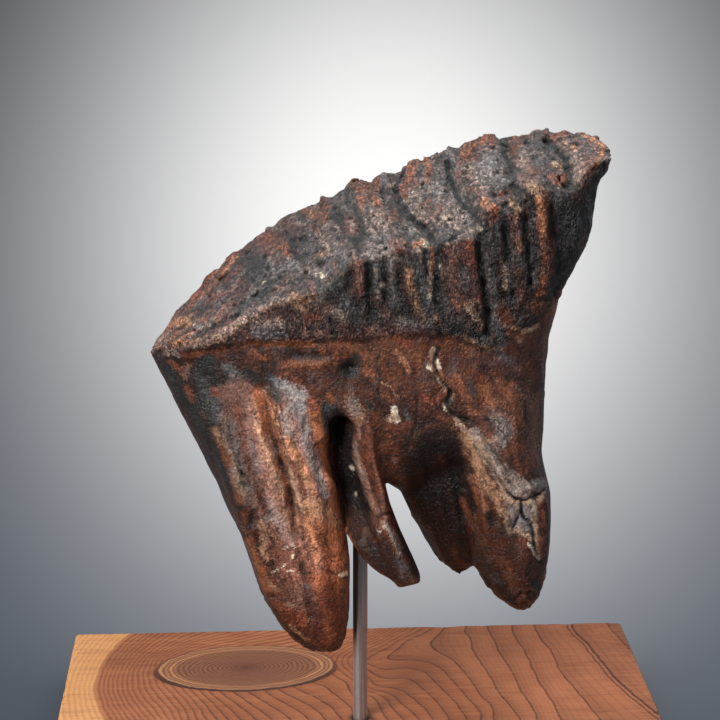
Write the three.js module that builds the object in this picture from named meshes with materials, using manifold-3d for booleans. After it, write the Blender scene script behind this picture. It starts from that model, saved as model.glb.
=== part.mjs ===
// Fossil mammoth molar on a steel rod in a wooden board. Millimetres, +Z up.
// Origin: centre of the board's underside. +X runs along the board and the tooth's chewing
// surface (front end of the tooth at -X, rear end at +X), +Y to the back.
import * as THREE from 'three';
import { mergeVertices } from 'three/addons/utils/BufferGeometryUtils.js';
import Module from 'manifold-3d';

// ---------------------------------------------------------------- driving dimensions
const BOARD_LENGTH = 338.4;      // X
const BOARD_DEPTH = 238.8;       // Y
const BOARD_THICKNESS = 40;      // Z
const BOARD_EDGE_ROUND = 2.5;    // rounding of all twelve edges
const ROD_DIAMETER = 8;
const ROD_SINK = 25;             // how far the rod goes down into the board
const ROD_TOP = 204;             // height of the rod's upper end, inside the tooth
const ROD_CHAMFER = 0.6;
const FIT_GAP = 0.3;             // clearance of the rod in both holes, all round and at the ends
const GRID = { x: 5.0, y: 7.6, z: 7.8 };   // sampling step of the tooth's surface
const CHEW_RELIEF = 0.7;         // scale of the plate steps on the chewing surface

const wasm = await Module();
wasm.setup();

// ---------------------------------------------------------------- small helpers
const clamp = (v, a, b) => Math.min(b, Math.max(a, v));
const smoothstep = (a, b, x) => { const t = clamp((x - a) / (b - a), 0, 1); return t * t * (3 - 2 * t); };
const smoothMin = (a, b, k) => { const h = Math.max(k - Math.abs(a - b), 0) / k; return Math.min(a, b) - h * h * k * 0.25; };
const smoothMax = (a, b, k) => -smoothMin(-a, -b, k);

// Rows of [key, value, value, ...] become an evenly spaced, softened table.
function table(rows, step, softenings) {
  const first = rows[0][0], last = rows[rows.length - 1][0];
  const n = Math.ceil((last - first) / step) + 1;
  const width = rows[0].length - 1;
  let values = [];
  for (let i = 0; i < n; i++) {
    const key = first + (last - first) * i / (n - 1);
    let r = 0;
    while (r < rows.length - 2 && key > rows[r + 1][0]) r++;
    const t = clamp((key - rows[r][0]) / (rows[r + 1][0] - rows[r][0]), 0, 1);
    values.push(Array.from({ length: width }, (_, c) => rows[r][c + 1] * (1 - t) + rows[r + 1][c + 1] * t));
  }
  for (let s = 0; s < softenings; s++) {
    values = values.map((row, i) => (i === 0 || i === n - 1) ? row
      : row.map((v, c) => (values[i - 1][c] + 2 * v + values[i + 1][c]) / 4));
  }
  return { first, last, n, values };
}
function look(tab, key) {
  const f = clamp((key - tab.first) / (tab.last - tab.first), 0, 1) * (tab.n - 1);
  const i = Math.min(tab.n - 2, Math.floor(f)), t = f - i;
  return tab.values[i].map((v, c) => v * (1 - t) + tab.values[i + 1][c] * t);
}

// ---------------------------------------------------------------- the tooth's sections
// Plan sections by height: [z, left x, right x, near y, far y].
const CROWN_AND_TRUNK = table([
  [150, -62, 90, -16, 20], [170, -68, 95, -21, 25], [185, -76, 98.2, -27, 30], [200, -83, 97.8, -33, 34],
  [217, -91.5, 97.6, -38.5, 37], [234, -99.5, 97.7, -41, 39], [250, -106.5, 98, -42, 41],
  [258, -110.3, 98.3, -42.5, 42], [264, -112.6, 99, -43, 43], [280, -115, 104, -45, 45],
  [290, -115, 107.5, -45.5, 46], [299, -115, 111.8, -46, 46], [312, -115, 116.6, -46, 46],
  [323, -115, 118.8, -45.5, 46], [340, -115, 120.6, -45, 45], [346, -115, 121.8, -45, 45],
  [352, -115, 126, -44, 44], [360, -115, 129, -43, 43], [376, -115, 129, -42, 42]], 2, 1);
// Front root, the largest.
const ROOT_FRONT = table([
  [82.5, -21, -17, -5, 5], [84.5, -26.5, -12.5, -9, 8], [88, -34, -9, -14, 12], [94, -41, -7.5, -18, 15],
  [104, -49.3, -6.4, -23, 19], [117, -56.4, -5.8, -27, 22], [129, -60.4, -5.8, -29.5, 24],
  [142, -63.9, -6.3, -32, 26], [154, -67.8, -7.5, -34, 28], [161, -71.6, -8.6, -35, 29],
  [167, -74, -9.5, -36, 30], [176, -77.4, -11.3, -37, 31], [184, -79.8, -13, -38, 32],
  [195, -83, -15.6, -38.7, 33], [204, -85.8, -17.5, -39, 34], [216, -90, -21, -38.5, 35],
  [230, -93, -25, -37, 35], [246, -91, -34, -30, 30], [262, -80, -44, -16, 16]], 1.5, 2);
// Slender middle root on the near side: its ridge, and the flank behind the ridge.
const ROOT_MIDDLE_RIDGE = table([
  [131.8, 18.8, 29.4, -35, -21], [134, 17.2, 30.6, -36.5, -19.5], [138, 15, 30.5, -37.5, -18.5],
  [146, 11.5, 27.4, -38.5, -18], [155, 7.5, 23.4, -39.5, -18], [166, 3, 18.6, -40.5, -17],
  [180, -2, 13.4, -41.5, -16], [191, -5, 11.5, -42, -15], [205, -6.5, 8, -42.2, -14],
  [217, -6, 6.5, -42, -14], [232, -6, 7, -39.5, -14], [246, -4, 5, -31, -14]], 1.5, 2);
const ROOT_MIDDLE_FLANK = table([
  [134, 14.5, 24, -28, -18], [137, 9.5, 25, -31, -14], [142, 3.4, 24, -33, -11], [147, -0.9, 20, -34, -10],
  [155, -6, 15, -34, -7], [161, -10.6, 12, -33, -5], [167, -15.8, 11, -33, -4], [180, -19, 9, -33, -2],
  [191, -21, 8, -32, 0], [205, -21, 6, -30, 2], [222, -18, 4, -28, 2]], 1.5, 2);
// Rear root group: inner lobe, near lobe and far lobe.
const ROOT_REAR_INNER = table([
  [126, 53, 58, 2, 14], [128.5, 47.5, 62, -2, 18], [134, 42.3, 66, -7, 22], [145, 35.7, 71, -12, 26],
  [154, 31.2, 76, -16, 28], [168, 22.2, 80, -21, 30], [178, 16.2, 84, -24, 31], [188, 11, 88, -26, 32],
  [205, 4, 90, -26, 32], [225, 0, 90, -22, 30]], 1.5, 2);
const ROOT_REAR_NEAR = table([
  [112, 84, 89, -18, -8], [114, 80.5, 91.5, -23, -2], [118, 75, 94.5, -29, 2], [123, 70.5, 97.2, -32, 4],
  [131, 64, 99, -34, 6], [139, 59, 100, -36, 8], [147, 56.4, 100.8, -37.5, 9], [162, 53.2, 101, -39.5, 10],
  [180, 51.4, 99.7, -41, 12], [195, 50.2, 95.8, -41.8, 13], [212, 50, 91.5, -42, 14],
  [230, 52, 89, -39.5, 14], [250, 58, 84, -30, 14], [262, 62, 80, -18, 10]], 1.5, 2);
const ROOT_REAR_FAR = table([
  [130, 80, 86, 18, 26], [133, 75, 92, 12, 31], [142, 69, 96, 8, 34], [157, 64, 97, 5, 36],
  [180, 60, 97, 2, 37], [205, 58, 92, 0, 37], [226, 58, 88, 0, 34]], 1.5, 2);
// Short stump on the far side, opposite the middle root.
const ROOT_FAR_STUMP = table([
  [155, -7, 4, 12, 26], [165, -11, 8, 8, 30], [174, -14, 13, 7, 32], [183, -17, 14, 7, 34],
  [200, -19, 18, 7, 35], [225, -18, 18, 6, 33]], 1.5, 2);
// Slot between the front and the middle root, and the ridge line of the middle root where its flank
// falls away. Both are given in the flat coordinates of frontView: [z, middle x, half-width], [z, x].
const SLOT = table([
  [164, -4, 4.5], [170, -3.3, 6.5], [179, -4, 7.1], [191, -5.6, 7.4], [200, -7.9, 6.6], [212, -10.7, 6.3],
  [227, -11.9, 6.3], [234, -13.1, 4.5]], 2, 1);
const RIDGE_LINE = table([
  [146, -30], [152, -18], [158, -9], [164, -3], [172, 2], [179, 3.1], [191, 1.8], [200, -1.3], [212, -4.4],
  [227, -5.6], [240, -8]], 2, 1);
const BREAK = { z: 136.8, slope: 0.25, x: 20 };   // the middle root's broken end
// A point carried to the plane y = -42 along the line to a fixed point in front of the tooth.
function frontView(x, y, z) {
  const t = (-42 + 943.9406) / (y + 943.9406);
  return [-50.2308 + t * (x + 50.2308), 531.64054 + t * (z - 531.64054)];
}
// Chewing surface: [x, height at y = 0, slope towards the far side].
const CHEWING = table([
  [-120, 244.9, -0.205], [-112, 254, -0.156], [-106, 260.8, -0.11], [-100, 266.7, -0.049],
  [-92, 273.1, 0.024], [-84, 278.8, 0.091], [-76, 284.7, 0.151], [-68, 290.2, 0.182], [-60, 295.4, 0.187],
  [-50, 301.5, 0.197], [-40, 306.6, 0.231], [-30, 310.6, 0.263], [-20, 314.6, 0.276], [-10, 321.7, 0.229],
  [0, 327, 0.238], [10, 329.6, 0.223], [20, 331.4, 0.231], [30, 333.3, 0.291], [40, 337.3, 0.323],
  [50, 342.2, 0.345], [58, 347.5, 0.264], [66, 352.3, 0.218], [74, 353.3, 0.217], [82, 355, 0.164],
  [90, 356.8, 0.192], [97, 356.3, 0.278], [104, 356.1, 0.279], [110, 358.7, 0.197], [116, 362.2, 0.13],
  [122, 363.4, 0.129], [128, 361.7, 0.138], [136, 356.6, 0.117]], 1, 2);
// Valleys between the plates on the chewing surface:
// [x at the near edge, x at the far edge, depth, rise behind it].
const VALLEYS = [
  [-101, -104, 0, 0], [-86, -90, 0.6, 0.8], [-69, -73, 0.8, 1.0], [-51, -55, 1.2, 1.4], [-35, -40, 1.4, 1.6],
  [-16, -20, 1.6, 2.0], [-3, -6.5, 2.0, 4.0], [12, 6.5, 1.4, 1.5], [31, 25.5, 2.6, 4.0], [54, 43.5, 2.8, 3.0],
  [64, 56, 1.6, 1.6], [75, 80, 2.2, 2.2], [89, 91, 1.4, 1.6], [101, 107, 2.0, 1.4], [117, 121, 0, 0]];
// Cervical line, where the crown's side meets the root trunk: [x, z].
const CERVIX = table([
  [-112, 262], [-83, 267], [-55, 272.6], [-32, 271.5], [-12, 273], [18, 274], [38, 274], [51, 271],
  [63, 266], [71, 268], [78, 273], [91, 281], [110, 288], [130, 292]], 2, 1);
// Grooves (positive) and ridges (negative) on the near and far faces: [points (x, z), depth, half-width].
const NEAR_MARKS = [
  [[[-19, 296], [-19.5, 281]], 1.4, 2.6], [[[-8, 301], [-8.5, 284]], 1.6, 2.8], [[[3, 306], [2.5, 276]], 2.6, 2.8],
  [[[17.5, 314], [18.5, 280]], 1.8, 2.8], [[[25, 318], [26.5, 300], [29, 281]], 2.4, 2.8],
  [[[35, 321], [38.5, 276]], 2.2, 2.6], [[[52.5, 334], [56, 308], [60, 272]], 3.4, 3.2],
  [[[70, 336], [71, 292]], 3.0, 3.2], [[[84, 342], [84.2, 276]], 3.0, 3.2], [[[96, 340], [98, 292]], 2.8, 3.4],
  [[[-54, 252], [-46, 222], [-32, 178], [-25.5, 118]], 2.8, 4.6], [[[-66, 240], [-58, 205], [-50, 164]], 2.2, 4.2],
  [[[57, 196], [60, 170], [64, 140]], 2.4, 4.6], [[[46, 192], [50, 165], [53, 140]], 1.8, 4],
  [[[-80, 272], [-62, 279], [-42, 290.5], [-33, 292.5]], -2.4, 4], [[[90, 345], [90.5, 310], [88, 280]], -2, 3],
  [[[-46, 279], [-38, 281]], -3.2, 8.5]];
const FAR_MARKS = [
  ...Array.from({ length: 15 }, (_, i) => [[[-70 + i * 11.3, i < 6 ? 326 : 338], [-69 + i * 11.3, 284]], 2 + 0.4 * ((i * 3) % 3), 2.8]),
  [[[-60, 240], [-52, 205], [-38, 150]], 2.6, 4.6], [[[-40, 232], [-34, 200], [-28, 160]], 1.8, 4],
  [[[74, 215], [78, 180], [80, 150]], 3, 4.6], [[[40, 215], [46, 180], [50, 150]], 2.4, 4.6]];

// ---------------------------------------------------------------- the tooth as a distance-like field
function loft(x, y, z, tab, powX, powY, capped = true) {
  const [left, right, near, far] = look(tab, z);
  const L = (right - left) / 2, W = (far - near) / 2;
  const t = Math.abs((x - (left + right) / 2) / L), s = Math.abs((y - (near + far) / 2) / W);
  let f = (Math.pow(Math.pow(t, powX) + Math.pow(s, powY), 1 / Math.min(powX, powY)) - 1) * Math.min(L, W);
  if (capped) f = Math.max(f, tab.first - z, z - tab.last);
  return f;
}
function distanceToLine(x, z, points) {
  let best = Infinity;
  for (let i = 0; i + 1 < points.length; i++) {
    const [x0, z0] = points[i], [x1, z1] = points[i + 1];
    const dx = x1 - x0, dz = z1 - z0;
    const t = clamp(((x - x0) * dx + (z - z0) * dz) / (dx * dx + dz * dz), 0, 1);
    best = Math.min(best, Math.hypot(x - x0 - t * dx, z - z0 - t * dz));
  }
  return best;
}
function tube(x, y, z, points, radii) {
  let best = Infinity;
  for (let i = 0; i + 1 < points.length; i++) {
    const a = points[i], b = points[i + 1];
    const d = [b[0] - a[0], b[1] - a[1], b[2] - a[2]];
    const w = [x - a[0], y - a[1], z - a[2]];
    const t = clamp((w[0] * d[0] + w[1] * d[1] + w[2] * d[2]) / (d[0] * d[0] + d[1] * d[1] + d[2] * d[2]), 0, 1);
    best = Math.min(best, Math.hypot(w[0] - t * d[0], w[1] - t * d[1], w[2] - t * d[2])
      - (radii[i] + (radii[i + 1] - radii[i]) * t));
  }
  return best;
}
function marks(x, y, z) {
  const near = 1 - smoothstep(-24, -8, y), far = smoothstep(8, 24, y);
  let f = -0.9 * smoothstep(-2, 2, z - look(CERVIX, x)[0]) * (near + far);
  if (near > 0) for (const [points, depth, width] of NEAR_MARKS) {
    const d = distanceToLine(x, z, points) / width; f += near * depth * Math.exp(-d * d);
  }
  if (far > 0) for (const [points, depth, width] of FAR_MARKS) {
    const d = distanceToLine(x, z, points) / width; f += far * depth * Math.exp(-d * d);
  }
  return f;
}
function chewingHeight(x, y) {
  const [z0, slope] = look(CHEWING, x);
  let relief = 0;
  const at = VALLEYS.map(([a, b]) => a + (b - a) * (y + 38) / 76);
  VALLEYS.forEach(([, , dip, rise], i) => {
    const d = (x - at[i]) / 3.2;
    relief -= dip * Math.exp(-d * d);
    if (i + 1 < VALLEYS.length) {
      const u = (x - at[i]) / (at[i + 1] - at[i]);
      relief += rise * (0.62 - 0.9 * clamp(u, 0, 1)) * smoothstep(-0.06, 0.2, u) * (1 - smoothstep(0.9, 1.06, u));
    }
  });
  return z0 + slope * y - 1.5 * (y / 45) ** 2 + CHEW_RELIEF * relief;
}
function toothField(x, y, z) {
  const m = marks(x, y, z);
  // bay between the front root and the middle root, and the hollow in the rear group
  const [fx, fz] = frontView(x, y, z);
  const [slotMiddle, slotHalf] = look(SLOT, fz);
  const slot = smoothMax(smoothMax(Math.abs(fx - slotMiddle) - slotHalf, fz - 232, 6), y + 10, 4);
  const bay = smoothMin(slot,
    tube(x, y, z, [[-16, -54, 214], [-15, -36, 211], [-13, -20, 198], [-12, -6, 182]], [6.5, 8.5, 9.5, 10]), 3);
  const hollow = tube(x, y, z, [[36, -44, 189], [42, -42, 165], [50, -38, 140]], [13.5, 12, 9]);
  let f = loft(x, y, z, CROWN_AND_TRUNK, 3.4, 2.5, false) + m;
  f = smoothMax(f, (z - chewingHeight(x, y)) * 0.8, 3);
  f = smoothMax(f, 184 + 14 * smoothstep(18, 44, x) - z, 12);
  f = smoothMax(f, -bay, 5);
  f = smoothMax(f, -hollow, 6);
  // the front root's outer face is bevelled towards the near side
  let a = loft(x, y, z, ROOT_FRONT, 3, 2.4);
  a = smoothMax(a, (look(ROOT_FRONT, z)[0] + 10.5 * clamp((12 - y) / 50, 0, 1.3) - x) * 0.97, 3) + m;
  f = smoothMin(f, a, 7);
  let middle = smoothMin(loft(x, y, z, ROOT_MIDDLE_RIDGE, 2.2, 2.2), loft(x, y, z, ROOT_MIDDLE_FLANK, 2.2, 2.2), 5);
  middle = smoothMax(middle, -((y + 31) - 1.3 * (look(RIDGE_LINE, fz)[0] - fx)) * 0.61, 2.5);
  middle = smoothMax(middle, (BREAK.z + BREAK.slope * (fx - BREAK.x) - fz) * 0.9, 0.8);
  f = smoothMin(f, middle, 4);
  f = smoothMin(f, smoothMax(loft(x, y, z, ROOT_REAR_INNER, 2.4, 2.2), -hollow, 6) + m, 8);
  f = smoothMin(f, loft(x, y, z, ROOT_REAR_NEAR, 2.6, 2.2) + m, 6);
  f = smoothMin(f, loft(x, y, z, ROOT_REAR_FAR, 2.3, 2.2) + m, 6);
  f = smoothMin(f, loft(x, y, z, ROOT_FAR_STUMP, 2.2, 2.2), 6);
  return f;
}

// ---------------------------------------------------------------- field to closed mesh
// One vertex per grid cell that the surface crosses, one quad per crossed grid edge.
function meshField(field, low, high, step) {
  const n = [0, 1, 2].map(i => Math.ceil((high[i] - low[i]) / step[i]) + 1);
  const at = (i, j, k) => (i * n[1] + j) * n[2] + k;
  const value = new Float64Array(n[0] * n[1] * n[2]);
  for (let i = 0; i < n[0]; i++) for (let j = 0; j < n[1]; j++) for (let k = 0; k < n[2]; k++)
    value[at(i, j, k)] = field(low[0] + i * step[0], low[1] + j * step[1], low[2] + k * step[2]);
  const cell = new Int32Array(n[0] * n[1] * n[2]).fill(-1);
  const vertices = [];
  const corners = [[0, 0, 0], [1, 0, 0], [0, 1, 0], [1, 1, 0], [0, 0, 1], [1, 0, 1], [0, 1, 1], [1, 1, 1]];
  const edges = [[0, 1], [2, 3], [4, 5], [6, 7], [0, 2], [1, 3], [4, 6], [5, 7], [0, 4], [1, 5], [2, 6], [3, 7]];
  const sides = [[0, 1, 3, 2], [4, 5, 7, 6], [0, 1, 5, 4], [2, 3, 7, 6], [0, 2, 6, 4], [1, 3, 7, 5]];
  // Crevices thinner than a cell are closed up, so that every cell holds a single sheet of surface.
  const oneSheet = v => {
    if (sides.some(([a, b, c, d]) => (v[a] < 0) === (v[c] < 0) && (v[b] < 0) === (v[d] < 0) && (v[a] < 0) !== (v[b] < 0))) return false;
    return [true, false].every(inside => {
      const group = [...Array(8).keys()].filter(c => (v[c] < 0) === inside);
      if (group.length < 2) return true;
      const reached = new Set([group[0]]);
      for (let pass = 0; pass < 8; pass++) for (const [a, b] of edges)
        if (group.includes(a) && group.includes(b) && (reached.has(a) || reached.has(b))) { reached.add(a); reached.add(b); }
      return reached.size === group.length;
    });
  };
  for (let pass = 0, changed = true; changed && pass < 40; pass++) {
    changed = false;
    for (let i = 0; i < n[0] - 1; i++) for (let j = 0; j < n[1] - 1; j++) for (let k = 0; k < n[2] - 1; k++) {
      const ids = corners.map(c => at(i + c[0], j + c[1], k + c[2]));
      const v = ids.map(id => value[id]);
      const inside = v.filter(q => q < 0).length;
      if (inside < 2 || inside > 6 || oneSheet(v)) continue;
      const outside = ids.filter(id => value[id] >= 0).sort((a, b) => value[a] - value[b]);
      value[outside[0]] = -0.5;
      changed = true;
    }
  }
  for (let i = 0; i < n[0] - 1; i++) for (let j = 0; j < n[1] - 1; j++) for (let k = 0; k < n[2] - 1; k++) {
    const v = corners.map(c => value[at(i + c[0], j + c[1], k + c[2])]);
    let sum = [0, 0, 0], count = 0;
    for (const [a, b] of edges) {
      if ((v[a] < 0) === (v[b] < 0)) continue;
      const t = v[a] / (v[a] - v[b]);
      for (let c = 0; c < 3; c++) sum[c] += corners[a][c] + (corners[b][c] - corners[a][c]) * t;
      count++;
    }
    if (!count) continue;
    const p = [i, j, k].map((g, c) => low[c] + (g + sum[c] / count) * step[c]);
    const centre = [i, j, k].map((g, c) => low[c] + (g + 0.5) * step[c]);
    // slide the vertex onto the surface without leaving its cell
    for (let pass = 0; pass < 3; pass++) {
      const e = 0.5, f0 = field(...p);
      const g = [
        (field(p[0] + e, p[1], p[2]) - field(p[0] - e, p[1], p[2])) / (2 * e),
        (field(p[0], p[1] + e, p[2]) - field(p[0], p[1] - e, p[2])) / (2 * e),
        (field(p[0], p[1], p[2] + e) - field(p[0], p[1], p[2] - e)) / (2 * e)];
      const gg = g[0] ** 2 + g[1] ** 2 + g[2] ** 2;
      if (gg < 0.04) break;
      for (let c = 0; c < 3; c++)
        p[c] = clamp(p[c] - f0 * g[c] / gg, centre[c] - 0.46 * step[c], centre[c] + 0.46 * step[c]);
    }
    cell[at(i, j, k)] = vertices.length / 3;
    vertices.push(...p);
  }
  const faces = [];
  const quad = (a, b, c, d, flip) => {
    const P = i => [vertices[3 * i], vertices[3 * i + 1], vertices[3 * i + 2]];
    const len = (u, w) => Math.hypot(...P(u).map((q, i) => q - P(w)[i]));
    const q = flip ? [a, d, c, b] : [a, b, c, d];
    if (len(q[0], q[2]) <= len(q[1], q[3])) faces.push(q[0], q[1], q[2], q[0], q[2], q[3]);
    else faces.push(q[1], q[2], q[3], q[1], q[3], q[0]);
  };
  for (let i = 1; i < n[0] - 1; i++) for (let j = 1; j < n[1] - 1; j++) for (let k = 1; k < n[2] - 1; k++) {
    const inside = value[at(i, j, k)] < 0;
    if (inside !== (value[at(i + 1, j, k)] < 0))
      quad(cell[at(i, j - 1, k - 1)], cell[at(i, j, k - 1)], cell[at(i, j, k)], cell[at(i, j - 1, k)], !inside);
    if (inside !== (value[at(i, j + 1, k)] < 0))
      quad(cell[at(i - 1, j, k - 1)], cell[at(i - 1, j, k)], cell[at(i, j, k)], cell[at(i, j, k - 1)], !inside);
    if (inside !== (value[at(i, j, k + 1)] < 0))
      quad(cell[at(i - 1, j - 1, k)], cell[at(i, j - 1, k)], cell[at(i, j, k)], cell[at(i - 1, j, k)], !inside);
  }
  return { vertices: new Float32Array(vertices), faces: new Uint32Array(faces) };
}

// ---------------------------------------------------------------- solids and booleans
function solidOf(geometry) {
  const g = geometry.clone();
  g.deleteAttribute('normal');
  g.deleteAttribute('uv');
  const m = mergeVertices(g, 1e-4);
  return new wasm.Manifold(new wasm.Mesh({
    numProp: 3, vertProperties: new Float32Array(m.attributes.position.array), triVerts: new Uint32Array(m.index.array) }));
}
function geometryOf(solid) {
  const mesh = solid.getMesh();
  const g = new THREE.BufferGeometry();
  const p = new Float32Array(mesh.numVert * 3);
  for (let i = 0; i < mesh.numVert; i++)
    for (let c = 0; c < 3; c++) p[3 * i + c] = mesh.vertProperties[i * mesh.numProp + c];
  g.setAttribute('position', new THREE.BufferAttribute(p, 3));
  g.setIndex(new THREE.BufferAttribute(new Uint32Array(mesh.triVerts), 1));
  g.computeVertexNormals();
  return g;
}
// Upright turned shape from z0 to z1, with chamfered ends where asked.
function turned(radius, z0, z1, chamfer, segments) {
  const profile = chamfer > 0
    ? [[0, z0], [radius - chamfer, z0], [radius, z0 + chamfer], [radius, z1 - chamfer], [radius - chamfer, z1], [0, z1]]
    : [[0, z0], [radius, z0], [radius, z1], [0, z1]];
  const g = new THREE.LatheGeometry(profile.map(([r, h]) => new THREE.Vector2(r, h)), segments);
  g.rotateX(Math.PI / 2);
  return g;
}

// ---------------------------------------------------------------- pieces
const toothMesh = meshField(toothField, [-127.1, -62.3, 68.2], [146, 66, 390], [GRID.x, GRID.y, GRID.z]);
const toothGeometry = new THREE.BufferGeometry();
toothGeometry.setAttribute('position', new THREE.BufferAttribute(toothMesh.vertices, 3));
toothGeometry.setIndex(new THREE.BufferAttribute(toothMesh.faces, 1));
const rodHoleInTooth = turned(ROD_DIAMETER / 2 + FIT_GAP, 150, ROD_TOP + FIT_GAP, 0, 24);
const toothSolid = solidOf(toothGeometry).subtract(solidOf(rodHoleInTooth));

const outline = new THREE.Shape();
const hx = BOARD_LENGTH / 2 - BOARD_EDGE_ROUND, hy = BOARD_DEPTH / 2 - BOARD_EDGE_ROUND, rc = 1.5;
outline.moveTo(-hx + rc, -hy);
outline.lineTo(hx - rc, -hy);
outline.absarc(hx - rc, -hy + rc, rc, -Math.PI / 2, 0);
outline.lineTo(hx, hy - rc);
outline.absarc(hx - rc, hy - rc, rc, 0, Math.PI / 2);
outline.lineTo(-hx + rc, hy);
outline.absarc(-hx + rc, hy - rc, rc, Math.PI / 2, Math.PI);
outline.lineTo(-hx, -hy + rc);
outline.absarc(-hx + rc, -hy + rc, rc, Math.PI, 1.5 * Math.PI);
const boardGeometry = new THREE.ExtrudeGeometry(outline, {
  depth: BOARD_THICKNESS - 2 * BOARD_EDGE_ROUND, bevelEnabled: true, bevelThickness: BOARD_EDGE_ROUND,
  bevelSize: BOARD_EDGE_ROUND, bevelSegments: 3, curveSegments: 4, steps: 1 });
boardGeometry.translate(0, 0, BOARD_EDGE_ROUND);
const rodHoleInBoard = turned(ROD_DIAMETER / 2 + FIT_GAP, BOARD_THICKNESS - ROD_SINK - FIT_GAP, BOARD_THICKNESS + 5, 0, 24);
const boardSolid = solidOf(boardGeometry).subtract(solidOf(rodHoleInBoard));

function piece(name, geometry, color, roughness, metalness) {
  const mesh = new THREE.Mesh(geometry, new THREE.MeshStandardMaterial({ color, roughness, metalness }));
  mesh.name = name;
  return mesh;
}
const group = new THREE.Group();
group.add(piece('tooth', geometryOf(toothSolid), 0x5e3a29, 0.45, 0));
const rod = new THREE.Group();
rod.position.set(0, 0, BOARD_THICKNESS - ROD_SINK);
rod.add(piece('post', geometryOf(solidOf(turned(ROD_DIAMETER / 2, 0, ROD_TOP - BOARD_THICKNESS + ROD_SINK, ROD_CHAMFER, 32))), 0x8a8a8a, 0.3, 1));
group.add(rod);
group.add(piece('base', geometryOf(boardSolid), 0xc08a63, 0.6, 0));

export default group;
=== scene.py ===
"""Looks of a fossil mammoth tooth that stands on a steel rod in a wooden board.
Shapes are worked out in millimetres and turned into metres when a mesh is made."""
import math
import time
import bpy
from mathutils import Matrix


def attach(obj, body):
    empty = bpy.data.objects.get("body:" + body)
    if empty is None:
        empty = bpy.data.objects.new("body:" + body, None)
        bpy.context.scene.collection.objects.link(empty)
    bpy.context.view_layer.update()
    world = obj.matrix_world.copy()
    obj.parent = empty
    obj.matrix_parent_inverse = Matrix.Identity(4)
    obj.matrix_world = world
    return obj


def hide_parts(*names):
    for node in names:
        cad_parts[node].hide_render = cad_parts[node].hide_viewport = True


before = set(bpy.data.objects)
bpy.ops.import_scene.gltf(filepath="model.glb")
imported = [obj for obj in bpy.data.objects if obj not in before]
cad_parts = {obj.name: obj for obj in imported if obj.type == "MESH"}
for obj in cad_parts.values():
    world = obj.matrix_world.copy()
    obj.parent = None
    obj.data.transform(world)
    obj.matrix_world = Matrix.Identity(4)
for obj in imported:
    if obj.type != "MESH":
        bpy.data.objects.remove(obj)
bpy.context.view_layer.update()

from concurrent.futures import ThreadPoolExecutor
import bpy
import numpy as np
from mathutils import Vector

MM = 0.001
T0 = time.time()


def tick(what):
    print("SCENE %6.1fs %s" % (time.time() - T0, what))


# =====================================================================================
# small maths
# =====================================================================================
def sstep(a, b, x):
    t = np.clip((x - a) / (b - a), 0.0, 1.0)
    return t * t * (3.0 - 2.0 * t)


def smin(a, b, k):
    h = np.maximum(k - np.abs(a - b), 0.0) / k
    return np.minimum(a, b) - h * h * k * 0.25


def smax(a, b, k):
    return -smin(-a, -b, k)


_rs = np.random.RandomState(4101)
_PERM = np.concatenate([_rs.permutation(256)] * 3).astype(np.int32)
_GRAD = np.array([(1, 1, 0), (-1, 1, 0), (1, -1, 0), (-1, -1, 0), (1, 0, 1), (-1, 0, 1), (1, 0, -1), (-1, 0, -1),
                  (0, 1, 1), (0, -1, 1), (0, 1, -1), (0, -1, -1), (1, 1, 0), (-1, 1, 0), (0, -1, 1), (0, -1, -1)], np.float32)


def noise3(x, y, z, seed=0):
    """gradient noise, about -1..1, at coordinates already divided by the feature size"""
    x = np.asarray(x, np.float32) + seed * 17.31
    y = np.asarray(y, np.float32) + seed * 5.77
    z = np.asarray(z, np.float32) + seed * 29.13
    x, y, z = np.broadcast_arrays(x, y, z)
    xi, yi, zi = np.floor(x), np.floor(y), np.floor(z)
    fx, fy, fz = x - xi, y - yi, z - zi
    xi, yi, zi = xi.astype(np.int32) & 255, yi.astype(np.int32) & 255, zi.astype(np.int32) & 255
    u = fx * fx * fx * (fx * (fx * 6 - 15) + 10)
    v = fy * fy * fy * (fy * (fy * 6 - 15) + 10)
    w = fz * fz * fz * (fz * (fz * 6 - 15) + 10)
    out = []
    for dx in (0, 1):
        for dy in (0, 1):
            for dz in (0, 1):
                h = _PERM[_PERM[_PERM[(xi + dx) & 255] + ((yi + dy) & 255)] + ((zi + dz) & 255)] & 15
                g = _GRAD[h]
                out.append(g[..., 0] * (fx - dx) + g[..., 1] * (fy - dy) + g[..., 2] * (fz - dz))
    x00 = out[0] + u * (out[4] - out[0])
    x01 = out[1] + u * (out[5] - out[1])
    x10 = out[2] + u * (out[6] - out[2])
    x11 = out[3] + u * (out[7] - out[3])
    y0 = x00 + v * (x10 - x00)
    y1 = x01 + v * (x11 - x01)
    return y0 + w * (y1 - y0)


def fbm(x, y, z, octaves=3, seed=0, gain=0.5):
    total, amp, f = 0.0, 1.0, 1.0
    for o in range(octaves):
        total = total + amp * noise3(x * f, y * f, z * f, seed + o)
        amp *= gain
        f *= 2.03
    return total


def ridge(n):
    return 1.0 - 2.0 * np.abs(n)


# =====================================================================================
# the tooth: sections and lines, mm
# =====================================================================================
def dense(rows, step, soft):
    r = np.array(rows, float)
    n = int(math.ceil((r[-1, 0] - r[0, 0]) / step)) + 1
    ks = np.linspace(r[0, 0], r[-1, 0], n)
    t = np.stack([np.interp(ks, r[:, 0], r[:, c]) for c in range(1, r.shape[1])], 1)
    for _ in range(soft):
        s = t.copy()
        s[1:-1] = (t[:-2] + 2 * t[1:-1] + t[2:]) / 4
        t = s
    return ks, t


def look(tab, k):
    return [np.interp(k, tab[0], tab[1][:, c]).astype(np.float32) for c in range(tab[1].shape[1])]


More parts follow.
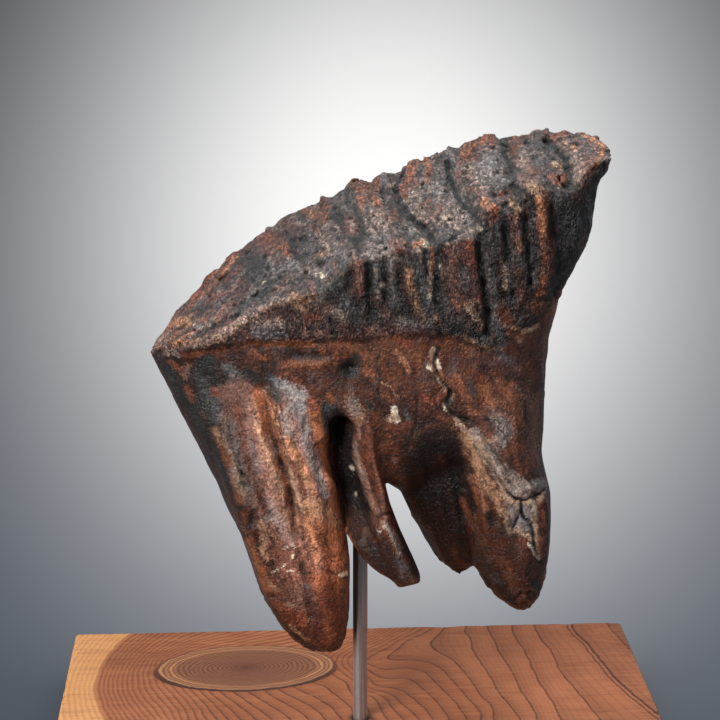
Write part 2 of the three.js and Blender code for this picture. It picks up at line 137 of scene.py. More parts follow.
# plan sections by height: z, left x, right x, near y, far y
BODY = dense([
    (150, -62, 90, -16, 20), (170, -68, 95, -21, 25), (185, -76, 98.2, -27, 30), (200, -83, 97.8, -33, 34),
    (217, -91.5, 97.6, -38.5, 37), (234, -99.5, 97.7, -41, 39), (250, -106.5, 98, -42, 41),
    (258, -110.3, 98.3, -42.5, 42), (264, -112.6, 99, -43, 43), (280, -115, 103.3, -45, 45),
    (290, -115, 105, -45.5, 46), (299, -115, 109.3, -46, 46), (312, -115, 115.8, -46, 46),
    (323, -115, 118.8, -45.5, 46), (340, -115, 120.6, -45, 45), (346, -115, 121.8, -45, 45),
    (352, -115, 126, -44, 44), (360, -115, 129, -43, 43), (376, -115, 129, -42, 42)], 2, 1)
ROOT_A = dense([
    (82.5, -21, -17, -5, 5), (84.5, -26.5, -12.5, -9, 8), (88, -34, -9, -14, 12), (94, -41, -7.5, -18, 15),
    (104, -49.3, -6.4, -23, 19), (117, -56.4, -5.8, -27, 22), (129, -60.4, -5.8, -29.5, 24),
    (142, -63.9, -6.3, -32, 26), (154, -67.8, -7.5, -34, 28), (161, -71.6, -8.6, -35, 29), (167, -74, -9.5, -36, 30),
    (176, -77.4, -11.3, -37, 31), (184, -79.8, -13, -38, 32), (195, -83, -15.6, -38.7, 33), (204, -85.8, -17.5, -39, 34),
    (216, -90, -21, -38.5, 35), (230, -93, -25, -37, 35), (246, -91, -34, -30, 30), (262, -80, -44, -16, 16)], 1.5, 2)
ROOT_M1 = dense([
    (131.8, 18.8, 29.4, -35, -21), (134, 17.2, 30.6, -36.5, -19.5), (138, 15, 30.5, -37.5, -18.5),
    (146, 11.5, 27.4, -38.5, -18), (155, 7.5, 23.4, -39.5, -18), (166, 3, 18.6, -40.5, -17),
    (180, -2, 13.4, -41.5, -16), (191, -5, 11.5, -42, -15), (205, -6.5, 8, -42.2, -14),
    (217, -6, 6.5, -42, -14), (232, -6, 7, -39.5, -14), (246, -4, 5, -31, -14)], 1.5, 2)
ROOT_M2 = dense([
    (134, 14.5, 24, -28, -18), (137, 9.5, 25, -31, -14), (142, 3.4, 24, -33, -11), (147, -0.9, 20, -34, -10),
    (155, -6.0, 15, -34, -7), (161, -10.6, 12, -33, -5), (167, -15.8, 11, -33, -4), (180, -19, 9, -33, -2),
    (191, -21, 8, -32, 0), (205, -21, 6, -30, 2), (222, -18, 4, -28, 2)], 1.5, 2)
ROOT_R1 = dense([
    (126, 53, 58, 2, 14), (128.5, 47.5, 62, -2, 18), (134, 42.3, 66, -7, 22), (145, 35.7, 71, -12, 26),
    (154, 31.2, 76, -16, 28), (168, 22.2, 80, -21, 30), (178, 16.2, 84, -24, 31), (188, 11, 88, -26, 32),
    (205, 4, 90, -26, 32), (225, 0, 90, -22, 30)], 1.5, 2)
ROOT_R2 = dense([
    (112, 84, 89, -18, -8), (114, 80.5, 91.5, -23, -2), (118, 75, 94.5, -29, 2), (123, 70.5, 97.2, -32, 4),
    (131, 64, 99, -34, 6), (139, 59, 100, -36, 8), (147, 56.4, 100.8, -37.5, 9),
    (162, 53.2, 101, -39.5, 10), (180, 51.4, 99.7, -41, 12), (195, 50.2, 95.8, -41.8, 13),
    (212, 50, 91.5, -42, 14), (230, 52, 89, -39.5, 14), (250, 58, 84, -30, 14), (262, 62, 80, -18, 10)], 1.5, 2)
ROOT_R3 = dense([
    (130, 80, 86, 18, 26), (133, 75, 92, 12, 31), (142, 69, 96, 8, 34), (157, 64, 97, 5, 36),
    (180, 60, 97, 2, 37), (205, 58, 92, 0, 37), (226, 58, 88, 0, 34)], 1.5, 2)
ROOT_B = dense([
    (155, -7, 4, 12, 26), (165, -11, 8, 8, 30), (174, -14, 13, 7, 32),
    (183, -17, 14, 7, 34), (200, -19, 18, 7, 35), (225, -18, 18, 6, 33)], 1.5, 2)
# the dark slot between the front and the middle root, in front coordinates: z, middle x, half-width
SLOT = dense([(164, -4, 4.5), (170, -3.3, 6.5), (179, -4.0, 7.1), (191, -5.6, 7.4), (200, -7.9, 6.6), (212, -10.7, 6.3), (227, -11.9, 6.3), (234, -13.1, 4.5)], 2, 1)
# the broken end of the middle root, in front coordinates: z there, its slope, x
BREAK = (136.8, 0.25, 20.0)
# the lit ridge of the middle root: z, x where its dark, receding side begins
RIDGE = dense([(146, -30), (152, -18), (158, -9), (164, -3), (172, 2), (179, 3.1), (191, 1.8), (200, -1.3), (212, -4.4), (227, -5.6), (240, -8)], 2, 1)
# chewing surface: its near edge (y = -44) and its far edge (y = 44), x and height
NEAR_EDGE = np.array([
    (-122, 250), (-116, 256), (-110, 262.5), (-102.4, 267.7), (-82.3, 274.7), (-69.8, 279.7), (-57.2, 287.7), (-44.7, 294.8),
    (-32.3, 297.2), (-17.4, 301.1), (-11.4, 308.6), (-6.4, 314.7), (0, 315.6), (7.5, 316.5), (13.4, 320), (19.3, 321.5),
    (24.3, 319.9), (29.3, 321.8), (34.2, 320.8), (38.7, 321.7), (44.6, 323.2), (52.1, 324.6), (56, 329.1), (59.7, 339.6),
    (63.7, 340.1), (66.6, 343.1), (71.5, 343), (75.6, 340), (79.4, 344.9), (82.3, 348.9), (86.2, 349.9), (89.8, 346.8),
    (94.3, 342.8), (98.9, 340.2), (103.9, 340.1), (110.9, 352.6), (115.7, 357.5), (122, 357), (134, 352), (146, 344)], float)
FAR_EDGE = np.array([
    (-124, 229), (-118, 236.7), (-112.4, 245.6), (-111.2, 248.4), (-108.4, 251.3), (-107.2, 254.2), (-104.4, 257),
    (-101.6, 262), (-99.3, 266), (-95.9, 269.5), (-92.6, 273.1), (-89.2, 276.1), (-85.3, 279.7), (-81.9, 285.8),
    (-77.5, 289.3), (-72.6, 293.6), (-68.2, 297.2), (-63.8, 300), (-58.3, 303.2), (-50.7, 308.7), (-46.4, 311.6),
    (-42.5, 313.9), (-38.7, 317.2), (-34.4, 319.9), (-30.1, 320.9), (-24.7, 322.5), (-20.9, 324.6), (-18.8, 326.8),
    (-13.9, 327.3), (-10.1, 329.4), (-6.4, 332.1), (-4.7, 335.4), (-1.5, 337.5), (3.3, 336.9), (7.6, 335.8), (10.8, 337.9),
    (14.6, 340.6), (18.4, 339.5), (21.6, 341.1), (24.8, 343.5), (26.9, 345), (29.1, 346.3), (31.2, 348.1), (35.5, 349.4),
    (41.9, 349.8), (45.1, 353.9), (48.8, 356.5), (53.2, 355), (58.5, 357), (62.8, 359.2), (67.6, 362), (72.9, 361.8),
    (77.2, 362), (79.4, 360), (82.6, 360.5), (84.8, 362), (88, 361.8), (91.8, 362.7), (94.9, 367.2), (98.7, 367.1),
    (101.4, 368.3), (103.6, 366.8), (107.3, 368.3), (110.5, 368.1), (113.8, 365.9), (118.1, 367.4), (121.4, 368.7),
    (125.8, 367.4), (130.2, 366.9), (133.6, 363.1), (140, 357), (146, 351)], float)
SKEW = np.array([(-120, -3), (-100, -3), (0, -5.5), (20, -11), (34, -16), (46, -9), (56, -3), (78, 2), (99, 4), (140, 4)], float)


def edge_tab(rows, sigma):
    xs = np.arange(-130.0, 150.5, 0.5)
    h = np.interp(xs, rows[:, 0], rows[:, 1])
    k = np.exp(-0.5 * (np.arange(-40, 41) * 0.5 / sigma) ** 2)
    low = np.convolve(np.pad(h, 40, mode="edge"), k / k.sum(), mode="valid")
    return xs, low, h - low


NEAR_TAB, FAR_TAB = edge_tab(NEAR_EDGE, 6.0), edge_tab(FAR_EDGE, 6.0)
CERVIX = dense([
    (-112, 262), (-83, 267), (-55, 272.6), (-32, 271.5), (-12, 273), (18, 274), (38, 274), (51, 271),
    (63, 266), (71, 268), (78, 273), (91, 281), (110, 288), (130, 292)], 2, 1)
# The surface as seen from the front has its own flat coordinates: a point goes along the line to EYE until it meets
# the plane y = -42, which is the near face. Lines of relief and of colour are given there as (x, z), mm.
EYE = (-50.2308, -943.9406, 531.64054)


def front(x, y, z):
    t = (-42.0 - EYE[1]) / (y - EYE[1])
    return EYE[0] + t * (x - EYE[0]), EYE[2] + t * (z - EYE[2])


# depth (negative for a raised line), half-width, taper at both ends, points
# <relief>
RELIEF = [
    (3.6, 2, 6, ((56.3, 323.6), (57.5, 313.4), (58.6, 304.7), (59.8, 295.9), (62, 287.6), (62.2, 278.7), (61.3, 271.9))),
    (3.6, 1.8, 6, ((69.5, 332.5), (70.3, 322.4), (71.5, 313.2), (71.1, 307.1))),
    (1.6, 1.6, 5, ((66.5, 311.2), (67.7, 302), (69.9, 294.2), (71.5, 290.5))),
    (2, 2, 3, ((73.9, 297.2), (74.5, 291))),
    (2.4, 1.6, 6, ((79.8, 340), (80.6, 329.9), (81.4, 318.2), (82.7, 306.9), (83.5, 296.1))),
    (1.5, 3.4, 7, ((95.3, 339.3), (96.1, 327.2), (97, 314.4), (96.4, 301.6), (94.2, 290.7))),
    (2.2, 1.5, 5, ((35.9, 317.7), (36, 310.1), (36.2, 299.8), (35.7, 293.1))),
    (1.6, 1.2, 4, ((30, 318.8), (30.5, 311.7), (31.6, 303))),
    (2, 1.5, 5, ((37.9, 321.3), (39.5, 315.1), (41.1, 306.9))),
    (1.9, 1.5, 5, ((17.5, 318), (17.6, 307.8), (18.2, 297.5), (20.2, 291.3), (24.3, 283.9))),
    (2.8, 1.6, 5, ((9.6, 317.1), (10.1, 307.9), (10.7, 297.6), (11.2, 290.9))),
    (3, 1.8, 6, ((2.1, 314.6), (2.2, 302.8), (2.7, 292.5), (3.2, 282.7))),
    (2.2, 1.7, 5, ((-6.8, 310.6), (-7.3, 303), (-8.8, 294.3))),
    (1.5, 2.2, 6, ((-15.8, 306.2), (-16.8, 298), (-16.3, 289.7))),
    (1.8, 1.5, 5, ((91.2, 342.4), (93, 332.3), (93.8, 321.6))),
    (1.8, 1.5, 6, ((83.7, 342.5), (83.6, 329.9), (83.9, 317.1), (84.8, 303.8))),
    (1.5, 1.5, 6, ((63.5, 335.6), (64.7, 325), (66, 314.3))),
    (1.2, 1.3, 4, ((74.4, 336.5), (75.1, 329.4))),
    (-2.4, 3.2, 6, ((86.6, 346.5), (88.9, 334.9), (89.8, 322.2), (92.1, 310.9), (90.9, 299.1), (88.1, 290.8))),
    (-1, 1.4, 4, ((74.9, 339.5), (75.6, 329.9), (76.3, 319.3))),
    (-1.2, 2.2, 6, ((60.5, 339.7), (63.1, 330.1), (63.8, 319.4))),
    (-1.6, 5, 8, ((46.4, 320.7), (49, 311.4), (51.7, 299.6), (52.9, 290.8))),
    (-1.3, 1.8, 2, ((52.9, 287.7), (56, 283), (58.1, 280.3))),
    (1.2, 1.2, 3, ((56.4, 287.6), (60.1, 282.4), (60.1, 278.2))),
    (-1.3, 2.1, 5, ((22.1, 308.7), (25.2, 293.3), (28.3, 283.9))),
    (-1, 2.2, 6, ((13.6, 318), (14.1, 302.7), (14.7, 289.3))),
    (-1, 2.2, 6, ((6.1, 312), (6.2, 300.2), (7.2, 289.4))),
    (-1.7, 2.8, 5, ((-2.3, 312.1), (-1.8, 302.9), (-3.3, 294.2))),
    (-0.8, 2, 4, ((26.5, 319.4), (27.5, 311.7))),
    (-0.8, 0.9, 3, ((32.5, 311.7), (32.7, 293.7))),
    (-0.9, 1, 4, ((27.4, 321.4), (30.4, 321.4))),
    (-1.6, 2.4, 3, ((83.1, 349), (86.6, 348))),
    (3.2, 2.3, 4, ((40.3, 363.9), (40.9, 356.9), (42.4, 351.9), (45, 347.4), (48, 342.4), (52, 338.3), (55.1, 334.7), (56.7, 328.7))),
    (3, 2, 4, ((15.4, 350.2), (16.4, 344.7), (17.9, 340.2), (20.4, 335.1), (24.4, 331.6), (29.4, 328), (33.4, 324.4), (35.9, 319.8))),
    (3, 2.2, 4, ((69.2, 371.5), (70.3, 365.1), (71.5, 357.6), (71.1, 351.6))),
    (2.6, 1.5, 3, ((71.1, 350.6), (74.6, 348.6), (78.7, 345.5), (80.3, 340))),
    (3.2, 1.8, 2, ((62.8, 345.2), (67.8, 344.7), (71.7, 347.1))),
    (2.2, 2, 5, ((88.3, 375.3), (89.9, 369.8), (93.5, 365.8), (97.5, 363.3), (99.6, 358.3), (101.3, 352.3), (102.5, 346.3))),
    (2.6, 2.2, 5, ((-9.2, 348.5), (-7.3, 342.5), (-3.8, 336.9), (-1.3, 330.4), (-2.3, 324.3), (-3.3, 320.3), (-0.3, 315.6))),
    (1.6, 1.6, 4, ((9.4, 354.3), (9, 348.3), (11.5, 341.3), (13.5, 337.2))),
    (1.9, 2, 5, ((-23, 341.6), (-19.1, 338.1), (-14.7, 335.5), (-11.2, 332.5), (-9.8, 325.4))),
    (1.3, 2, 5, ((-31.9, 337.7), (-32.4, 331.2), (-30.5, 323.6), (-28.1, 318.5), (-24.1, 314.9))),
    (1.2, 2, 5, ((-39.8, 334.8), (-37.9, 327.8), (-36, 320.7), (-32.1, 312.5))),
    (1.9, 1.6, 4, ((-62.2, 290.9), (-57.1, 294.4), (-53.1, 296.4), (-48.1, 297.4), (-42.2, 298.3))),
    (2, 1.5, 5, ((-85.4, 274.1), (-78.3, 277.7), (-72.3, 280.7), (-66.3, 284.2), (-61.2, 287.8))),
    (1, 1.3, 4, ((-79.8, 299.9), (-74.3, 303.4), (-67.8, 305.8), (-61.8, 307.8))),
    (0.9, 1.2, 4, ((-88, 290.7), (-81.9, 293.7), (-74.9, 296.7))),
    (1.2, 1.3, 4, ((-98.2, 278), (-91.3, 278.9), (-84.2, 281.4), (-78.2, 285.4))),
    (1, 1.2, 4, ((-101.5, 269.7), (-94.5, 270.1), (-86.4, 273.6))),
    (1, 1.5, 4, ((32.5, 363), (32, 358), (32.6, 350))),
    (0.8, 1.5, 4, ((56.5, 367.7), (55.6, 362.7), (57.7, 356.7))),
    (1.2, 1.4, 3, ((19.2, 359.1), (18.8, 353.2), (19.8, 347.2))),
    (1, 1.6, 4, ((80.9, 374.8), (80.1, 368.4), (81.7, 362.5))),
    (1.6, 1.8, 3, ((97.9, 351.3), (99.5, 347.3), (99.1, 343.3))),
    (-1.6, 3, 2, ((92.8, 353.4), (96.3, 352.4))),
    (-1.4, 2, 2, ((92.7, 359.9), (95.6, 359.3))),
    (-2, 3.4, 3, ((1.6, 317.7), (10.6, 317))),
    (-1.4, 2.4, 3, ((37.3, 332.4), (41.2, 332.9))),
    (-1, 2.6, 3, ((-23.7, 306.3), (-19.3, 303.6))),
    (-1.3, 2, 3, ((-38, 316.6), (-39.9, 319.7))),
    (1, 1.2, 2, ((95.8, 370.8), (101.8, 369.2), (105.7, 369.2))),
    (0.9, 1.2, 2, ((95.9, 367.3), (100.8, 366.7), (104.8, 366.7))),
    (2.8, 3, 10, ((-51.9, 243.1), (-50.1, 233), (-47.7, 222.2), (-43.7, 211.4), (-40.3, 197.7), (-37.4, 184), (-34.5, 167.3), (-32, 150.5), (-30.1, 130.7), (-27.1, 115.8))),
    (1.9, 2.2, 10, ((-64.2, 237), (-62.8, 227.9), (-60.5, 215.5), (-56.6, 201.3), (-52.8, 187), (-50.4, 173.2))),
    (1.4, 2, 8, ((-38, 227.4), (-34.5, 213.9), (-30.6, 200.3))),
    (-1.3, 2, 8, ((-54.7, 228.3), (-51.8, 220.7), (-48.3, 210.9), (-44.9, 197.8))),
    (-1.6, 4.6, 14, ((-39.9, 238.2), (-32.9, 219.3), (-27, 197.5), (-23, 175.4), (-20.6, 153.1))),
    (-1.2, 3.8, 14, ((-67.5, 219.9), (-63.8, 200.9), (-59, 181.7), (-55.2, 162.2))),
    (0.8, 1, 3, ((-63.8, 203.6), (-60.8, 200.3), (-58.3, 193.7))),
    (1.2, 1.6, 3, ((-57.5, 181.1), (-59.2, 172.3))),
    (0.9, 0.7, 1, ((-19, 147.4), (-16.4, 145.7), (-14.9, 145.1))),
    (0.8, 0.8, 2, ((-50.4, 134.6), (-46.8, 132.8), (-43.7, 131))),
    (-0.9, 0.9, 1, ((-42.3, 159.7), (-38.7, 160.2), (-36.6, 161.3))),
    (-0.9, 0.9, 1, ((-36.6, 156.8), (-38.2, 152.3), (-42.4, 149.6))),
    (1.4, 3, 3, ((-53.3, 249.5), (-49.9, 245.8))),
    (-1.2, 2, 3, ((-66.8, 256.1), (-64.9, 252.9))),
    (1, 3, 4, ((-81.4, 256.3), (-78.1, 245.7))),
    (-1.2, 1.8, 2, ((-75.6, 246.2), (-73.6, 245.1))),
    (1.6, 2, 4, ((-35.5, 265.5), (-29.5, 263.9), (-18.5, 263.2))),
    (-1, 2, 5, ((-37.6, 259.8), (-26.5, 258.6), (-14.4, 261))),
    (0.9, 0.7, 1, ((7.5, 176.4), (10.1, 178), (13.2, 178.5), (15.3, 177.9))),
    (2.2, 4.2, 0, ((-7.9, 257.8), (-6.9, 257.2))),
    (1.2, 1.6, 1, ((-4.3, 261.9), (-3.3, 261.4))),
    (0.9, 1, 1, ((-17.9, 265.8), (-16.9, 264.2))),
    (0.9, 0.6, 2, ((6.3, 246.4), (6.8, 240), (9.4, 235.7), (11.4, 229.8))),
    (0.8, 0.6, 2, ((27.2, 242.3), (26.7, 231.7), (26.8, 222.5))),
    (1, 2.6, 4, ((6.9, 220.7), (8.4, 209.9))),
    (-1, 1.6, 1, ((15, 235.6), (15.5, 229.2))),
    (1.3, 0.7, 1, ((34.2, 293.1), (36.3, 290), (37.8, 287.9))),
    (1, 0.6, 1, ((36.9, 280.6), (37.9, 276.5), (38, 272.8))),
    (1.8, 0.8, 1, ((37.5, 267.6), (36.1, 262.8), (35.1, 259.2), (36.7, 254.9), (38.8, 250.6), (42.9, 245.3))),
    (2.2, 1.3, 2, ((42.9, 245.3), (43.5, 242.1), (42.5, 239.4), (41.5, 236.8))),
    (1.6, 0.9, 2, ((42.5, 235.1), (44.6, 232.4), (47.7, 230.2), (51.9, 228.5), (54.4, 227.9))),
    (1, 0.7, 2, ((43.1, 233.5), (46.7, 228.6), (49.9, 224.2))),
    (1, 0.7, 2, ((39.8, 246.9), (37.3, 243.8), (34.3, 241.1))),
    (-0.8, 1.6, 3, ((32.6, 257.1), (35.2, 254.4), (40.3, 248))),
    (1.4, 1.8, 4, ((-17.4, 283.5), (-15.4, 278.3), (-14.9, 273.1))),
    (0.8, 0.6, 2, ((81.9, 237.7), (82.7, 225.8))),
    (1, 2.6, 5, ((51.1, 272.1), (54.3, 267.8))),
    (1.2, 1.6, 4, ((45.5, 275.3), (53.1, 273.6), (60.3, 271.9))),
    (-1, 1.2, 3, ((51.2, 271.5), (58.3, 268.3), (68.5, 266))),
    (0.9, 0.9, 4, ((58.1, 221.9), (65.6, 211), (73.1, 198.8), (79.5, 189.9))),
    (0.9, 0.9, 4, ((55.1, 217.7), (62.6, 205.6), (69, 193.4), (73.4, 184.5))),
    (0.7, 0.8, 4, ((64.4, 217.5), (72.3, 207.6), (80.3, 198.7))),
    (0.7, 0.9, 4, ((53.2, 212.3), (59.6, 198.5), (66.1, 184.6), (70.6, 170.7))),
    (-1, 2.2, 6, ((56.1, 220.9), (64.6, 207.7), (73.2, 193.3))),
    (1.6, 0.8, 1, ((73.8, 189.4), (77.5, 185.5), (82.8, 184.3), (86.9, 185.9), (91, 188), (93.5, 190.1))),
    (1.6, 0.7, 1, ((81.2, 183.2), (81.4, 177.7), (83, 174.3), (85.7, 172.6))),
    (1.6, 0.8, 1, ((86.8, 170.9), (87.4, 165.3), (88.6, 159.6), (90.4, 154), (92.1, 148.3))),
    (1.2, 0.7, 1, ((79.8, 175.5), (78.4, 171.1), (76.9, 167.7))),
    (-1.6, 2.4, 2, ((84.2, 190.9), (87.8, 191.9), (91.4, 192.9))),
    (-1, 1.8, 2, ((76.6, 178.9), (77.3, 172.2))),
    (-1.2, 1.8, 2, ((83, 173.2), (85.2, 169.8))),
    (1.6, 2, 2, ((91.7, 180.8), (92.5, 173), (92.7, 162.9))),
    (1, 2.4, 4, ((64.7, 177.5), (65.8, 170.8))),
    (2.2, 2.2, 8, ((50.8, 197), (53.1, 184.9), (54.3, 173.8), (55.5, 162.6), (56.3, 150.2))),
    (1.2, 2.2, 8, ((38.9, 201.7), (42.2, 185.1), (45.5, 168.4))),
    (1, 2, 8, ((31.7, 196.3), (37.1, 176.9), (42.5, 160.1))),
    (-1.2, 2.4, 8, ((56.5, 195.8), (60.9, 182), (64.3, 168))),
    (0.9, 0.9, 4, ((-61.7, 314.9), (-67.8, 307.9), (-74.8, 300.8), (-80.9, 294.2), (-86, 288.1))),
    (0.8, 0.9, 3, ((-54.8, 314.8), (-60.9, 307.8), (-66.9, 301.2), (-71, 297.7))),
    (0.7, 0.8, 3, ((-67.7, 313), (-73.7, 306.4), (-78.8, 300.4))),
    (0.8, 1, 3, ((-71.1, 292.6), (-66, 296.6), (-61, 300.1))),
    (-0.6, 1.1, 3, ((-64.7, 312.9), (-70.8, 306.4), (-76.8, 299.8))),
    (0.7, 0.9, 3, ((-93.3, 278.4), (-87.2, 283), (-81.1, 287.5))),
    (0.7, 1.3, 4, ((-55.9, 307.7), (-50.9, 312.7), (-47.9, 316.8))),
    (1.9, 2, 6, ((-61.6, 239.1), (-57.4, 219.7), (-52.6, 198), (-47.8, 175.9))),
    (1.6, 1.8, 6, ((-49.9, 241), (-45.2, 219.5), (-39.3, 197.7), (-34.4, 175.6))),
    (1.6, 1.6, 6, ((-70.3, 230.7), (-65.6, 211.8), (-60.9, 192.7))),
    (1.4, 1.8, 5, ((-33.1, 203), (-30.2, 181.1), (-27.3, 153.2), (-25.4, 130.6))),
    (-1.2, 2.4, 6, ((-56.2, 230.4), (-51.4, 208.8), (-45.6, 184.1))),
    (-1, 2.2, 6, ((-40, 224.8), (-35.1, 203.1), (-30.2, 181.1))),
    (1.3, 1, 3, ((40.3, 361.4), (42.9, 352.4), (46, 343.9), (52.1, 336.8), (57.7, 329.7))),
    (1.1, 0.9, 3, ((67.1, 375.9), (67.3, 367.1), (71.9, 359.6), (75.1, 350.6), (78.2, 346.5))),
    (1.2, 1, 3, ((20.2, 359.1), (15.4, 349.7), (19.4, 339.7), (27.4, 331.5), (31.4, 328.4))),
    (1.2, 1, 3, ((85.9, 372.3), (93.9, 368.3), (99.6, 359.3), (100, 347.3))),
    (1, 0.9, 3, ((3.6, 347.4), (0.6, 336.9), (7.1, 326.7))),
    (0.9, 0.9, 3, ((-12.2, 340), (-13.7, 334.5), (-7.8, 324.9), (-4.3, 321.8))),
    (0.9, 0.9, 3, ((-24, 332.6), (-25.5, 327.1), (-19.2, 317.4))),
    (2, 3, 3, ((-7.9, 259.9), (-7.4, 257.7), (-7.4, 255.6))),
]
# </relief>
# the same for broad forms: ledge along the front end, the swelling under it, the foot of the crown, root flutes
FORMS = [
    (-1.4, 3.6, 10, ((-98, 264), (-80, 271.5), (-62, 280), (-51, 286.6), (-40, 292.6), (-31, 294))),
    (-3.6, 8.5, 6, ((-46, 279), (-38, 281))), (-1.2, 6.0, 8, ((-24, 279), (-4, 281))),
    (0.9, 2.0, 8, ((-57, 268.5), (-47, 269.5), (-32, 268), (-20, 262))), (1.0, 2.2, 5, ((58, 264), (64, 262), (72, 265))),
    (2.2, 2.8, 16, ((-70, 243), (-65, 222), (-60, 196), (-53, 160))), (1.0, 2.4, 12, ((-79, 228), (-74, 205), (-67, 172))),
    (1.0, 2.4, 10, ((-30, 235), (-24, 215), (-21, 196))), (1.0, 2.6, 14, ((-42, 170), (-38, 140), (-31, 112))),
    (0.9, 2.4, 12, ((-20, 170), (-16, 140), (-15, 115))), (2.2, 2.4, 9, ((53, 214), (57, 192), (60.5, 160), (61, 141))),
    (1.6, 2.4, 10, ((44, 214), (49, 185), (54, 150))), (1.4, 2.2, 10, ((32, 212), (35, 185), (42, 155))),
    (1.0, 1.8, 8, ((25, 206), (28, 190), (34, 172))), (1.0, 2.2, 12, ((66, 190), (70, 165), (76, 140))),
    (1.6, 2.2, 8, ((-5, 214), (-5.5, 196), (2, 168), (14, 140))),
]
FAR = [
    (3.0, 3.4, 16, ((-64, 246), (-56, 210), (-42, 150), (-36, 118))), (2.0, 2.8, 14, ((-44, 240), (-38, 205), (-31, 160))),
    (1.8, 2.6, 14, ((-78, 236), (-70, 200), (-60, 165))), (3.0, 3.2, 12, ((74, 222), (78, 185), (80, 150))),
    (2.6, 3.2, 12, ((42, 222), (47, 185), (50, 150))), (1.4, 2.2, 12, ((90, 215), (92, 180), (91, 155))),
    (2.0, 3.0, 8, ((-24, 226), (-20, 205), (-18, 190))), (1.6, 3.0, 8, ((26, 230), (28, 210), (26, 196))),
    (1.4, 0.7, 4, ((12, 300), (14, 282), (10, 262), (16, 246), (12, 232))), (1.0, 0.7, 3, ((-50, 262), (-44, 250), (-47, 236), (-40, 224))),
    (1.0, 0.7, 3, ((66, 262), (70, 250), (67, 240), (73, 226)))]


def loft(x, y, z, tab, p, q, capped=True, flute=0.0, seed=0):
    xl, xr, yf, yb = look(tab, z)
    L, W = (xr - xl) / 2, (yb - yf) / 2
    sx, sy = (x - (xl + xr) / 2) / L, (y - (yf + yb) / 2) / W
    t, s = np.abs(sx) + 1e-6, np.abs(sy) + 1e-6
    n = (t ** p + s ** q) ** (1.0 / min(p, q))
    F = (n - 1) * np.minimum(L, W)
    if flute:
        r = np.sqrt(sx * sx + sy * sy) + 1e-6
        F = F + flute * (noise3(sx / r * 2.6, sy / r * 2.6, z / 55, seed)
                         + 0.55 * noise3(sx / r * 6.2, sy / r * 6.2, z / 38, seed + 3))
    if capped:
        F = np.maximum(F, np.maximum(tab[0][0] - z, z - tab[0][-1]))
    return F


def line2(x, z, pts):
    """distance to a polyline and the length along it at the nearest point"""
    best, along, run = None, None, 0.0
    for (x0, z0), (x1, z1) in zip(pts[:-1], pts[1:]):
        dx, dz = x1 - x0, z1 - z0
        ln = math.hypot(dx, dz)
        t = np.clip(((x - x0) * dx + (z - z0) * dz) / (ln * ln), 0, 1)
        d = np.hypot(x - x0 - t * dx, z - z0 - t * dz)
        if best is None:
            best, along = d, t * ln
        else:
            m = d < best
            best = np.where(m, d, best)
            along = np.where(m, run + t * ln, along)
        run += ln
    return best, along, run


def add_marks(x, z, marks, out, mask):
    for i, (depth, w, taper, pts) in enumerate(marks):
        xs, zs = [p[0] for p in pts], [p[1] for p in pts]
        r = 2.6 * w + 1
        sel = np.nonzero((x > min(xs) - r) & (x < max(xs) + r) & (z > min(zs) - r) & (z < max(zs) + r) & mask)[0]
        if len(sel) == 0:
            continue
        px, pz = x[sel], z[sel]
        d, a, total = line2(px, pz, pts)
        k = 1.0
        if taper > 0.2:
            t = min(taper, total * 0.45)
            k = sstep(0, t, a + 0.25 * t) * sstep(0, t, total - a + 0.25 * t)
            k = k * (0.82 + 0.45 * noise3(a / 6.0, i * 3.1, 0.0, 7))
        ww = w * (1.0 + 0.28 * noise3(a / 5.0, i * 2.3, 4.0, 9)) if taper > 0.2 else w
        out[sel] += depth * k * np.exp(-(d / ww) ** 2)


def tube(x, y, z, pts, rs):
    best = None
    for i in range(len(pts) - 1):
        a, b = np.array(pts[i], float), np.array(pts[i + 1], float)
        d = b - a
        wx, wy, wz = x - a[0], y - a[1], z - a[2]
        t = np.clip((wx * d[0] + wy * d[1] + wz * d[2]) / (d @ d), 0, 1)
        f = np.sqrt((wx - t * d[0]) ** 2 + (wy - t * d[1]) ** 2 + (wz - t * d[2]) ** 2) - (rs[i] + (rs[i + 1] - rs[i]) * t)
        best = f if best is None else np.minimum(best, f)
    return best


def occ_height(x, y, rough=True):
    t = np.clip((y + 44.0) / 88.0, -0.05, 1.05)
    sk = np.interp(x, SKEW[:, 0], SKEW[:, 1]).astype(np.float32)
    xn = x - sk * t
    xf = x + sk * (1 - t)
    h = (1 - t) * np.interp(xn, NEAR_TAB[0], NEAR_TAB[1]) + t * np.interp(xf, FAR_TAB[0], FAR_TAB[1])
    h = h + 1.3 * (1 - (y / 44.0) ** 2)
    if rough:
        wn = 1 - sstep(-42, -14, y + 5 * noise3(x / 9, 0.5, 0.5, 25))
        wf = sstep(12, 40, y + 5 * noise3(x / 9, 0.5, 0.5, 26))
        h = h + wn * np.interp(xn, NEAR_TAB[0], NEAR_TAB[2]) + wf * np.interp(xf, FAR_TAB[0], FAR_TAB[2])
        # broad waves of the plates across the surface
        h = h + 0.8 * noise3(xn / 7.5, y / 30, 0.7, 27) * sstep(-70, -40, x)
    return h.astype(np.float32)


def far_as_near(x, z):
    """where on the near face the plate that shows at (x, z) on the far face shows"""
    sk = np.interp(x, SKEW[:, 0], SKEW[:, 1])
    xn = x - sk + 2.5 * noise3(x / 21, z / 60, 0.4, 28)
    zc = look(CERVIX, xn)[0]
    zn = np.interp(xn, NEAR_TAB[0], NEAR_TAB[1])
    zf = np.interp(x, FAR_TAB[0], FAR_TAB[1])
    return xn.astype(np.float32), (zc + (z - zc) * (zn - zc) / np.maximum(zf - zc, 8.0)).astype(np.float32)


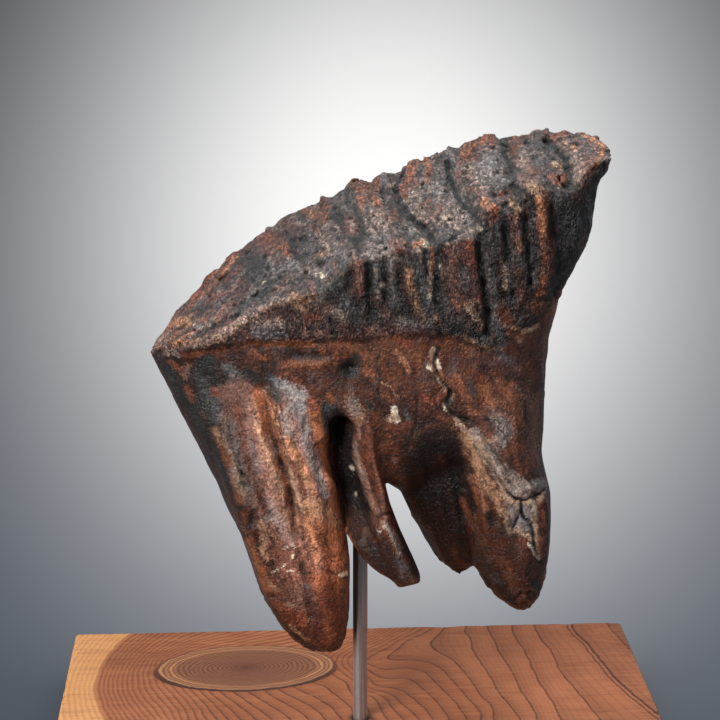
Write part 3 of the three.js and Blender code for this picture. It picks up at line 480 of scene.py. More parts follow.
def base_field(x, y, z, m=0.0, rough=False, top=0.0):
    """the tooth, negative inside. m: relief of the near and far faces, top: relief of the chewing surface"""
    fl = 1.0 if rough else 0.0
    bay = tube(x, y, z, [(-16, -54, 214), (-15, -36, 211), (-13, -20, 198), (-12, -6, 182)], [6.5, 8.5, 9.5, 10])
    fx, fz = front(x, y, z)
    sl = look(SLOT, fz)
    slot = smax(smax(np.abs(fx - sl[0]) - sl[1], fz - 232, 6), y + 10, 4)
    bay = smin(bay, slot, 3)
    recess = ((y + 31) - 1.3 * (look(RIDGE, fz)[0] - fx)) * 0.61
    hollow = tube(x, y, z, [(36, -44, 189), (42, -42, 165), (50, -38, 140)], [13.5, 12, 9])
    f = loft(x, y, z, BODY, 3.4, 2.5, False) + m
    f = smax(f, (z - occ_height(x, y, rough) + top) * 0.85, 1.2 if rough else 3.0)
    f = smax(f, 184 + 14 * sstep(18, 44, x) - z, 12)
    f = smax(f, -bay, 5)
    f = smax(f, -hollow, 6)
    a = loft(x, y, z, ROOT_A, 3.0, 2.4, flute=0.8 * fl, seed=31)
    a = smax(a, (look(ROOT_A, z)[0] + 10.5 * np.clip((12 - y) / 50, 0, 1.3) - x) * 0.97, 2.5) + m
    f = smin(f, a, 7)
    mid = smin(loft(x, y, z, ROOT_M1, 2.2, 2.2, flute=0.5 * fl, seed=33), loft(x, y, z, ROOT_M2, 2.2, 2.2, flute=0.5 * fl, seed=35), 5)
    mid = smax(mid, -recess, 2.5)
    mid = smax(mid, (BREAK[0] + BREAK[1] * (fx - BREAK[2]) - fz) * 0.9, 0.8)
    f = smin(f, mid + m * 0.6, 4)
    f = smin(f, smax(loft(x, y, z, ROOT_R1, 2.4, 2.2, flute=1.1 * fl, seed=37), -hollow, 6) + m, 8)
    f = smin(f, loft(x, y, z, ROOT_R2, 2.6, 2.2, flute=0.9 * fl, seed=39) + m, 6)
    f = smin(f, loft(x, y, z, ROOT_R3, 2.3, 2.2, flute=0.8 * fl, seed=41) + m, 6)
    f = smin(f, loft(x, y, z, ROOT_B, 2.2, 2.2, flute=0.5 * fl, seed=43), 6)
    notch = np.maximum(-0.9456 * (fx - 10) - 0.3253 * (fz - 196.4), 0.55 * (fx - 10) + 0.835 * (fz - 196.4))
    notch = np.maximum(notch, np.maximum(0.9117 * (fx - 18.4) + 0.4109 * (fz - 191), 178 - fz))
    return smax(f, -notch, 1.0)


def detail_field(x, y, z):
    """the tooth with all its relief"""
    fx, fz = front(x, y, z)
    wx = fx + 0.7 * noise3(x / 8, y / 8, z / 8, 1) + 0.35 * noise3(x / 3.2, y / 3.2, z / 5, 2)
    wz = fz + 0.7 * noise3(x / 8, y / 8, z / 8, 3)
    near = 1 - sstep(-20, -4, y)
    far = sstep(8, 24, y)
    zc = look(CERVIX, x)[0]
    above = z - zc + 1.5 * noise3(x / 7, y / 7, 0.3, 5)
    crown = sstep(-1.6, 1.6, above)
    zo = occ_height(x, y, False)
    topside = zo - z < 9
    m = -0.9 * crown * (near + far)
    g = np.zeros_like(x)
    add_marks(wx, wz, RELIEF, g, (near > 0.02) | topside)
    top = g * (y > -41)
    m = m + g * near
    g = np.zeros_like(x)
    add_marks(wx, wz, FORMS, g, near > 0.02)
    m = m + g * near
    g = np.zeros_like(x)
    add_marks(wx - fx + x, wz - fz + z, FAR, g, far > 0.02)
    gx, gz = far_as_near(x, z)
    g2 = np.zeros_like(x)
    add_marks(gx + wx - fx, gz, RELIEF, g2, (far > 0.02) & (above > 2))
    m = m + (g + g2 * sstep(2, 6, above)) * far
    # fine upright striation and chips of the crown's sides, softer lumps of the trunk
    side = crown * sstep(2, 8, zo - z)
    side = side * (1 - 0.65 * sstep(96, 104, x))
    m = m + side * (0.6 * noise3(x / 1.7, y / 1.7, z / 13, 11) + 0.75 * noise3(x / 4.2, y / 4.2, z / 11, 12)
                    + 0.5 * noise3(x / 4, y / 4, z / 3.2, 13) + 2.2 * np.clip(noise3(x / 3.2, y / 3.2, z / 6, 18) - 0.3, 0, 1))
    low = 1 - crown
    m = m + low * (0.45 * noise3(x / 16, y / 16, z / 16, 14) + 0.22 * noise3(x / 5.5, y / 5.5, z / 7, 15))
    # flaked patch on the rear root
    qx, qz = (x - 84.5) / 10.5, (z - 176) / 14.0
    fl = 1 - sstep(0.75, 1.0, np.sqrt(qx * qx + qz * qz) + 0.22 * noise3(x / 4, 0.0, z / 4, 16))
    m = m + near * fl * (1.0 + 0.5 * noise3(x / 3, 0.0, z / 3, 17))
    f = base_field(x, y, z, m, True, top)
    # crumbled chewing surface
    crumb = sstep(8, 2.0, zo - z)
    left = 1 - sstep(-78, -50, x)
    lump = ridge(noise3(x / 6.5, y / 10, z / 8, 51)) * 0.75 + 0.9 * noise3(x / 3.6, y / 5.0, z / 4, 52) + 0.5 * noise3(x / 1.9, y / 2.2, z / 2.2, 53)
    strip = 0.35 * np.sin((y * 1.0 + 4.5 * noise3(x / 14, y / 11, z / 14, 54)) * 1.1) + 0.9 * noise3(x / 9, y / 2.6, z / 9, 55)
    pits = np.clip(noise3(x / 5.2, y / 7, z / 6, 58) - 0.22, 0, 1) * 5.0 + np.clip(noise3(x / 2.6, y / 3.2, z / 3, 59) - 0.25, 0, 1) * 2.4
    f = f + crumb * (lump * (1 - 0.5 * left) + strip * left * 0.8 + pits) * 0.95
    # ragged root ends
    tip = sstep(30, 0, z - 84) * (x < -2) + 0.7 * sstep(60, 30, z - 84) * sstep(9, 3, x - look(ROOT_A, z)[0]) * (x < -2) + 1.3 * sstep(40, 4, z - 112) * (x > 58) + sstep(18, 0, z - 128) * (np.abs(x - 56) < 14) * (y > -8)
    f = f + np.clip(tip, 0, 1) * (1.3 * noise3(x / 5, y / 5, z / 5, 56) + 0.9 * noise3(x / 2.4, y / 2.4, z / 2.4, 57))
    return f


# =====================================================================================
# field to mesh: one vertex per crossed cell, one quad per crossed edge
# =====================================================================================
def mesh_field(lo, hi, h, coarse=4, band=9.0):
    nc = [int(math.ceil((b - a) / (hh * coarse))) for a, b, hh in zip(lo, hi, h)]
    ax = [np.float32(lo[i]) + np.arange(nc[i] + 1, dtype=np.float32) * np.float32(h[i] * coarse) for i in range(3)]
    X, Y, Z = np.meshgrid(*ax, indexing="ij")
    C = base_field(X.ravel(), Y.ravel(), Z.ravel()).reshape(X.shape)
    c8 = np.stack([C[i:C.shape[0] - 1 + i, j:C.shape[1] - 1 + j, k:C.shape[2] - 1 + k] for i in (0, 1) for j in (0, 1) for k in (0, 1)])
    live = np.abs(c8).min(0) < band
    n = [c * coarse + 1 for c in nc]
    fill = np.where(c8.mean(0) < 0, -50.0, 50.0).astype(np.float32)
    V = np.full(n, 50.0, np.float32)
    rep = lambda a: np.repeat(np.repeat(np.repeat(a, coarse, 0), coarse, 1), coarse, 2)
    V[:-1, :-1, :-1] = rep(fill)
    M = np.zeros(n, bool)
    m = rep(live)
    M[:-1, :-1, :-1] |= m; M[1:, :-1, :-1] |= m; M[:-1, 1:, :-1] |= m; M[:-1, :-1, 1:] |= m
    M[1:, 1:, :-1] |= m; M[1:, :-1, 1:] |= m; M[:-1, 1:, 1:] |= m; M[1:, 1:, 1:] |= m
    ii, jj, kk = np.nonzero(M)
    tick("band points %d" % len(ii))
    vals = np.empty(len(ii), np.float32)

    def work(s):
        e = slice(s, s + 40000)
        vals[e] = detail_field(np.float32(lo[0]) + ii[e].astype(np.float32) * np.float32(h[0]),
                               np.float32(lo[1]) + jj[e].astype(np.float32) * np.float32(h[1]),
                               np.float32(lo[2]) + kk[e].astype(np.float32) * np.float32(h[2]))

    with ThreadPoolExecutor(4) as pool:
        list(pool.map(work, range(0, len(ii), 40000)))
    V[ii, jj, kk] = vals
    inside = V < 0
    cs = [n[0] - 1, n[1] - 1, n[2] - 1]
    cid = lambda i, j, k: (i * cs[1] + j) * cs[2] + k
    keys, pts, quads, signs = [], [], [], []
    for axis in range(3):
        a = [slice(None)] * 3
        b = [slice(None)] * 3
        a[axis], b[axis] = slice(0, -1), slice(1, None)
        A, B = V[tuple(a)], V[tuple(b)]
        i, j, k = np.nonzero(inside[tuple(a)] != inside[tuple(b)])
        va, vb = A[i, j, k], B[i, j, k]
        t = np.clip(va / (va - vb), 0.02, 0.98)
        p = np.stack([i, j, k], 1).astype(np.float64)
        p[:, axis] += t
        o = [(axis + 1) % 3, (axis + 2) % 3]
        cells = []
        for d0, d1 in ((-1, -1), (0, -1), (0, 0), (-1, 0)):
            q = [i.copy(), j.copy(), k.copy()]
            q[o[0]] = q[o[0]] + d0
            q[o[1]] = q[o[1]] + d1
            c = cid(*q)
            cells.append(c)
            keys.append(c)
            pts.append(p)
        quads.append(np.stack(cells, 1))
        signs.append(va < 0)
    keys, pts = np.concatenate(keys), np.concatenate(pts)
    uniq, inv = np.unique(keys, return_inverse=True)
    cnt = np.bincount(inv)
    verts = np.stack([np.bincount(inv, pts[:, c]) / cnt for c in range(3)], 1) * np.array(h) + np.array(lo)
    Q = np.searchsorted(uniq, np.concatenate(quads))
    S = np.concatenate(signs)
    Q[~S] = Q[~S][:, ::-1]
    # keep the one big shell
    from_, to = Q[:, [0, 1, 2, 3]].ravel(), Q[:, [1, 2, 3, 0]].ravel()
    label = np.arange(len(verts))
    for _ in range(400):
        m = np.minimum(label[from_], label[to])
        new = label.copy()
        np.minimum.at(new, from_, m)
        np.minimum.at(new, to, m)
        new = new[new]
        if (new == label).all():
            break
        label = new
    big = np.bincount(label).argmax()
    keep = label[Q[:, 0]] == big
    Q = Q[keep]
    used = np.unique(Q)
    remap = np.full(len(verts), -1)
    remap[used] = np.arange(len(used))
    return verts[used], remap[Q]


def to_mesh(name, verts, faces, smooth=True):
    me = bpy.data.meshes.new(name)
    faces = np.asarray(faces)
    me.vertices.add(len(verts))
    me.vertices.foreach_set("co", (np.asarray(verts, np.float64) * MM).astype(np.float32).ravel())
    k = faces.shape[1]
    me.loops.add(faces.size)
    me.loops.foreach_set("vertex_index", faces.astype(np.int32).ravel())
    me.polygons.add(len(faces))
    me.polygons.foreach_set("loop_start", np.arange(0, faces.size, k, dtype=np.int32))
    me.update(calc_edges=True)
    me.validate()
    me.polygons.foreach_set("use_smooth", np.full(len(me.polygons), smooth))
    ob = bpy.data.objects.new(name, me)
    bpy.context.scene.collection.objects.link(ob)
    return ob


CELL = (0.98, 1.3, 0.98)
tv, tq = mesh_field((-124.0, -60.0, 70.0), (144.0, 62.0, 386.0), CELL)
tick("tooth grid mesh %d vertices %d quads" % (len(tv), len(tq)))
tooth = to_mesh("fossil_tooth", tv, tq)
TARGET = 192000
# the far side, underside and ends are thinned more than the near face and the chewing surface
vg = tooth.vertex_groups.new(name="thin")
wt = np.clip(0.12 + 0.88 * sstep(-6, 14, tv[:, 1]) * sstep(10, 22, occ_height(tv[:, 0].astype(np.float32), tv[:, 1].astype(np.float32), False) - tv[:, 2]), 0, 1)
lv = np.round(wt * 10).astype(int)
for q in np.unique(lv):
    vg.add(np.nonzero(lv == q)[0].tolist(), float(q) / 10, "REPLACE")
dec = tooth.modifiers.new("thin", "DECIMATE")
dec.vertex_group = "thin"
dec.vertex_group_factor = 1.0
dec.ratio = min(1.0, TARGET / (2.0 * len(tq)))
dg = bpy.context.evaluated_depsgraph_get()
thin = bpy.data.meshes.new_from_object(tooth.evaluated_get(dg))
tooth.modifiers.clear()
tooth.vertex_groups.clear()
tooth.data = thin
tick("tooth thinned to %d triangles" % sum(len(p.vertices) - 2 for p in thin.polygons))


# =====================================================================================
# per-vertex values that the tooth's material reads
# =====================================================================================
def mesh_arrays(me):
    v = np.empty(len(me.vertices) * 3, np.float32)
    me.vertices.foreach_get("co", v)
    nrm = np.empty(len(me.vertices) * 3, np.float32)
    me.vertices.foreach_get("normal", nrm)
    e = np.empty(len(me.edges) * 2, np.int32)
    me.edges.foreach_get("vertices", e)
    return v.reshape(-1, 3) / MM, nrm.reshape(-1, 3), e.reshape(-1, 2)


def hollowness(v, nrm, e, rounds):
    """how deep each vertex lies below the surface around it, mm"""
    deg = np.bincount(e.ravel(), minlength=len(v)).astype(np.float64)
    s = v.astype(np.float64)
    for _ in range(rounds):
        acc = np.stack([np.bincount(e[:, 0], s[e[:, 1], c], len(v)) + np.bincount(e[:, 1], s[e[:, 0], c], len(v)) for c in range(3)], 1)
        s = 0.4 * s + 0.6 * acc / deg[:, None]
    return ((s - v) * nrm).sum(1)


def put(me, name, values):
    a = me.attributes.new(name, "FLOAT", "POINT")
    a.data.foreach_set("value", np.asarray(values, np.float32))


def near_lines(x, z, lines, w, soft=1.0):
    out = np.zeros_like(x)
    for pts in lines:
        d, _, _ = line2(x, z, pts)
        out = np.maximum(out, 1 - sstep(w * (1 - 0.5 * soft), w * (1 + 0.5 * soft), d))
    return out


def blob(x, z, cx, cz, rx, rz, rough=0.3, s=0, scale=5.0):
    r = np.hypot((x - cx) / rx, (z - cz) / rz) + rough * noise3(x / scale, 0.3, z / scale, 60 + s)
    return 1 - sstep(0.7, 1.15, r)


# colours, sRGB: greys, pinkish and mauve browns, rust, deep browns, tans, chalky white, soot
PALETTE = {
    "gd": (36, 37, 37), "gb": (86, 84, 86), "gl": (124, 119, 118), "gw": (150, 132, 122), "mn": (92, 56, 50), "md": (58, 34, 30),
    "pk": (128, 92, 80), "ob": (138, 82, 54), "ol": (184, 124, 88), "rd": (128, 64, 42), "db": (48, 28, 22), "mb": (98, 60, 42),
    "rb": (108, 57, 38), "tn": (160, 120, 92), "bg": (174, 144, 120), "wh": (214, 200, 178), "bk": (10, 8, 8), "lg": (134, 120, 116)}
# stains, chips and bands of colour: colour, half-width, strength, points in front coordinates
# <strokes>
STROKES = [
    ("mn", 6.09, 0.75, ((-50.7, 325.9), (-61.7, 316.4), (-70.8, 306.4), (-79.4, 297.8), (-87, 288.7))),
    ("rd", 3.55, 0.8, ((-62.6, 318), (-69.2, 311.4), (-75.7, 305.4), (-81.8, 298.9), (-85.9, 293.8))),
    ("ol", 1.62, 0.75, ((-63.7, 314.9), (-67.7, 311.9), (-72.2, 308.4))),
    ("mn", 2.54, 0.7, ((-58.8, 312.8), (-63.8, 306.3), (-70.9, 302.3), (-77.9, 298.8))),
    ("pk", 3.05, 0.6, ((-62, 301.1), (-67, 296.1), (-73.1, 292.1))),
    ("gb", 2.03, 0.8, ((-70.9, 299.7), (-72, 294.6), (-73.6, 290.5))),
    ("gl", 1.02, 0.6, ((-72.4, 297.7), (-72, 294.6))),
    ("ob", 2.03, 0.6, ((-60.3, 309.8), (-61.9, 303.7))),
    ("mn", 2.03, 0.8, ((-59, 301.1), (-62.1, 295), (-64.1, 291.4))),
    ("ob", 1.52, 0.8, ((-85.4, 293.3), (-89, 290.2))),
    ("gd", 2.03, 0.8, ((-88.9, 293.8), (-92, 289.8))),
    ("pk", 2.54, 0.7, ((-82, 292.7), (-87.1, 286.1), (-92.1, 284.6))),
    ("ol", 2.03, 0.9, ((-97.2, 281.1), (-92.1, 282.5), (-87.2, 282))),
    ("tn", 1.52, 0.6, ((-88.1, 284.5), (-84.7, 282.4))),
    ("gd", 2.54, 0.8, ((-82, 289.6), (-78.6, 288), (-76.1, 288.5))),
    ("gl", 1.52, 0.7, ((-84.3, 280.4), (-79.8, 279.3), (-76.3, 282.3))),
    ("pk", 1.52, 0.6, ((-78.2, 283.4), (-79.3, 280.3))),
    ("rd", 1.52, 0.6, ((-99.7, 277.5), (-94.8, 277.4))),
    ("ol", 2.03, 0.8, ((-96.4, 272.8), (-91.4, 273.7), (-87.4, 275.7))),
    ("tn", 1.52, 0.7, ((-95, 270.1), (-89.5, 271.1))),
    ("pk", 2.03, 0.7, ((-103.9, 270.8), (-100.8, 274.4), (-98.3, 276.4))),
    ("gw", 1.52, 0.6, ((-100.1, 266.6), (-96.6, 267), (-93.6, 264.9))),
    ("db", 1.52, 0.7, ((-106.5, 267.2), (-105.1, 264))),
    ("tn", 2.54, 0.6, ((-84.5, 272.1), (-79.5, 273), (-74.4, 274))),
    ("pk", 3.05, 0.6, ((-80, 272), (-74.4, 274.5), (-68.4, 277.5), (-62.3, 281.1))),
    ("gw", 2.23, 0.5, ((-84.5, 270), (-79.5, 272.5), (-74.4, 275), (-68.4, 278), (-62.3, 281.1), (-57.3, 284.1))),
    ("bg", 0.81, 0.6, ((-81, 271.5), (-79, 272.5))),
    ("bg", 1.02, 0.6, ((-75.4, 274), (-72.9, 275.5))),
    ("bg", 0.76, 0.6, ((-65.9, 278.5), (-62.3, 280.5))),
    ("gw", 1.62, 0.5, ((-56.3, 285.1), (-51.3, 288.1), (-44.7, 291.7), (-38.2, 293.1), (-33.3, 292))),
    ("bg", 0.71, 0.55, ((-51.3, 288.1), (-47.2, 290.2))),
    ("pk", 1.52, 0.5, ((-46.2, 290.1), (-41.3, 291.6))),
    ("bg", 0.66, 0.6, ((-37.3, 293.1), (-32.3, 292.5))),
    ("tn", 1.52, 0.5, ((-37.3, 292.1), (-32.8, 289.9))),
    ("gw", 1.52, 0.5, ((-62.3, 283.1), (-57.3, 285.1))),
    ("gd", 1.32, 0.8, ((-69.8, 281.7), (-66.3, 284.2), (-62.2, 287.3))),
    ("gd", 1.32, 0.8, ((-63.2, 289.3), (-59.1, 293.4), (-54.1, 295.4), (-49.1, 297.9))),
    ("gd", 1.02, 0.7, ((-87.4, 274.2), (-82.4, 276.2), (-76.3, 279.2), (-71.3, 281.7))),
    ("mn", 1.02, 0.6, ((-82.4, 275.1), (-72.3, 279.7), (-64.8, 283.7))),
    ("gb", 1.52, 0.6, ((-64.2, 287.3), (-59.2, 290.3), (-54.2, 293.3))),
    ("lg", 1.52, 0.5, ((-54.2, 290.3), (-59.3, 286.2))),
    ("mn", 6.6, 0.4, ((-53.3, 283), (-46.4, 280.8), (-39.9, 276.6))),
    ("gl", 3.55, 0.5, ((-53.4, 277.8), (-48.4, 276.2), (-42.4, 277.1))),
    ("gw", 2.54, 0.35, ((-51.3, 281.9), (-44.4, 281.8), (-37.4, 279.7))),
    ("pk", 3.05, 0.4, ((-36.4, 283.8), (-32.4, 280.6), (-29.4, 275.4))),
    ("gb", 4.06, 0.55, ((-52.4, 275.7), (-47.5, 274.6), (-42.4, 275.6))),
    ("md", 3.05, 0.5, ((-49.8, 286.6), (-43.3, 287.5), (-37.3, 285.9))),
    ("gd", 2.03, 0.6, ((-33.3, 286.9), (-32.4, 281.7), (-33.9, 276))),
    ("rb", 1.52, 0.6, ((-58.5, 270.1), (-53.5, 271.6), (-49.5, 270))),
    ("md", 1.73, 0.8, ((-68.6, 264.5), (-63.6, 264.9), (-59.6, 266.4), (-56.6, 268.5))),
    ("ob", 2.03, 0.6, ((-56.6, 266.4), (-53.6, 263.2), (-49.6, 263.7))),
    ("ob", 2.03, 0.7, ((-48.5, 269.4), (-40, 270.8), (-32.5, 269.7), (-26.5, 270.1))),
    ("db", 1.52, 0.7, ((-47.6, 267.8), (-42.5, 267.2), (-36.5, 267.7))),
    ("mn", 1.52, 0.7, ((-64.5, 269.7), (-60.5, 271.7), (-57.5, 273.7))),
    ("gd", 3.55, 0.85, ((-81.2, 261.6), (-77.7, 262))),
    ("gd", 6.6, 0.88, ((-81.4, 254.7), (-79, 248.9), (-77.1, 243.6))),
    ("gd", 4.06, 0.85, ((-84.3, 239.5), (-78.2, 240.4), (-74.2, 238.7))),
    ("gd", 3.05, 0.85, ((-76.3, 236.1), (-76.4, 231.9), (-78, 228.2))),
    ("gb", 3.05, 0.55, ((-82.9, 253.2), (-80.1, 246.8), (-76.1, 242.5))),
    ("gb", 2.03, 0.55, ((-75.3, 237.2), (-76.4, 232.4))),
    ("ob", 2.28, 1, ((-75.6, 246.2), (-73.6, 245.1))),
    ("rd", 1.27, 0.8, ((-76.6, 245.2), (-75.1, 244.1))),
    ("db", 0.91, 0.8, ((-77.5, 248.9), (-74, 248.3), (-72, 247.7))),
    ("gb", 3.05, 0.8, ((-68.8, 258.2), (-66.3, 255), (-64.9, 252.9))),
    ("gd", 1.27, 0.8, ((-69.8, 256.1), (-67.4, 252.4), (-64.9, 251.3))),
    ("gl", 0.81, 0.7, ((-67.3, 254.5), (-65.9, 252.4))),
    ("gd", 3.05, 0.7, ((-59.3, 256), (-56.3, 252.7), (-54.3, 250.6))),
    ("pk", 3.05, 0.7, ((-65, 245.5), (-61.4, 248.6), (-58.9, 246.4))),
    ("pk", 2.03, 0.6, ((-89.3, 259.6), (-90.9, 254.4))),
    ("ob", 1.52, 0.8, ((-90.1, 248), (-88.2, 244.3), (-87.2, 241.6))),
    ("ob", 1.52, 0.6, ((-97.7, 261.8), (-93.8, 258.6))),
    ("gd", 2.54, 0.85, ((-100.3, 259.8), (-96.5, 253.4), (-93.1, 246.5), (-89.8, 240.1), (-85.9, 233.1), (-82.1, 225.6), (-77.2, 215.8), (-72.4, 204.9), (-68, 193.9), (-64.1, 184))),
    ("md", 1.78, 0.7, ((-102.9, 255.1), (-98.7, 245), (-91.5, 231.1), (-84.4, 214.8), (-77.6, 199.6), (-72.3, 187.4), (-66.4, 171.9))),
    ("pk", 8.12, 0.62, ((-65, 243.9), (-62.3, 227.9), (-58.6, 209), (-52.8, 187))),
    ("tn", 6.09, 0.5, ((-52, 241), (-47.2, 219.5), (-41.3, 197.8), (-34.4, 175.6))),
    ("pk", 7.11, 0.55, ((-37.8, 240.8), (-31.9, 219.3), (-27, 197.5), (-22, 178.1))),
    ("ob", 6.09, 0.6, ((-21.7, 229.8), (-17.2, 210.9), (-13.7, 191.7), (-10.6, 172.4), (-9.6, 158.4))),
    ("ob", 10.15, 0.5, ((-27.2, 175.5), (-22.1, 158.7), (-18, 138.9))),
    ("rb", 11.17, 0.55, ((-24.2, 147.5), (-21.2, 130.5), (-20.8, 113.4))),
    ("pk", 9.14, 0.5, ((-48.7, 181.5), (-42.8, 161.9), (-38.9, 142.2), (-34.8, 130.8))),
    ("gw", 3.05, 0.45, ((-71.4, 230.7), (-67.6, 217.2), (-63.8, 200.9), (-60, 187.2))),
    ("rb", 5.08, 0.5, ((-53.4, 145.4), (-46.8, 131.1), (-39.1, 116.7))),
    ("md", 2.54, 0.6, ((-54.9, 249), (-51, 238.3), (-47.1, 224.9), (-42.7, 211.4), (-37.8, 197.7), (-34.3, 181.2))),
    ("pk", 7.11, 0.55, ((-65, 243.9), (-63.3, 230.6), (-60.5, 217.1), (-55.6, 203.5))),
    ("lg", 2.03, 0.55, ((-68.4, 228), (-66.5, 219.9), (-65.6, 211.8), (-63.7, 204.7))),
    ("rb", 1.78, 0.7, ((-65.1, 238.6), (-63.3, 230.6), (-61.9, 222.5), (-60.5, 214.4), (-58.6, 206.3))),
    ("lg", 2.03, 0.5, ((-58.4, 219.8), (-56.5, 211.6), (-54.6, 203.5))),
    ("pk", 2.54, 0.6, ((-61.1, 235.9), (-58.2, 227.8), (-55.3, 219.7))),
    ("tn", 2.03, 0.6, ((-76, 225.4), (-72.6, 217.3), (-69.7, 211.9))),
    ("ob", 1.78, 0.85, ((-72.7, 215.7), (-69.8, 208.1), (-67.4, 201), (-65.5, 192.8), (-64.1, 186.2))),
    ("gw", 2.03, 0.6, ((-67.8, 203.7), (-64.9, 195.5))),
    ("bg", 2.54, 0.5, ((-63.9, 198.2), (-62.4, 191.6))),
    ("gd", 0.91, 0.6, ((-63.8, 203.6), (-60.8, 200.3), (-58.3, 193.7))),
    ("ob", 3.05, 0.95, ((-54.4, 245.3), (-52, 239.4), (-50.1, 232.5), (-49.2, 225), (-48.2, 219.6))),
    ("db", 1.32, 0.85, ((-52.3, 250.6), (-49.9, 246.3), (-46.9, 242.5))),
    ("rb", 2.03, 0.5, ((-52, 235.7), (-50.1, 227.7))),
    ("tn", 1.83, 0.85, ((-54.2, 227.7), (-51.8, 221.2), (-49.3, 214.2), (-47.4, 206), (-45.4, 198.9))),
    ("bg", 0.81, 0.6, ((-49.3, 216.9), (-47.4, 207.7), (-44.9, 198.9))),
    ("rb", 1.42, 0.85, ((-47.1, 224.9), (-44.7, 216.8), (-42.8, 208.7), (-41.3, 200.5), (-39.4, 192.3), (-38.4, 184))),
    ("gl", 4.57, 0.72, ((-40.8, 247.2), (-36.3, 243.9), (-32.7, 242.8), (-34.3, 237.5))),
    ("gd", 2.03, 0.75, ((-48.7, 254.7), (-47.3, 250.5), (-45.8, 245.2), (-43.9, 240.9))),
    ("gb", 1.52, 0.6, ((-45.7, 252.6), (-42.8, 249.3))),
    ("ob", 2.03, 0.7, ((-41.6, 258.8), (-36.6, 259.8), (-30.1, 260.2), (-23.5, 260.6))),
    ("md", 2.03, 0.85, ((-37.5, 266.1), (-33.5, 263.9), (-29.5, 263.9), (-23.5, 263.3), (-17.5, 263.2))),
    ("gb", 1.22, 0.6, ((-35.1, 264), (-32.1, 261.8))),
    ("ob", 1.83, 0.6, ((-38.6, 260.4), (-32.6, 258.2), (-26.5, 258.6), (-21.5, 259.6), (-14.4, 261))),
    ("rb", 1.52, 0.6, ((-42.7, 254.1), (-37.7, 255.6), (-32.6, 255))),
    ("gl", 3.05, 0.55, ((-33.3, 236.4), (-31.3, 230), (-30.4, 223.5))),
    ("lg", 2.54, 0.5, ((-40.9, 232.8), (-39, 224.8), (-36.5, 216.7))),
    ("ol", 1.83, 0.75, ((-38.6, 219.4), (-35.6, 211.8), (-32.1, 204.1), (-28.5, 197), (-26, 190.9))),
    ("tn", 1.12, 0.6, ((-34.6, 207.4), (-31.1, 199.7), (-27.5, 192))),
    ("db", 0.81, 0.6, ((-29.8, 234.2), (-31.3, 227.9), (-31.9, 224.1))),
    ("ob", 2.03, 0.85, ((-26.2, 234.2), (-24.2, 227.7), (-21.7, 219.1), (-19.2, 210.4), (-16.7, 200.5), (-14.7, 191.8), (-12.1, 181.8))),
    ("rd", 1.52, 0.8, ((-27.7, 240.1), (-25.2, 237.9), (-23.7, 234.1))),
    ("gl", 2.54, 0.5, ((-29.9, 219.2), (-27.4, 211.1), (-24.4, 202.9), (-21.9, 194.6), (-19.9, 189.1))),
    ("lg", 2.54, 0.5, ((-50.3, 219.6), (-47.3, 211.5))),
    ("tn", 3.55, 0.6, ((-28.1, 184.9), (-24, 179.8), (-18.9, 177.5), (-15.8, 173))),
    ("ob", 3.55, 0.55, ((-19.9, 175.3), (-16.3, 168.6), (-13.8, 160.8), (-12.2, 154))),
    ("pk", 4.57, 0.45, ((-33.4, 167.3), (-28.3, 158.8), (-24.2, 150.3))),
    ("lg", 3.05, 0.5, ((-49.7, 185.3), (-46.2, 178.7), (-42.2, 173), (-39.6, 166.3))),
    ("gb", 1.52, 0.6, ((-50.8, 180.4), (-49.8, 176.5))),
    ("db", 1.52, 0.85, ((-57.5, 181.1), (-58.6, 176.1), (-59.7, 171.7))),
    ("tn", 2.03, 0.7, ((-53, 173.3), (-52, 167.7), (-52.7, 160.5), (-51.2, 155.4))),
    ("ob", 2.03, 0.85, ((-60.3, 165.1), (-57.4, 156.7), (-54.4, 149.3), (-52.4, 142.5), (-49.4, 136.8))),
    ("rb", 1.52, 0.7, ((-54.3, 190.9), (-52.3, 184.3), (-50.8, 179.3))),
    ("rb", 1.52, 0.7, ((-38.9, 186.8), (-37.4, 178.5), (-36.5, 170.1))),
    ("md", 1.12, 0.6, ((-33.8, 183.9), (-32.8, 175.6), (-31.9, 165.6))),
    ("rb", 4.06, 0.4, ((-46.4, 162), (-42.4, 153.6), (-38.9, 142.2))),
    ("wh", 0.28, 0.95, ((-41.8, 159.7), (-40.2, 160.8))),
    ("wh", 0.3, 0.95, ((-37.6, 162.4), (-36.6, 160.1))),
    ("wh", 0.28, 0.95, ((-36.6, 156.8), (-37.7, 154))),
    ("wh", 0.23, 0.9, ((-41.4, 151.3), (-43.5, 149.1))),
    ("wh", 0.25, 0.9, ((-48.2, 146.4), (-45, 148.6))),
    ("wh", 0.25, 0.8, ((-40.4, 147.3), (-37.2, 147.8))),
    ("md", 2.03, 0.6, ((-32, 151.6), (-30.5, 142), (-29.1, 130.7))),
    ("db", 1.32, 0.75, ((-32.1, 146.6), (-28.4, 145.9))),
    ("gb", 0.91, 0.6, ((-31.6, 138.7), (-28.5, 137.5))),
    ("rd", 3.55, 0.6, ((-42.2, 124.7), (-37, 121.8), (-32.3, 118.2))),
    ("rb", 4.57, 0.5, ((-18.1, 131.6), (-15.5, 121.8), (-17.1, 112.1))),
    ("ob", 2.03, 0.5, ((-21.8, 116.3), (-18.1, 112.1))),
    ("md", 3.05, 0.7, ((-27.5, 127.2), (-24.9, 120.3), (-24.5, 113.4))),
    ("db", 2.03, 0.8, ((-15, 101.7), (-19.3, 101.2), (-25.6, 102.5), (-31.9, 105.6), (-39.2, 112.1), (-44.4, 117.9), (-48.5, 123.8), (-51.5, 131.2))),
    ("tn", 0.91, 0.7, ((-39.1, 116.1), (-35.5, 112.6), (-29.8, 107.8))),
    ("db", 0.71, 0.8, ((-50.4, 134.6), (-46.8, 132.8), (-43.7, 131))),
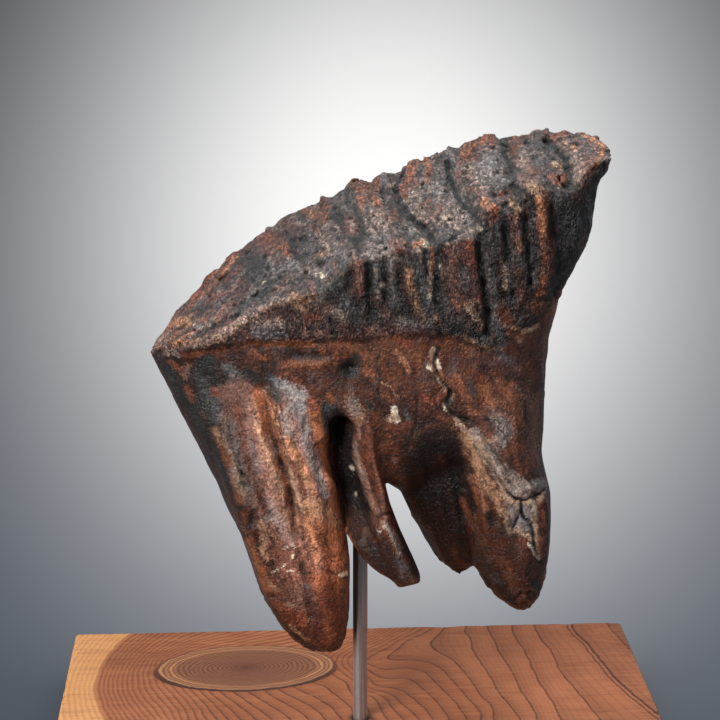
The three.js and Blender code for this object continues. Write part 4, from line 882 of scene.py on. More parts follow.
    ("db", 0.66, 0.85, ((-19, 147.4), (-16.4, 145.7), (-14.9, 145.1))),
    ("wh", 0.91, 0.6, ((-12.3, 144.4), (-9.6, 145.5))),
    ("tn", 1.32, 0.6, ((-49.3, 140.8), (-45.7, 136.2))),
    ("bg", 1.02, 0.5, ((-41.1, 128.7), (-38, 127.5))),
    ("gd", 1.52, 0.8, ((-53.6, 134.1), (-49.5, 126.6), (-46.4, 120.9))),
    ("bk", 4.57, 1, ((-17.1, 234), (-14.1, 218.9), (-10, 202.6), (-5.9, 187.2), (-2.8, 175))),
    ("bk", 4.06, 1, ((-10.5, 227.5), (-8.5, 212.3), (-4.9, 195.9), (-0.3, 182.7))),
    ("db", 6.09, 0.85, ((-1.3, 172.2), (3.9, 160.9), (12.3, 151.2), (19.6, 143.7))),
    ("rb", 4.06, 0.6, ((14.2, 177.4), (18.5, 166.2), (22.7, 154.9))),
    ("bk", 4.06, 1, ((-17.6, 225.5), (-16.1, 214.7), (-13.6, 203.8), (-11.1, 192.8), (-8.5, 182.8))),
    ("bk", 3.05, 1, ((-10, 225.3), (-9, 215.6), (-8, 204.7), (-6.5, 193.8), (-4.9, 186.1))),
    ("gd", 2.03, 0.9, ((-20.6, 236.2), (-18.1, 229.8))),
    ("gb", 1.22, 0.6, ((-19.1, 237.8), (-17.1, 231.9))),
    ("pk", 1.83, 0.9, ((-2.8, 226.8), (-3.9, 218.7), (-4.4, 210.6), (-1.8, 203.5), (0.8, 195.8), (3.3, 187.6), (6.5, 179.8))),
    ("gw", 0.91, 0.7, ((-4.4, 216.1), (-3.4, 206.8), (-0.3, 196.9))),
    ("rb", 1.83, 0.85, ((1.8, 226.7), (3.3, 218.6), (4.8, 210.5), (6.9, 202.3), (9, 194), (11.6, 185.7), (13.7, 179.6))),
    ("md", 2.28, 0.8, ((-6.5, 181.7), (-3.4, 175), (0.8, 166.6), (7, 159.2), (14.4, 152.3))),
    ("db", 2.54, 0.9, ((-6.5, 169.5), (-1.3, 160.5), (5, 152.5), (11.3, 147.9), (17.6, 140.9))),
    ("rb", 1.52, 0.5, ((-0.3, 169.4), (4.9, 163.7))),
    ("gw", 1.52, 0.7, ((10.1, 173.6), (13.3, 168), (16.4, 162.3), (18.5, 156.7))),
    ("gb", 2.03, 0.7, ((17.5, 152.2), (20.1, 147.7), (20.7, 143.1))),
    ("mb", 2.54, 0.5, ((20.7, 143.7), (24.9, 141.9))),
    ("md", 1.52, 0.75, ((17.4, 170.1), (20.6, 160.6), (24.3, 152.1), (27.5, 143.5))),
    ("bk", 0.61, 0.9, ((7.5, 176.4), (10.1, 178), (13.2, 178.5), (15.3, 177.9))),
    ("wh", 0.56, 0.7, ((7, 169.2), (8.1, 168.6))),
    ("wh", 0.56, 0.7, ((10.6, 170.8), (11.7, 169.7))),
    ("wh", 0.56, 0.8, ((-7, 204.2), (-5.9, 203.1))),
    ("wh", 0.51, 0.8, ((-4.4, 189.9), (-4.4, 188.8))),
    ("db", 1.62, 0.9, ((-11.5, 229.6), (-8.4, 227.4), (-5.9, 224.2))),
    ("mb", 8.12, 0.5, ((-7.4, 269.3), (5.2, 265.4), (20.4, 263.6))),
    ("ob", 4.06, 0.5, ((-19.9, 266.9), (-9.9, 268.3), (-1.3, 265.5))),
    ("rb", 3.05, 0.55, ((-14.4, 266.8), (-10.4, 264.6))),
    ("gd", 4.31, 0.85, ((-7.4, 257.7), (-6.4, 256.1), (-8.4, 255.7))),
    ("gd", 2.03, 0.9, ((-3.3, 261.9), (-5.4, 263.5))),
    ("db", 1.22, 0.8, ((-12.4, 260.5), (-10.9, 255.2))),
    ("gb", 2.03, 0.3, ((-9.4, 247.7), (-5.4, 246.6))),
    ("ob", 2.54, 0.6, ((0.7, 256), (3.7, 252.8))),
    ("tn", 4.06, 0.5, ((-7.4, 240.3), (-5.4, 234.9), (-2.8, 230.6))),
    ("lg", 3.05, 0.5, ((-6.4, 239.2), (-4.4, 233.8))),
    ("ob", 1.52, 0.7, ((-18.6, 243.1), (-16, 240.4))),
    ("db", 0.91, 0.8, ((-17.9, 265.8), (-16.9, 264.2))),
    ("db", 0.81, 0.8, ((1.7, 267.1), (3.2, 266.5))),
    ("db", 0.71, 0.9, ((6.3, 246.4), (6.8, 240), (9.4, 235.7), (11.4, 229.8))),
    ("gd", 1.22, 0.8, ((1.7, 238.5), (3.8, 235.8))),
    ("gd", 2.54, 0.4, ((7.9, 218.5), (8.9, 215.3))),
    ("rb", 2.54, 0.6, ((14, 223.8), (19.1, 224.8), (23.2, 226.9))),
    ("wh", 1.52, 1, ((15, 235.6), (16, 231.8), (16.5, 229.1))),
    ("bg", 1.52, 0.9, ((13, 229.2), (15, 231.3))),
    ("gb", 1.52, 0.7, ((20.6, 233.9), (22.7, 230.1))),
    ("rb", 3.55, 0.5, ((15.6, 215.7), (19.7, 210.2))),
    ("pk", 1.52, 0.5, ((14.6, 208.7), (16.2, 206.5))),
    ("ob", 2.03, 0.5, ((10.4, 242.6), (13.9, 239.9))),
    ("db", 0.66, 0.8, ((27.2, 242.3), (26.7, 231.7), (26.8, 222.5))),
    ("db", 0.66, 0.6, ((9.9, 218.5), (18.1, 220.5), (25.8, 222.5))),
    ("mn", 4.06, 0.5, ((15.8, 276.8), (22.8, 274.1), (30.4, 275.5))),
    ("rd", 2.03, 0.6, ((19.3, 270.5), (21.9, 268.9))),
    ("mn", 3.05, 0.6, ((-28.4, 283.7), (-21.4, 283.6), (-14.4, 282.4))),
    ("rd", 1.52, 0.5, ((-29.4, 284.2), (-22.4, 283.6))),
    ("pk", 3.05, 0.5, ((-23.4, 275.8), (-16.4, 274.1), (-10.4, 277.2))),
    ("gd", 1.32, 0.8, ((-17.9, 283.5), (-15.9, 278.8), (-14.9, 273.1))),
    ("mn", 3.05, 0.6, ((-9.9, 277.2), (-4.3, 274), (0.7, 276))),
    ("ob", 1.52, 0.5, ((11.8, 273.7), (16.8, 272.6))),
    ("db", 1.02, 0.7, ((-2.3, 270.8), (0.7, 269.2))),
    ("pk", 2.54, 0.5, ((3.7, 277), (10.2, 274.8))),
    ("lg", 2.54, 0.5, ((17.8, 280.9), (25.3, 279.8), (31.8, 280.7))),
    ("gd", 17.26, 0.5, ((-9.8, 292.7), (17.7, 297.5), (37.8, 292.1))),
    ("gd", 2.54, 0.9, ((-12.3, 312.2), (-10.8, 305.6), (-11.8, 297.9))),
    ("mn", 3.55, 0.75, ((-2.8, 312.1), (-2.3, 305), (-3.8, 296.8))),
    ("rb", 1.62, 0.85, ((-1.3, 312.1), (-1.3, 304.9), (-2.3, 297.8))),
    ("pk", 1.22, 0.7, ((-2.8, 307), (-3.3, 299.8))),
    ("gd", 2.13, 0.92, ((1.6, 313.1), (2.2, 302.8), (2.2, 292.6), (3.2, 283.2))),
    ("gb", 2.03, 0.75, ((6.1, 312), (6.1, 302.8), (6.7, 295.6))),
    ("gd", 1.22, 0.95, ((9.1, 315.5), (9.6, 307.9), (10.2, 298.6), (10.7, 291.4))),
    ("md", 1.22, 0.8, ((11.1, 315), (11.1, 302.7), (11.7, 292.4))),
    ("mn", 2.54, 0.5, ((5.7, 292.5), (8.2, 290.4))),
    ("wh", 0.96, 0.75, ((8.6, 300.7), (10.1, 300.2))),
    ("gb", 2.54, 0.75, ((13.6, 311.9), (14.1, 302.7), (14.7, 291.3))),
    ("mn", 1.22, 0.7, ((15.6, 314.9), (15.6, 305.2))),
    ("md", 1.32, 0.85, ((17.5, 318), (17.6, 307.8), (18.2, 298.5))),
    ("tn", 2.23, 0.48, ((21.6, 307.7), (23.1, 300.5), (25.2, 293.3), (27.3, 287), (28.8, 283.4))),
    ("ol", 0.91, 0.45, ((21.1, 305.7), (22.2, 297.4))),
    ("md", 1.22, 0.85, ((18.6, 299), (21.2, 291.3), (24.8, 285), (28.3, 281.8))),
    ("gb", 2.03, 0.8, ((26.5, 311.7), (28.1, 302.5), (30.2, 294.2), (31.3, 285.9))),
    ("gd", 1.12, 0.9, ((30, 317.8), (31, 310.7), (31.6, 302.4))),
    ("bg", 0.76, 0.5, ((32, 311.7), (32.6, 305), (32.2, 298.3), (32.7, 293.7))),
    ("wh", 0.91, 0.44, ((32.2, 294.7), (32.7, 293.2))),
    ("ob", 1.02, 0.8, ((33.4, 318.8), (34, 311.6), (34.6, 306.5))),
    ("gd", 1.52, 0.9, ((36, 312.6), (36.1, 302.4), (35.7, 294.1))),
    ("gd", 1.32, 0.9, ((38.4, 321.3), (39.5, 315.1), (41.1, 307.5))),
    ("mn", 4.06, 0.7, ((41.9, 317.7), (44.1, 304.8), (45.8, 291.9), (45.9, 285.7))),
    ("pk", 2.23, 0.6, ((43.1, 308.5), (45.2, 298.1), (46.8, 289.9))),
    ("mn", 3.55, 0.75, ((48.9, 320.1), (52, 309.9), (54.2, 299.6), (55.4, 290.8))),
    ("rd", 2.03, 0.75, ((52.3, 321.1), (54, 313.9), (56.1, 306.2))),
    ("rb", 1.52, 0.8, ((56.6, 306.2), (58.2, 299), (59.4, 291.7))),
    ("gb", 2.54, 0.55, ((49.1, 307.3), (50.7, 300.1))),
    ("gb", 2.03, 0.5, ((40.8, 292), (42.9, 282.6))),
    ("gw", 2.54, 0.6, ((44.2, 331.8), (48.2, 328.2), (52.3, 325.7))),
    ("tn", 1.32, 0.28, ((42.5, 311.5), (42.1, 306.4))),
    ("wh", 0.91, 0.44, ((38, 310.1), (38.6, 308.5))),
    ("bg", 2.03, 0.48, ((52.4, 288.2), (54.5, 285.6), (56.5, 282.4), (58.6, 279.8))),
    ("tn", 1.52, 0.39, ((50.4, 289.3), (55.9, 290.8))),
    ("gd", 2.34, 0.8, ((44, 276.4), (50.6, 274.7), (57.2, 273))),
    ("mb", 2.03, 0.6, ((49.1, 273.2), (51.7, 270))),
    ("gd", 1.83, 0.95, ((56.3, 320.5), (57, 313.4), (58.6, 305.2), (59.8, 296.9), (61.5, 288.6), (62.6, 280.3), (61.8, 273))),
    ("gb", 1.83, 0.85, ((62, 311.3), (63.7, 302), (63.9, 291.7), (65.1, 282.3), (67.8, 273.9), (69.9, 269.2))),
    ("md", 1.73, 0.85, ((66.5, 311.2), (67.7, 302), (69.4, 292.6))),
    ("gd", 1.62, 0.95, ((69.6, 331.5), (70.8, 320.9), (71.5, 312.2), (71.1, 307.1))),
    ("bg", 1.12, 0.39, ((70, 310.2), (70.7, 303), (70.3, 297.8))),
    ("wh", 0.71, 0.39, ((69.8, 298.8), (69.8, 297.3))),
    ("gd", 1.73, 0.9, ((73.9, 296.2), (74.5, 292.1))),
    ("gb", 2.03, 0.6, ((74.5, 314.7), (77.6, 310.1))),
    ("mn", 2.54, 0.7, ((76.6, 307), (78.3, 299.2), (78.6, 290.4))),
    ("pk", 1.22, 0.8, ((76.2, 326.4), (76.3, 320.3), (76.4, 315.7))),
    ("ol", 0.71, 0.6, ((76.7, 324.9), (76.9, 317.2))),
    ("gd", 1.22, 0.9, ((79.5, 332.4), (80.8, 319.7), (82.2, 306.9), (83.4, 296.6))),
    ("gb", 1.32, 0.7, ((83.4, 336.4), (83.8, 322.2), (84.6, 309.5), (84.4, 298.1))),
    ("gd", 0.91, 0.8, ((85.4, 317.1), (86.3, 304.3))),
    ("ob", 3.3, 0.92, ((88.1, 344.4), (88.3, 337.4), (89.1, 329.8), (90.2, 323.2), (91.5, 316), (92.2, 307.8), (90.9, 300.6), (88.6, 293.9), (87.2, 288.2))),
    ("rd", 2.23, 0.85, ((90.2, 326.2), (91.4, 318.1), (92.1, 309.4), (91.4, 300.6))),
    ("bg", 2.79, 0.88, ((82.5, 349.5), (85.1, 348.5), (87.1, 345.9))),
    ("ol", 1.52, 0.75, ((86.2, 343.4), (87.4, 336.4), (88.1, 327.3))),
    ("ol", 1.02, 0.6, ((89.6, 329.3), (90.2, 324.2))),
    ("db", 0.81, 0.8, ((90.8, 320.1), (92, 314), (92.7, 308.8))),
    ("db", 0.71, 0.7, ((89.6, 310.9), (90.8, 304.7))),
    ("db", 1.32, 0.85, ((92.2, 341.4), (92.9, 334.3), (92.7, 324.2))),
    ("db", 1.52, 0.8, ((93.4, 301.6), (92, 296.5))),
    ("gd", 2.03, 0.95, ((95.8, 323.1), (96.6, 310.8), (95.9, 301.6), (94.6, 293.3))),
    ("gd", 4.57, 0.9, ((99.3, 336.2), (102.3, 322), (101.7, 310.8), (98, 299.5))),
    ("gd", 4.06, 0.9, ((109.3, 336.1), (108.2, 324), (105.1, 313.8))),
    ("gd", 2.54, 0.8, ((100.5, 298.9), (96.7, 291.2))),
    ("gb", 1.02, 0.55, ((101.2, 325.1), (100, 313.9))),
    ("gb", 1.02, 0.55, ((105.9, 334.2), (108.1, 328))),
    ("gb", 1.02, 0.5, ((104.1, 327.1), (103.4, 318.9))),
    ("mb", 1.22, 0.7, ((108.8, 322.9), (107.9, 318.9))),
    ("md", 2.54, 0.85, ((103.7, 340.2), (106.5, 345.2), (109.3, 350.2), (112.1, 356.2))),
    ("db", 2.23, 0.9, ((109, 344.2), (111.4, 349.2))),
    ("gd", 2.03, 0.95, ((114.3, 349.2), (112.7, 340.1), (111, 332.1))),
    ("gb", 1.22, 0.6, ((94.7, 342.3), (95.8, 336.3))),
    ("gd", 2.54, 0.7, ((98.1, 343.3), (102.8, 338.2))),
    ("rb", 3.55, 0.7, ((69.6, 285.4), (72.8, 278.5), (78, 272.7))),
    ("rb", 3.55, 0.65, ((85.7, 287.2), (90.9, 283))),
    ("gb", 1.52, 0.6, ((66.9, 267.6), (71, 268.6))),
    ("bg", 0.71, 0.47, ((70.3, 278.1), (74.3, 277.5), (78.4, 276.4))),
    ("bg", 1.12, 0.85, ((79.9, 275.3), (83.5, 276.3), (87.5, 277.8))),
    ("tn", 1.52, 0.6, ((75.9, 273.3), (78.5, 270.6))),
    ("bg", 0.71, 0.7, ((50.1, 272.1), (54.2, 270.5), (58.3, 268.3), (63.4, 266.1), (69, 266))),
    ("mb", 1.52, 0.6, ((51.2, 271), (53.2, 268.4))),
    ("db", 1.73, 0.8, ((90.6, 292.3), (94.2, 290.7), (97.2, 292.3))),
    ("gb", 2.03, 0.55, ((60.3, 270.9), (64.4, 269.8))),
    ("mn", 4.06, 0.6, ((62.5, 261.4), (70.2, 258.1), (76.9, 254.8))),
    ("gb", 2.54, 0.45, ((67.5, 264.5), (73.7, 259.1))),
    ("db", 1.52, 0.5, ((71.9, 250.6), (75, 249.5))),
    ("tn", 1.52, 0.33, ((35.9, 282.7), (36.9, 279.1))),
    ("bg", 1.22, 0.9, ((34.5, 266.6), (33.6, 260.3), (35.2, 254.9), (38.3, 249.6), (41.9, 245.3))),
    ("wh", 1.42, 0.95, ((32.6, 257.1), (34.6, 257.6))),
    ("wh", 1.22, 0.9, ((36.6, 260.2), (37.7, 256.5))),
    ("tn", 1.02, 0.8, ((43.5, 240.5), (45.5, 241.5))),
    ("wh", 1.02, 0.95, ((41, 237.3), (41.5, 234.1))),
    ("bg", 1.22, 0.85, ((43.1, 235.1), (45.7, 230.8), (48.3, 226.4), (51.4, 223.1))),
    ("db", 1.83, 0.85, ((37.3, 242.7), (41, 239.4), (44.6, 234.6), (47.7, 231.8))),
    ("db", 1.22, 0.8, ((47.7, 231.8), (50.8, 229.6), (54.4, 227.9))),
    ("rd", 3.05, 0.5, ((30.7, 240.7), (35.4, 238.5), (38.3, 243.7))),
    ("bk", 0.71, 1, ((34.2, 293.1), (36.3, 290), (37.8, 287.9))),
    ("bk", 0.61, 0.9, ((36.9, 280.6), (37.9, 276.5), (38, 272.8))),
    ("bk", 0.81, 1, ((37.5, 267.6), (36.1, 262.8), (35.1, 259.2), (36.7, 254.9), (38.8, 250.6))),
    ("bk", 0.66, 1, ((38.8, 250.6), (40.8, 248), (42.9, 245.3))),
    ("bk", 1.02, 1, ((42.9, 245.3), (43.5, 242.1), (42.5, 239.4), (41.5, 237.3))),
    ("bk", 0.81, 0.9, ((42.5, 235.1), (44.6, 232.4), (47.7, 230.2), (51.9, 228.5))),
    ("bk", 0.61, 0.8, ((39.8, 246.9), (37.3, 243.8), (34.3, 241.1))),
    ("bk", 0.61, 0.8, ((36.1, 257.6), (35.2, 253.4), (36.8, 248))),
    ("ob", 2.54, 0.7, ((46.4, 251.1), (49.6, 244.6), (52.7, 238.2), (55.9, 232.7))),
    ("ob", 5.08, 0.7, ((61.8, 244.4), (66.5, 240.6), (72.1, 242.1))),
    ("ob", 3.05, 0.6, ((60.7, 248.2), (68.9, 247.5), (74, 246.3))),
    ("mb", 4.06, 0.6, ((79.3, 239.8), (82.2, 228), (84, 217.1), (85.9, 205.1))),
    ("rb", 2.54, 0.6, ((88, 240.8), (88.5, 222.5), (88.4, 205.1))),
    ("db", 1.52, 0.75, ((91.4, 246.6), (90.9, 227.8), (91.4, 211.6), (92.8, 197.9))),
    ("db", 0.71, 0.7, ((81.9, 237.7), (82.7, 225.8))),
    ("db", 0.61, 0.6, ((78.8, 219.4), (82.8, 222))),
    ("gb", 1.02, 0.4, ((77.1, 246.3), (79.2, 244.1))),
    ("mn", 2.03, 0.5, ((51.4, 257.9), (57.4, 260.4))),
    ("db", 0.91, 0.5, ((66.4, 243.3), (66.5, 239))),
    ("lg", 4.57, 0.6, ((68.3, 229.3), (72.5, 222.8), (69.6, 216.3))),
    ("lg", 2.03, 0.7, ((56.1, 223.1), (57.2, 218.7))),
    ("rb", 3.55, 0.5, ((53.5, 254.1), (58.6, 251.9))),
    ("db", 11.17, 0.8, ((31, 212.7), (34.9, 190.8), (39.3, 168.5))),
    ("bk", 6.09, 0.9, ((25.4, 211.7), (28.6, 197.5), (26.6, 185.4))),
    ("bk", 6.09, 0.85, ((41.8, 212.5), (47.2, 197.1), (51.6, 182.2))),
    ("db", 4.06, 0.9, ((22.3, 213.9), (26.3, 221.4), (33.4, 225.6), (41.7, 223.3), (48, 214.5))),
    ("md", 8.12, 0.8, ((32.7, 201.8), (37, 185.2), (42.4, 168.5))),
    ("db", 4.57, 0.9, ((30.4, 226.8), (35.5, 224.5), (40.7, 219))),
    ("db", 4.06, 0.85, ((23.3, 210.1), (22.4, 202))),
    ("bk", 5.08, 0.85, ((27.4, 217.1), (30.5, 208.4), (26.5, 197.5), (30.8, 185.3))),
    ("bk", 4.57, 0.85, ((43.8, 214.6), (46.6, 202.6), (50.4, 190.5), (53.2, 180.5))),
    ("md", 3.55, 0.7, ((37.7, 211.5), (38.9, 201.7), (41.6, 190.6), (43.8, 178.4))),
    ("rb", 1.52, 0.5, ((38.8, 209.3), (40.4, 206))),
    ("rb", 2.03, 0.45, ((37, 180.8), (39.3, 168.5))),
    ("mb", 1.52, 0.5, ((19.3, 200.9), (21.4, 193.8))),
    ("gb", 0.81, 0.6, ((40.8, 213.6), (45, 209.2))),
    ("gb", 0.71, 0.5, ((45, 204.3), (46.6, 201.5))),
    ("db", 3.05, 0.8, ((24.6, 182.7), (28.8, 173.2), (35.2, 161.9), (41.6, 151.7), (48, 145.9))),
    ("gd", 2.54, 0.7, ((47.5, 173.9), (49.8, 165.5), (50.9, 156))),
    ("db", 2.03, 0.85, ((50.8, 197), (53.1, 184.9), (54.3, 173.8), (55.5, 162.6), (56.3, 151.4))),
    ("rb", 6.09, 0.6, ((65.4, 168), (72.5, 153.8), (79.1, 139.5))),
    ("ob", 2.28, 0.8, ((56, 196.9), (59.3, 187.5), (62.6, 178.1), (64.3, 171.3))),
    ("ob", 1.52, 0.7, ((50.5, 184.9), (53.7, 176.6), (56, 168.2))),
    ("mb", 3.55, 0.6, ((61.4, 159.7), (66.8, 151.1))),
    ("gd", 2.03, 0.75, ((64.7, 176.9), (65.8, 171.3))),
    ("ob", 2.54, 0.6, ((72.6, 151), (76.4, 142.4), (79.3, 133.8))),
    ("md", 3.05, 0.75, ((59.4, 153.5), (64.8, 143.8), (71.3, 134.6), (77.8, 128.2))),
    ("gb", 2.03, 0.45, ((67, 142.1), (71.8, 137.4))),
    ("db", 1.52, 0.8, ((84.3, 123.4), (78.9, 125.9), (72.4, 131.7), (64.9, 139.9), (59.5, 147.9))),
    ("rb", 2.03, 0.7, ((82.1, 128.1), (86.2, 133.7))),
    ("gd", 1.78, 0.75, ((90.2, 139.3), (92, 133.5), (88.9, 128.5))),
    ("tn", 3.55, 0.55, ((52, 219.9), (56.3, 209), (61.7, 197.9), (67.1, 186.8))),
    ("gw", 3.05, 0.8, ((57.1, 220.9), (60.9, 213.8), (65.7, 205.5), (71, 197.2), (75.9, 189.4), (78.1, 183.3))),
    ("tn", 2.03, 0.7, ((53.1, 215.5), (56.3, 207.9), (61.7, 197.9), (67.1, 187.9), (71.5, 176.8))),
    ("bg", 2.03, 0.75, ((55.1, 218.7), (59.3, 212.2), (63.6, 205.5))),
    ("bg", 1.73, 0.75, ((70, 195.6), (72.8, 187.3), (75, 181.1))),
    ("gw", 2.03, 0.6, ((72.4, 203.2), (77.7, 197.6), (82.5, 194.2))),
    ("db", 0.61, 0.7, ((59.2, 220.8), (64.5, 214.2), (69.8, 206.5), (75.1, 198.8))),
    ("db", 0.61, 0.65, ((62.5, 207.7), (67.9, 198.9), (73.3, 190))),
    ("db", 0.51, 0.6, ((56.2, 214.4), (61.5, 204.5), (65.9, 194.5))),
    ("tn", 1.22, 0.6, ((60.3, 216.5), (66.5, 217.5))),
    ("db", 0.61, 0.5, ((67.1, 212), (73.9, 205.3), (78.2, 198.7))),
    ("gw", 3.55, 0.85, ((77.4, 191), (81.6, 187.6), (83.8, 182.6))),
    ("lg", 3.05, 0.95, ((83.6, 190.9), (87.2, 191.9), (91.4, 192.9))),
    ("gl", 2.03, 0.7, ((88.8, 193), (92.5, 191.3))),
    ("lg", 2.54, 0.95, ((76.6, 178.9), (78.3, 175.5), (77.3, 171.1))),
    ("lg", 2.74, 0.95, ((83.4, 180.4), (85.6, 175.9))),
    ("gl", 2.74, 0.95, ((82.5, 172.6), (85.2, 170.4), (83.7, 168.2))),
    ("bg", 1.52, 0.95, ((73.9, 185.6), (80.2, 183.2), (85.9, 183.7), (89.1, 182.5))),
    ("bg", 1.52, 0.95, ((91, 188), (92.1, 185.2), (89.1, 181.4), (89.3, 175.3), (90.5, 168.6), (90.2, 160.7), (90.9, 154.5))),
    ("bg", 1.22, 0.9, ((73, 177.8), (74.2, 171.1), (75.9, 165.5))),
    ("bg", 1.22, 0.9, ((76.4, 167.2), (81.1, 167.1), (85.4, 163.6), (88.6, 161.9))),
    ("wh", 0.91, 0.8, ((87.5, 182), (89.2, 177.5))),
    ("bk", 0.81, 1, ((73.8, 189.4), (77.5, 185.5), (82.8, 184.3), (86.9, 185.9), (91, 188), (93.5, 190.1))),
    ("bk", 0.76, 1, ((81.2, 183.2), (81.4, 177.7), (83, 174.3), (85.7, 172.6))),
    ("bk", 0.81, 1, ((86.8, 170.9), (87.4, 165.3), (88.6, 159.6))),
    ("bk", 0.66, 0.9, ((88.6, 159.6), (89.8, 154.6), (92.1, 148.9))),
    ("bk", 0.61, 0.9, ((79.8, 175.5), (78.4, 171.1), (76.9, 167.7))),
    ("rb", 2.34, 0.85, ((91.7, 180.8), (92.5, 173), (92.7, 162.9), (92.5, 153.9))),
    ("wh", 0.71, 0.7, ((85.5, 160.3), (88.8, 155.1), (90.9, 151.7))),
    ("db", 1.12, 0.7, ((93.7, 184.1), (95.6, 172.9), (96, 158.9))),
    ("gw", 4.06, 0.7, ((102.9, 363.3), (104.6, 358.3), (103.7, 353.8))),
    ("pk", 3.55, 0.7, ((110.7, 368.1), (111.9, 362.2), (109.1, 357.2))),
    ("gb", 2.03, 0.7, ((108.2, 368.7), (110.7, 366.7))),
    ("ol", 1.52, 0.8, ((106.5, 375.6), (110.5, 374.1), (114.5, 372.1), (117.1, 369.1))),
    ("ol", 1.32, 0.7, ((117.6, 369.1), (116.8, 364.1), (114.4, 360.7))),
    ("tn", 1.22, 0.8, ((96.3, 370.3), (100.3, 369.2), (104.2, 368.7))),
    ("tn", 1.02, 0.7, ((95.9, 367.8), (101.8, 367.2))),
    ("rb", 2.54, 0.9, ((89.7, 374.8), (93.6, 376.2), (97.6, 376.7))),
    ("gb", 2.54, 0.6, ((93.4, 368.8), (96.4, 366.8))),
    ("gd", 2.23, 0.8, ((86, 368.4), (88.9, 370.8), (90.4, 368.3))),
    ("gd", 2.03, 0.75, ((96.4, 366.3), (99.5, 363.3), (100.6, 359.3))),
    ("gd", 2.03, 0.85, ((99.8, 354.3), (101.4, 350.8), (102.5, 347.3))),
    ("gb", 3.05, 0.65, ((85.2, 362.4), (89.6, 361.4))),
    ("tn", 1.73, 0.95, ((92.7, 359.9), (95.6, 359.3))),
    ("wh", 0.81, 0.6, ((93.1, 360.4), (94.6, 359.9))),
    ("ob", 2.54, 0.85, ((92.8, 353.4), (95.4, 351.9), (97.3, 353.3))),
    ("rd", 1.52, 0.7, ((92.8, 353.4), (96.4, 351.4))),
    ("gb", 2.54, 0.6, ((93.1, 344.9), (96.6, 344.3))),
    ("pk", 4.06, 0.6, ((77.3, 361), (81.4, 355.5), (76.5, 351.6))),
    ("gw", 3.05, 0.5, ((78.1, 367.5), (76.4, 358.5))),
    ("rb", 2.54, 0.75, ((72.5, 374.4), (76.5, 373.4), (72.2, 368))),
    ("rb", 2.03, 0.6, ((72.2, 366.5), (73.3, 362.6))),
    ("gb", 3.05, 0.5, ((81.9, 373.4), (81.1, 367.4))),
    ("gd", 1.83, 0.9, ((66.7, 371), (69.7, 369))),
    ("gd", 2.03, 0.5, ((68.8, 366.6), (68.4, 362.6))),
    ("gd", 2.34, 0.88, ((70.4, 362.6), (71.5, 356.6), (72.1, 351.6))),
    ("gd", 2.03, 0.6, ((74.4, 357.6), (76.4, 356.6))),
    ("gd", 1.32, 0.9, ((72.1, 351.1), (76.1, 348.6), (80.2, 346), (82.2, 342.5))),
    ("gd", 1.22, 0.8, ((74.2, 347.6), (76.7, 343.6), (77.9, 338.5))),
    ("bk", 1.62, 0.9, ((71.2, 347.6), (73.7, 346.1))),
    ("rd", 1.22, 0.95, ((64.8, 345.2), (67.8, 345.2), (70.2, 346.1))),
    ("bk", 1.12, 0.85, ((62.8, 344.7), (64.3, 345.7))),
    ("gl", 5.58, 0.65, ((60.6, 356.7), (66.6, 353.7))),
    ("gl", 4.57, 0.6, ((58.5, 362.7), (64.5, 359.7))),
    ("gb", 3.55, 0.5, ((64.8, 367.6), (66.4, 362.6))),
    ("gw", 3.55, 0.55, ((50.7, 359.8), (54.7, 354.8))),
    ("ob", 2.54, 0.9, ((47.2, 365.3), (51, 368.7), (55.4, 372.1), (60.8, 374.5))),
    ("rb", 2.03, 0.75, ((62.7, 374), (62.3, 371.1))),
    ("gd", 1.52, 0.85, ((65.7, 374), (67.1, 375))),
    ("rb", 2.03, 0.7, ((46.7, 361.8), (49.6, 363.8), (55.5, 364.7))),
    ("pk", 3.05, 0.5, ((55.8, 347.8), (59.9, 343.7))),
    ("ol", 2.23, 0.88, ((58.9, 341.2), (61.4, 339.7), (64, 337.7))),
    ("rd", 1.83, 0.9, ((64, 337.7), (65.1, 332.6))),
    ("bg", 1.52, 0.9, ((72.3, 342.1), (74.3, 340.1), (76.4, 337.5))),
    ("gb", 2.03, 0.7, ((68.4, 339.6), (70.9, 336.6))),
    ("gb", 1.52, 0.7, ((66.1, 331.6), (66.7, 324.5))),
    ("gd", 1.52, 0.85, ((67, 336.6), (68.2, 326.5))),
    ("pk", 1.22, 0.6, ((74, 335.5), (74.6, 329.5))),
    ("gd", 2.54, 0.92, ((41.8, 362.9), (41.4, 356.4), (42.9, 350.9), (45, 346.9), (47.5, 342.9))),
    ("gd", 1.93, 0.88, ((48, 341.4), (51.6, 337.8), (54.6, 334.7), (56.7, 330.2), (57.3, 324.6))),
    ("gb", 2.03, 0.6, ((53.1, 333.8), (50.2, 329.7))),
    ("bk", 1.02, 0.8, ((42.9, 353.9), (44.5, 347.9))),
    ("wh", 0.81, 0.95, ((56.2, 329.7), (57.2, 327.6))),
    ("wh", 0.71, 0.8, ((51.7, 328.7), (52.7, 328.7))),
    ("gl", 4.06, 0.55, ((35.1, 348), (40.1, 345))),
    ("lg", 4.06, 0.5, ((43.1, 340.4), (48.2, 333.8))),
    ("gw", 2.54, 0.6, ((36.3, 331.9), (41.2, 332.9))),
    ("wh", 0.71, 0.5, ((37.2, 333.4), (40.7, 334.4))),
    ("gb", 3.05, 0.6, ((39.8, 367.8), (41.3, 362.9))),
    ("gb", 2.03, 0.75, ((43.2, 367.8), (45.2, 364.3))),
    ("gb", 2.03, 0.6, ((36.9, 359.9), (35.5, 353))),
    ("ob", 2.34, 0.88, ((22.7, 358.6), (26.1, 362), (30.5, 364))),
    ("ob", 2.03, 0.85, ((22.7, 355.1), (21.3, 351.7), (19.3, 347.7), (18.4, 344.7))),
    ("ob", 1.52, 0.8, ((31.5, 359.5), (30.6, 353))),
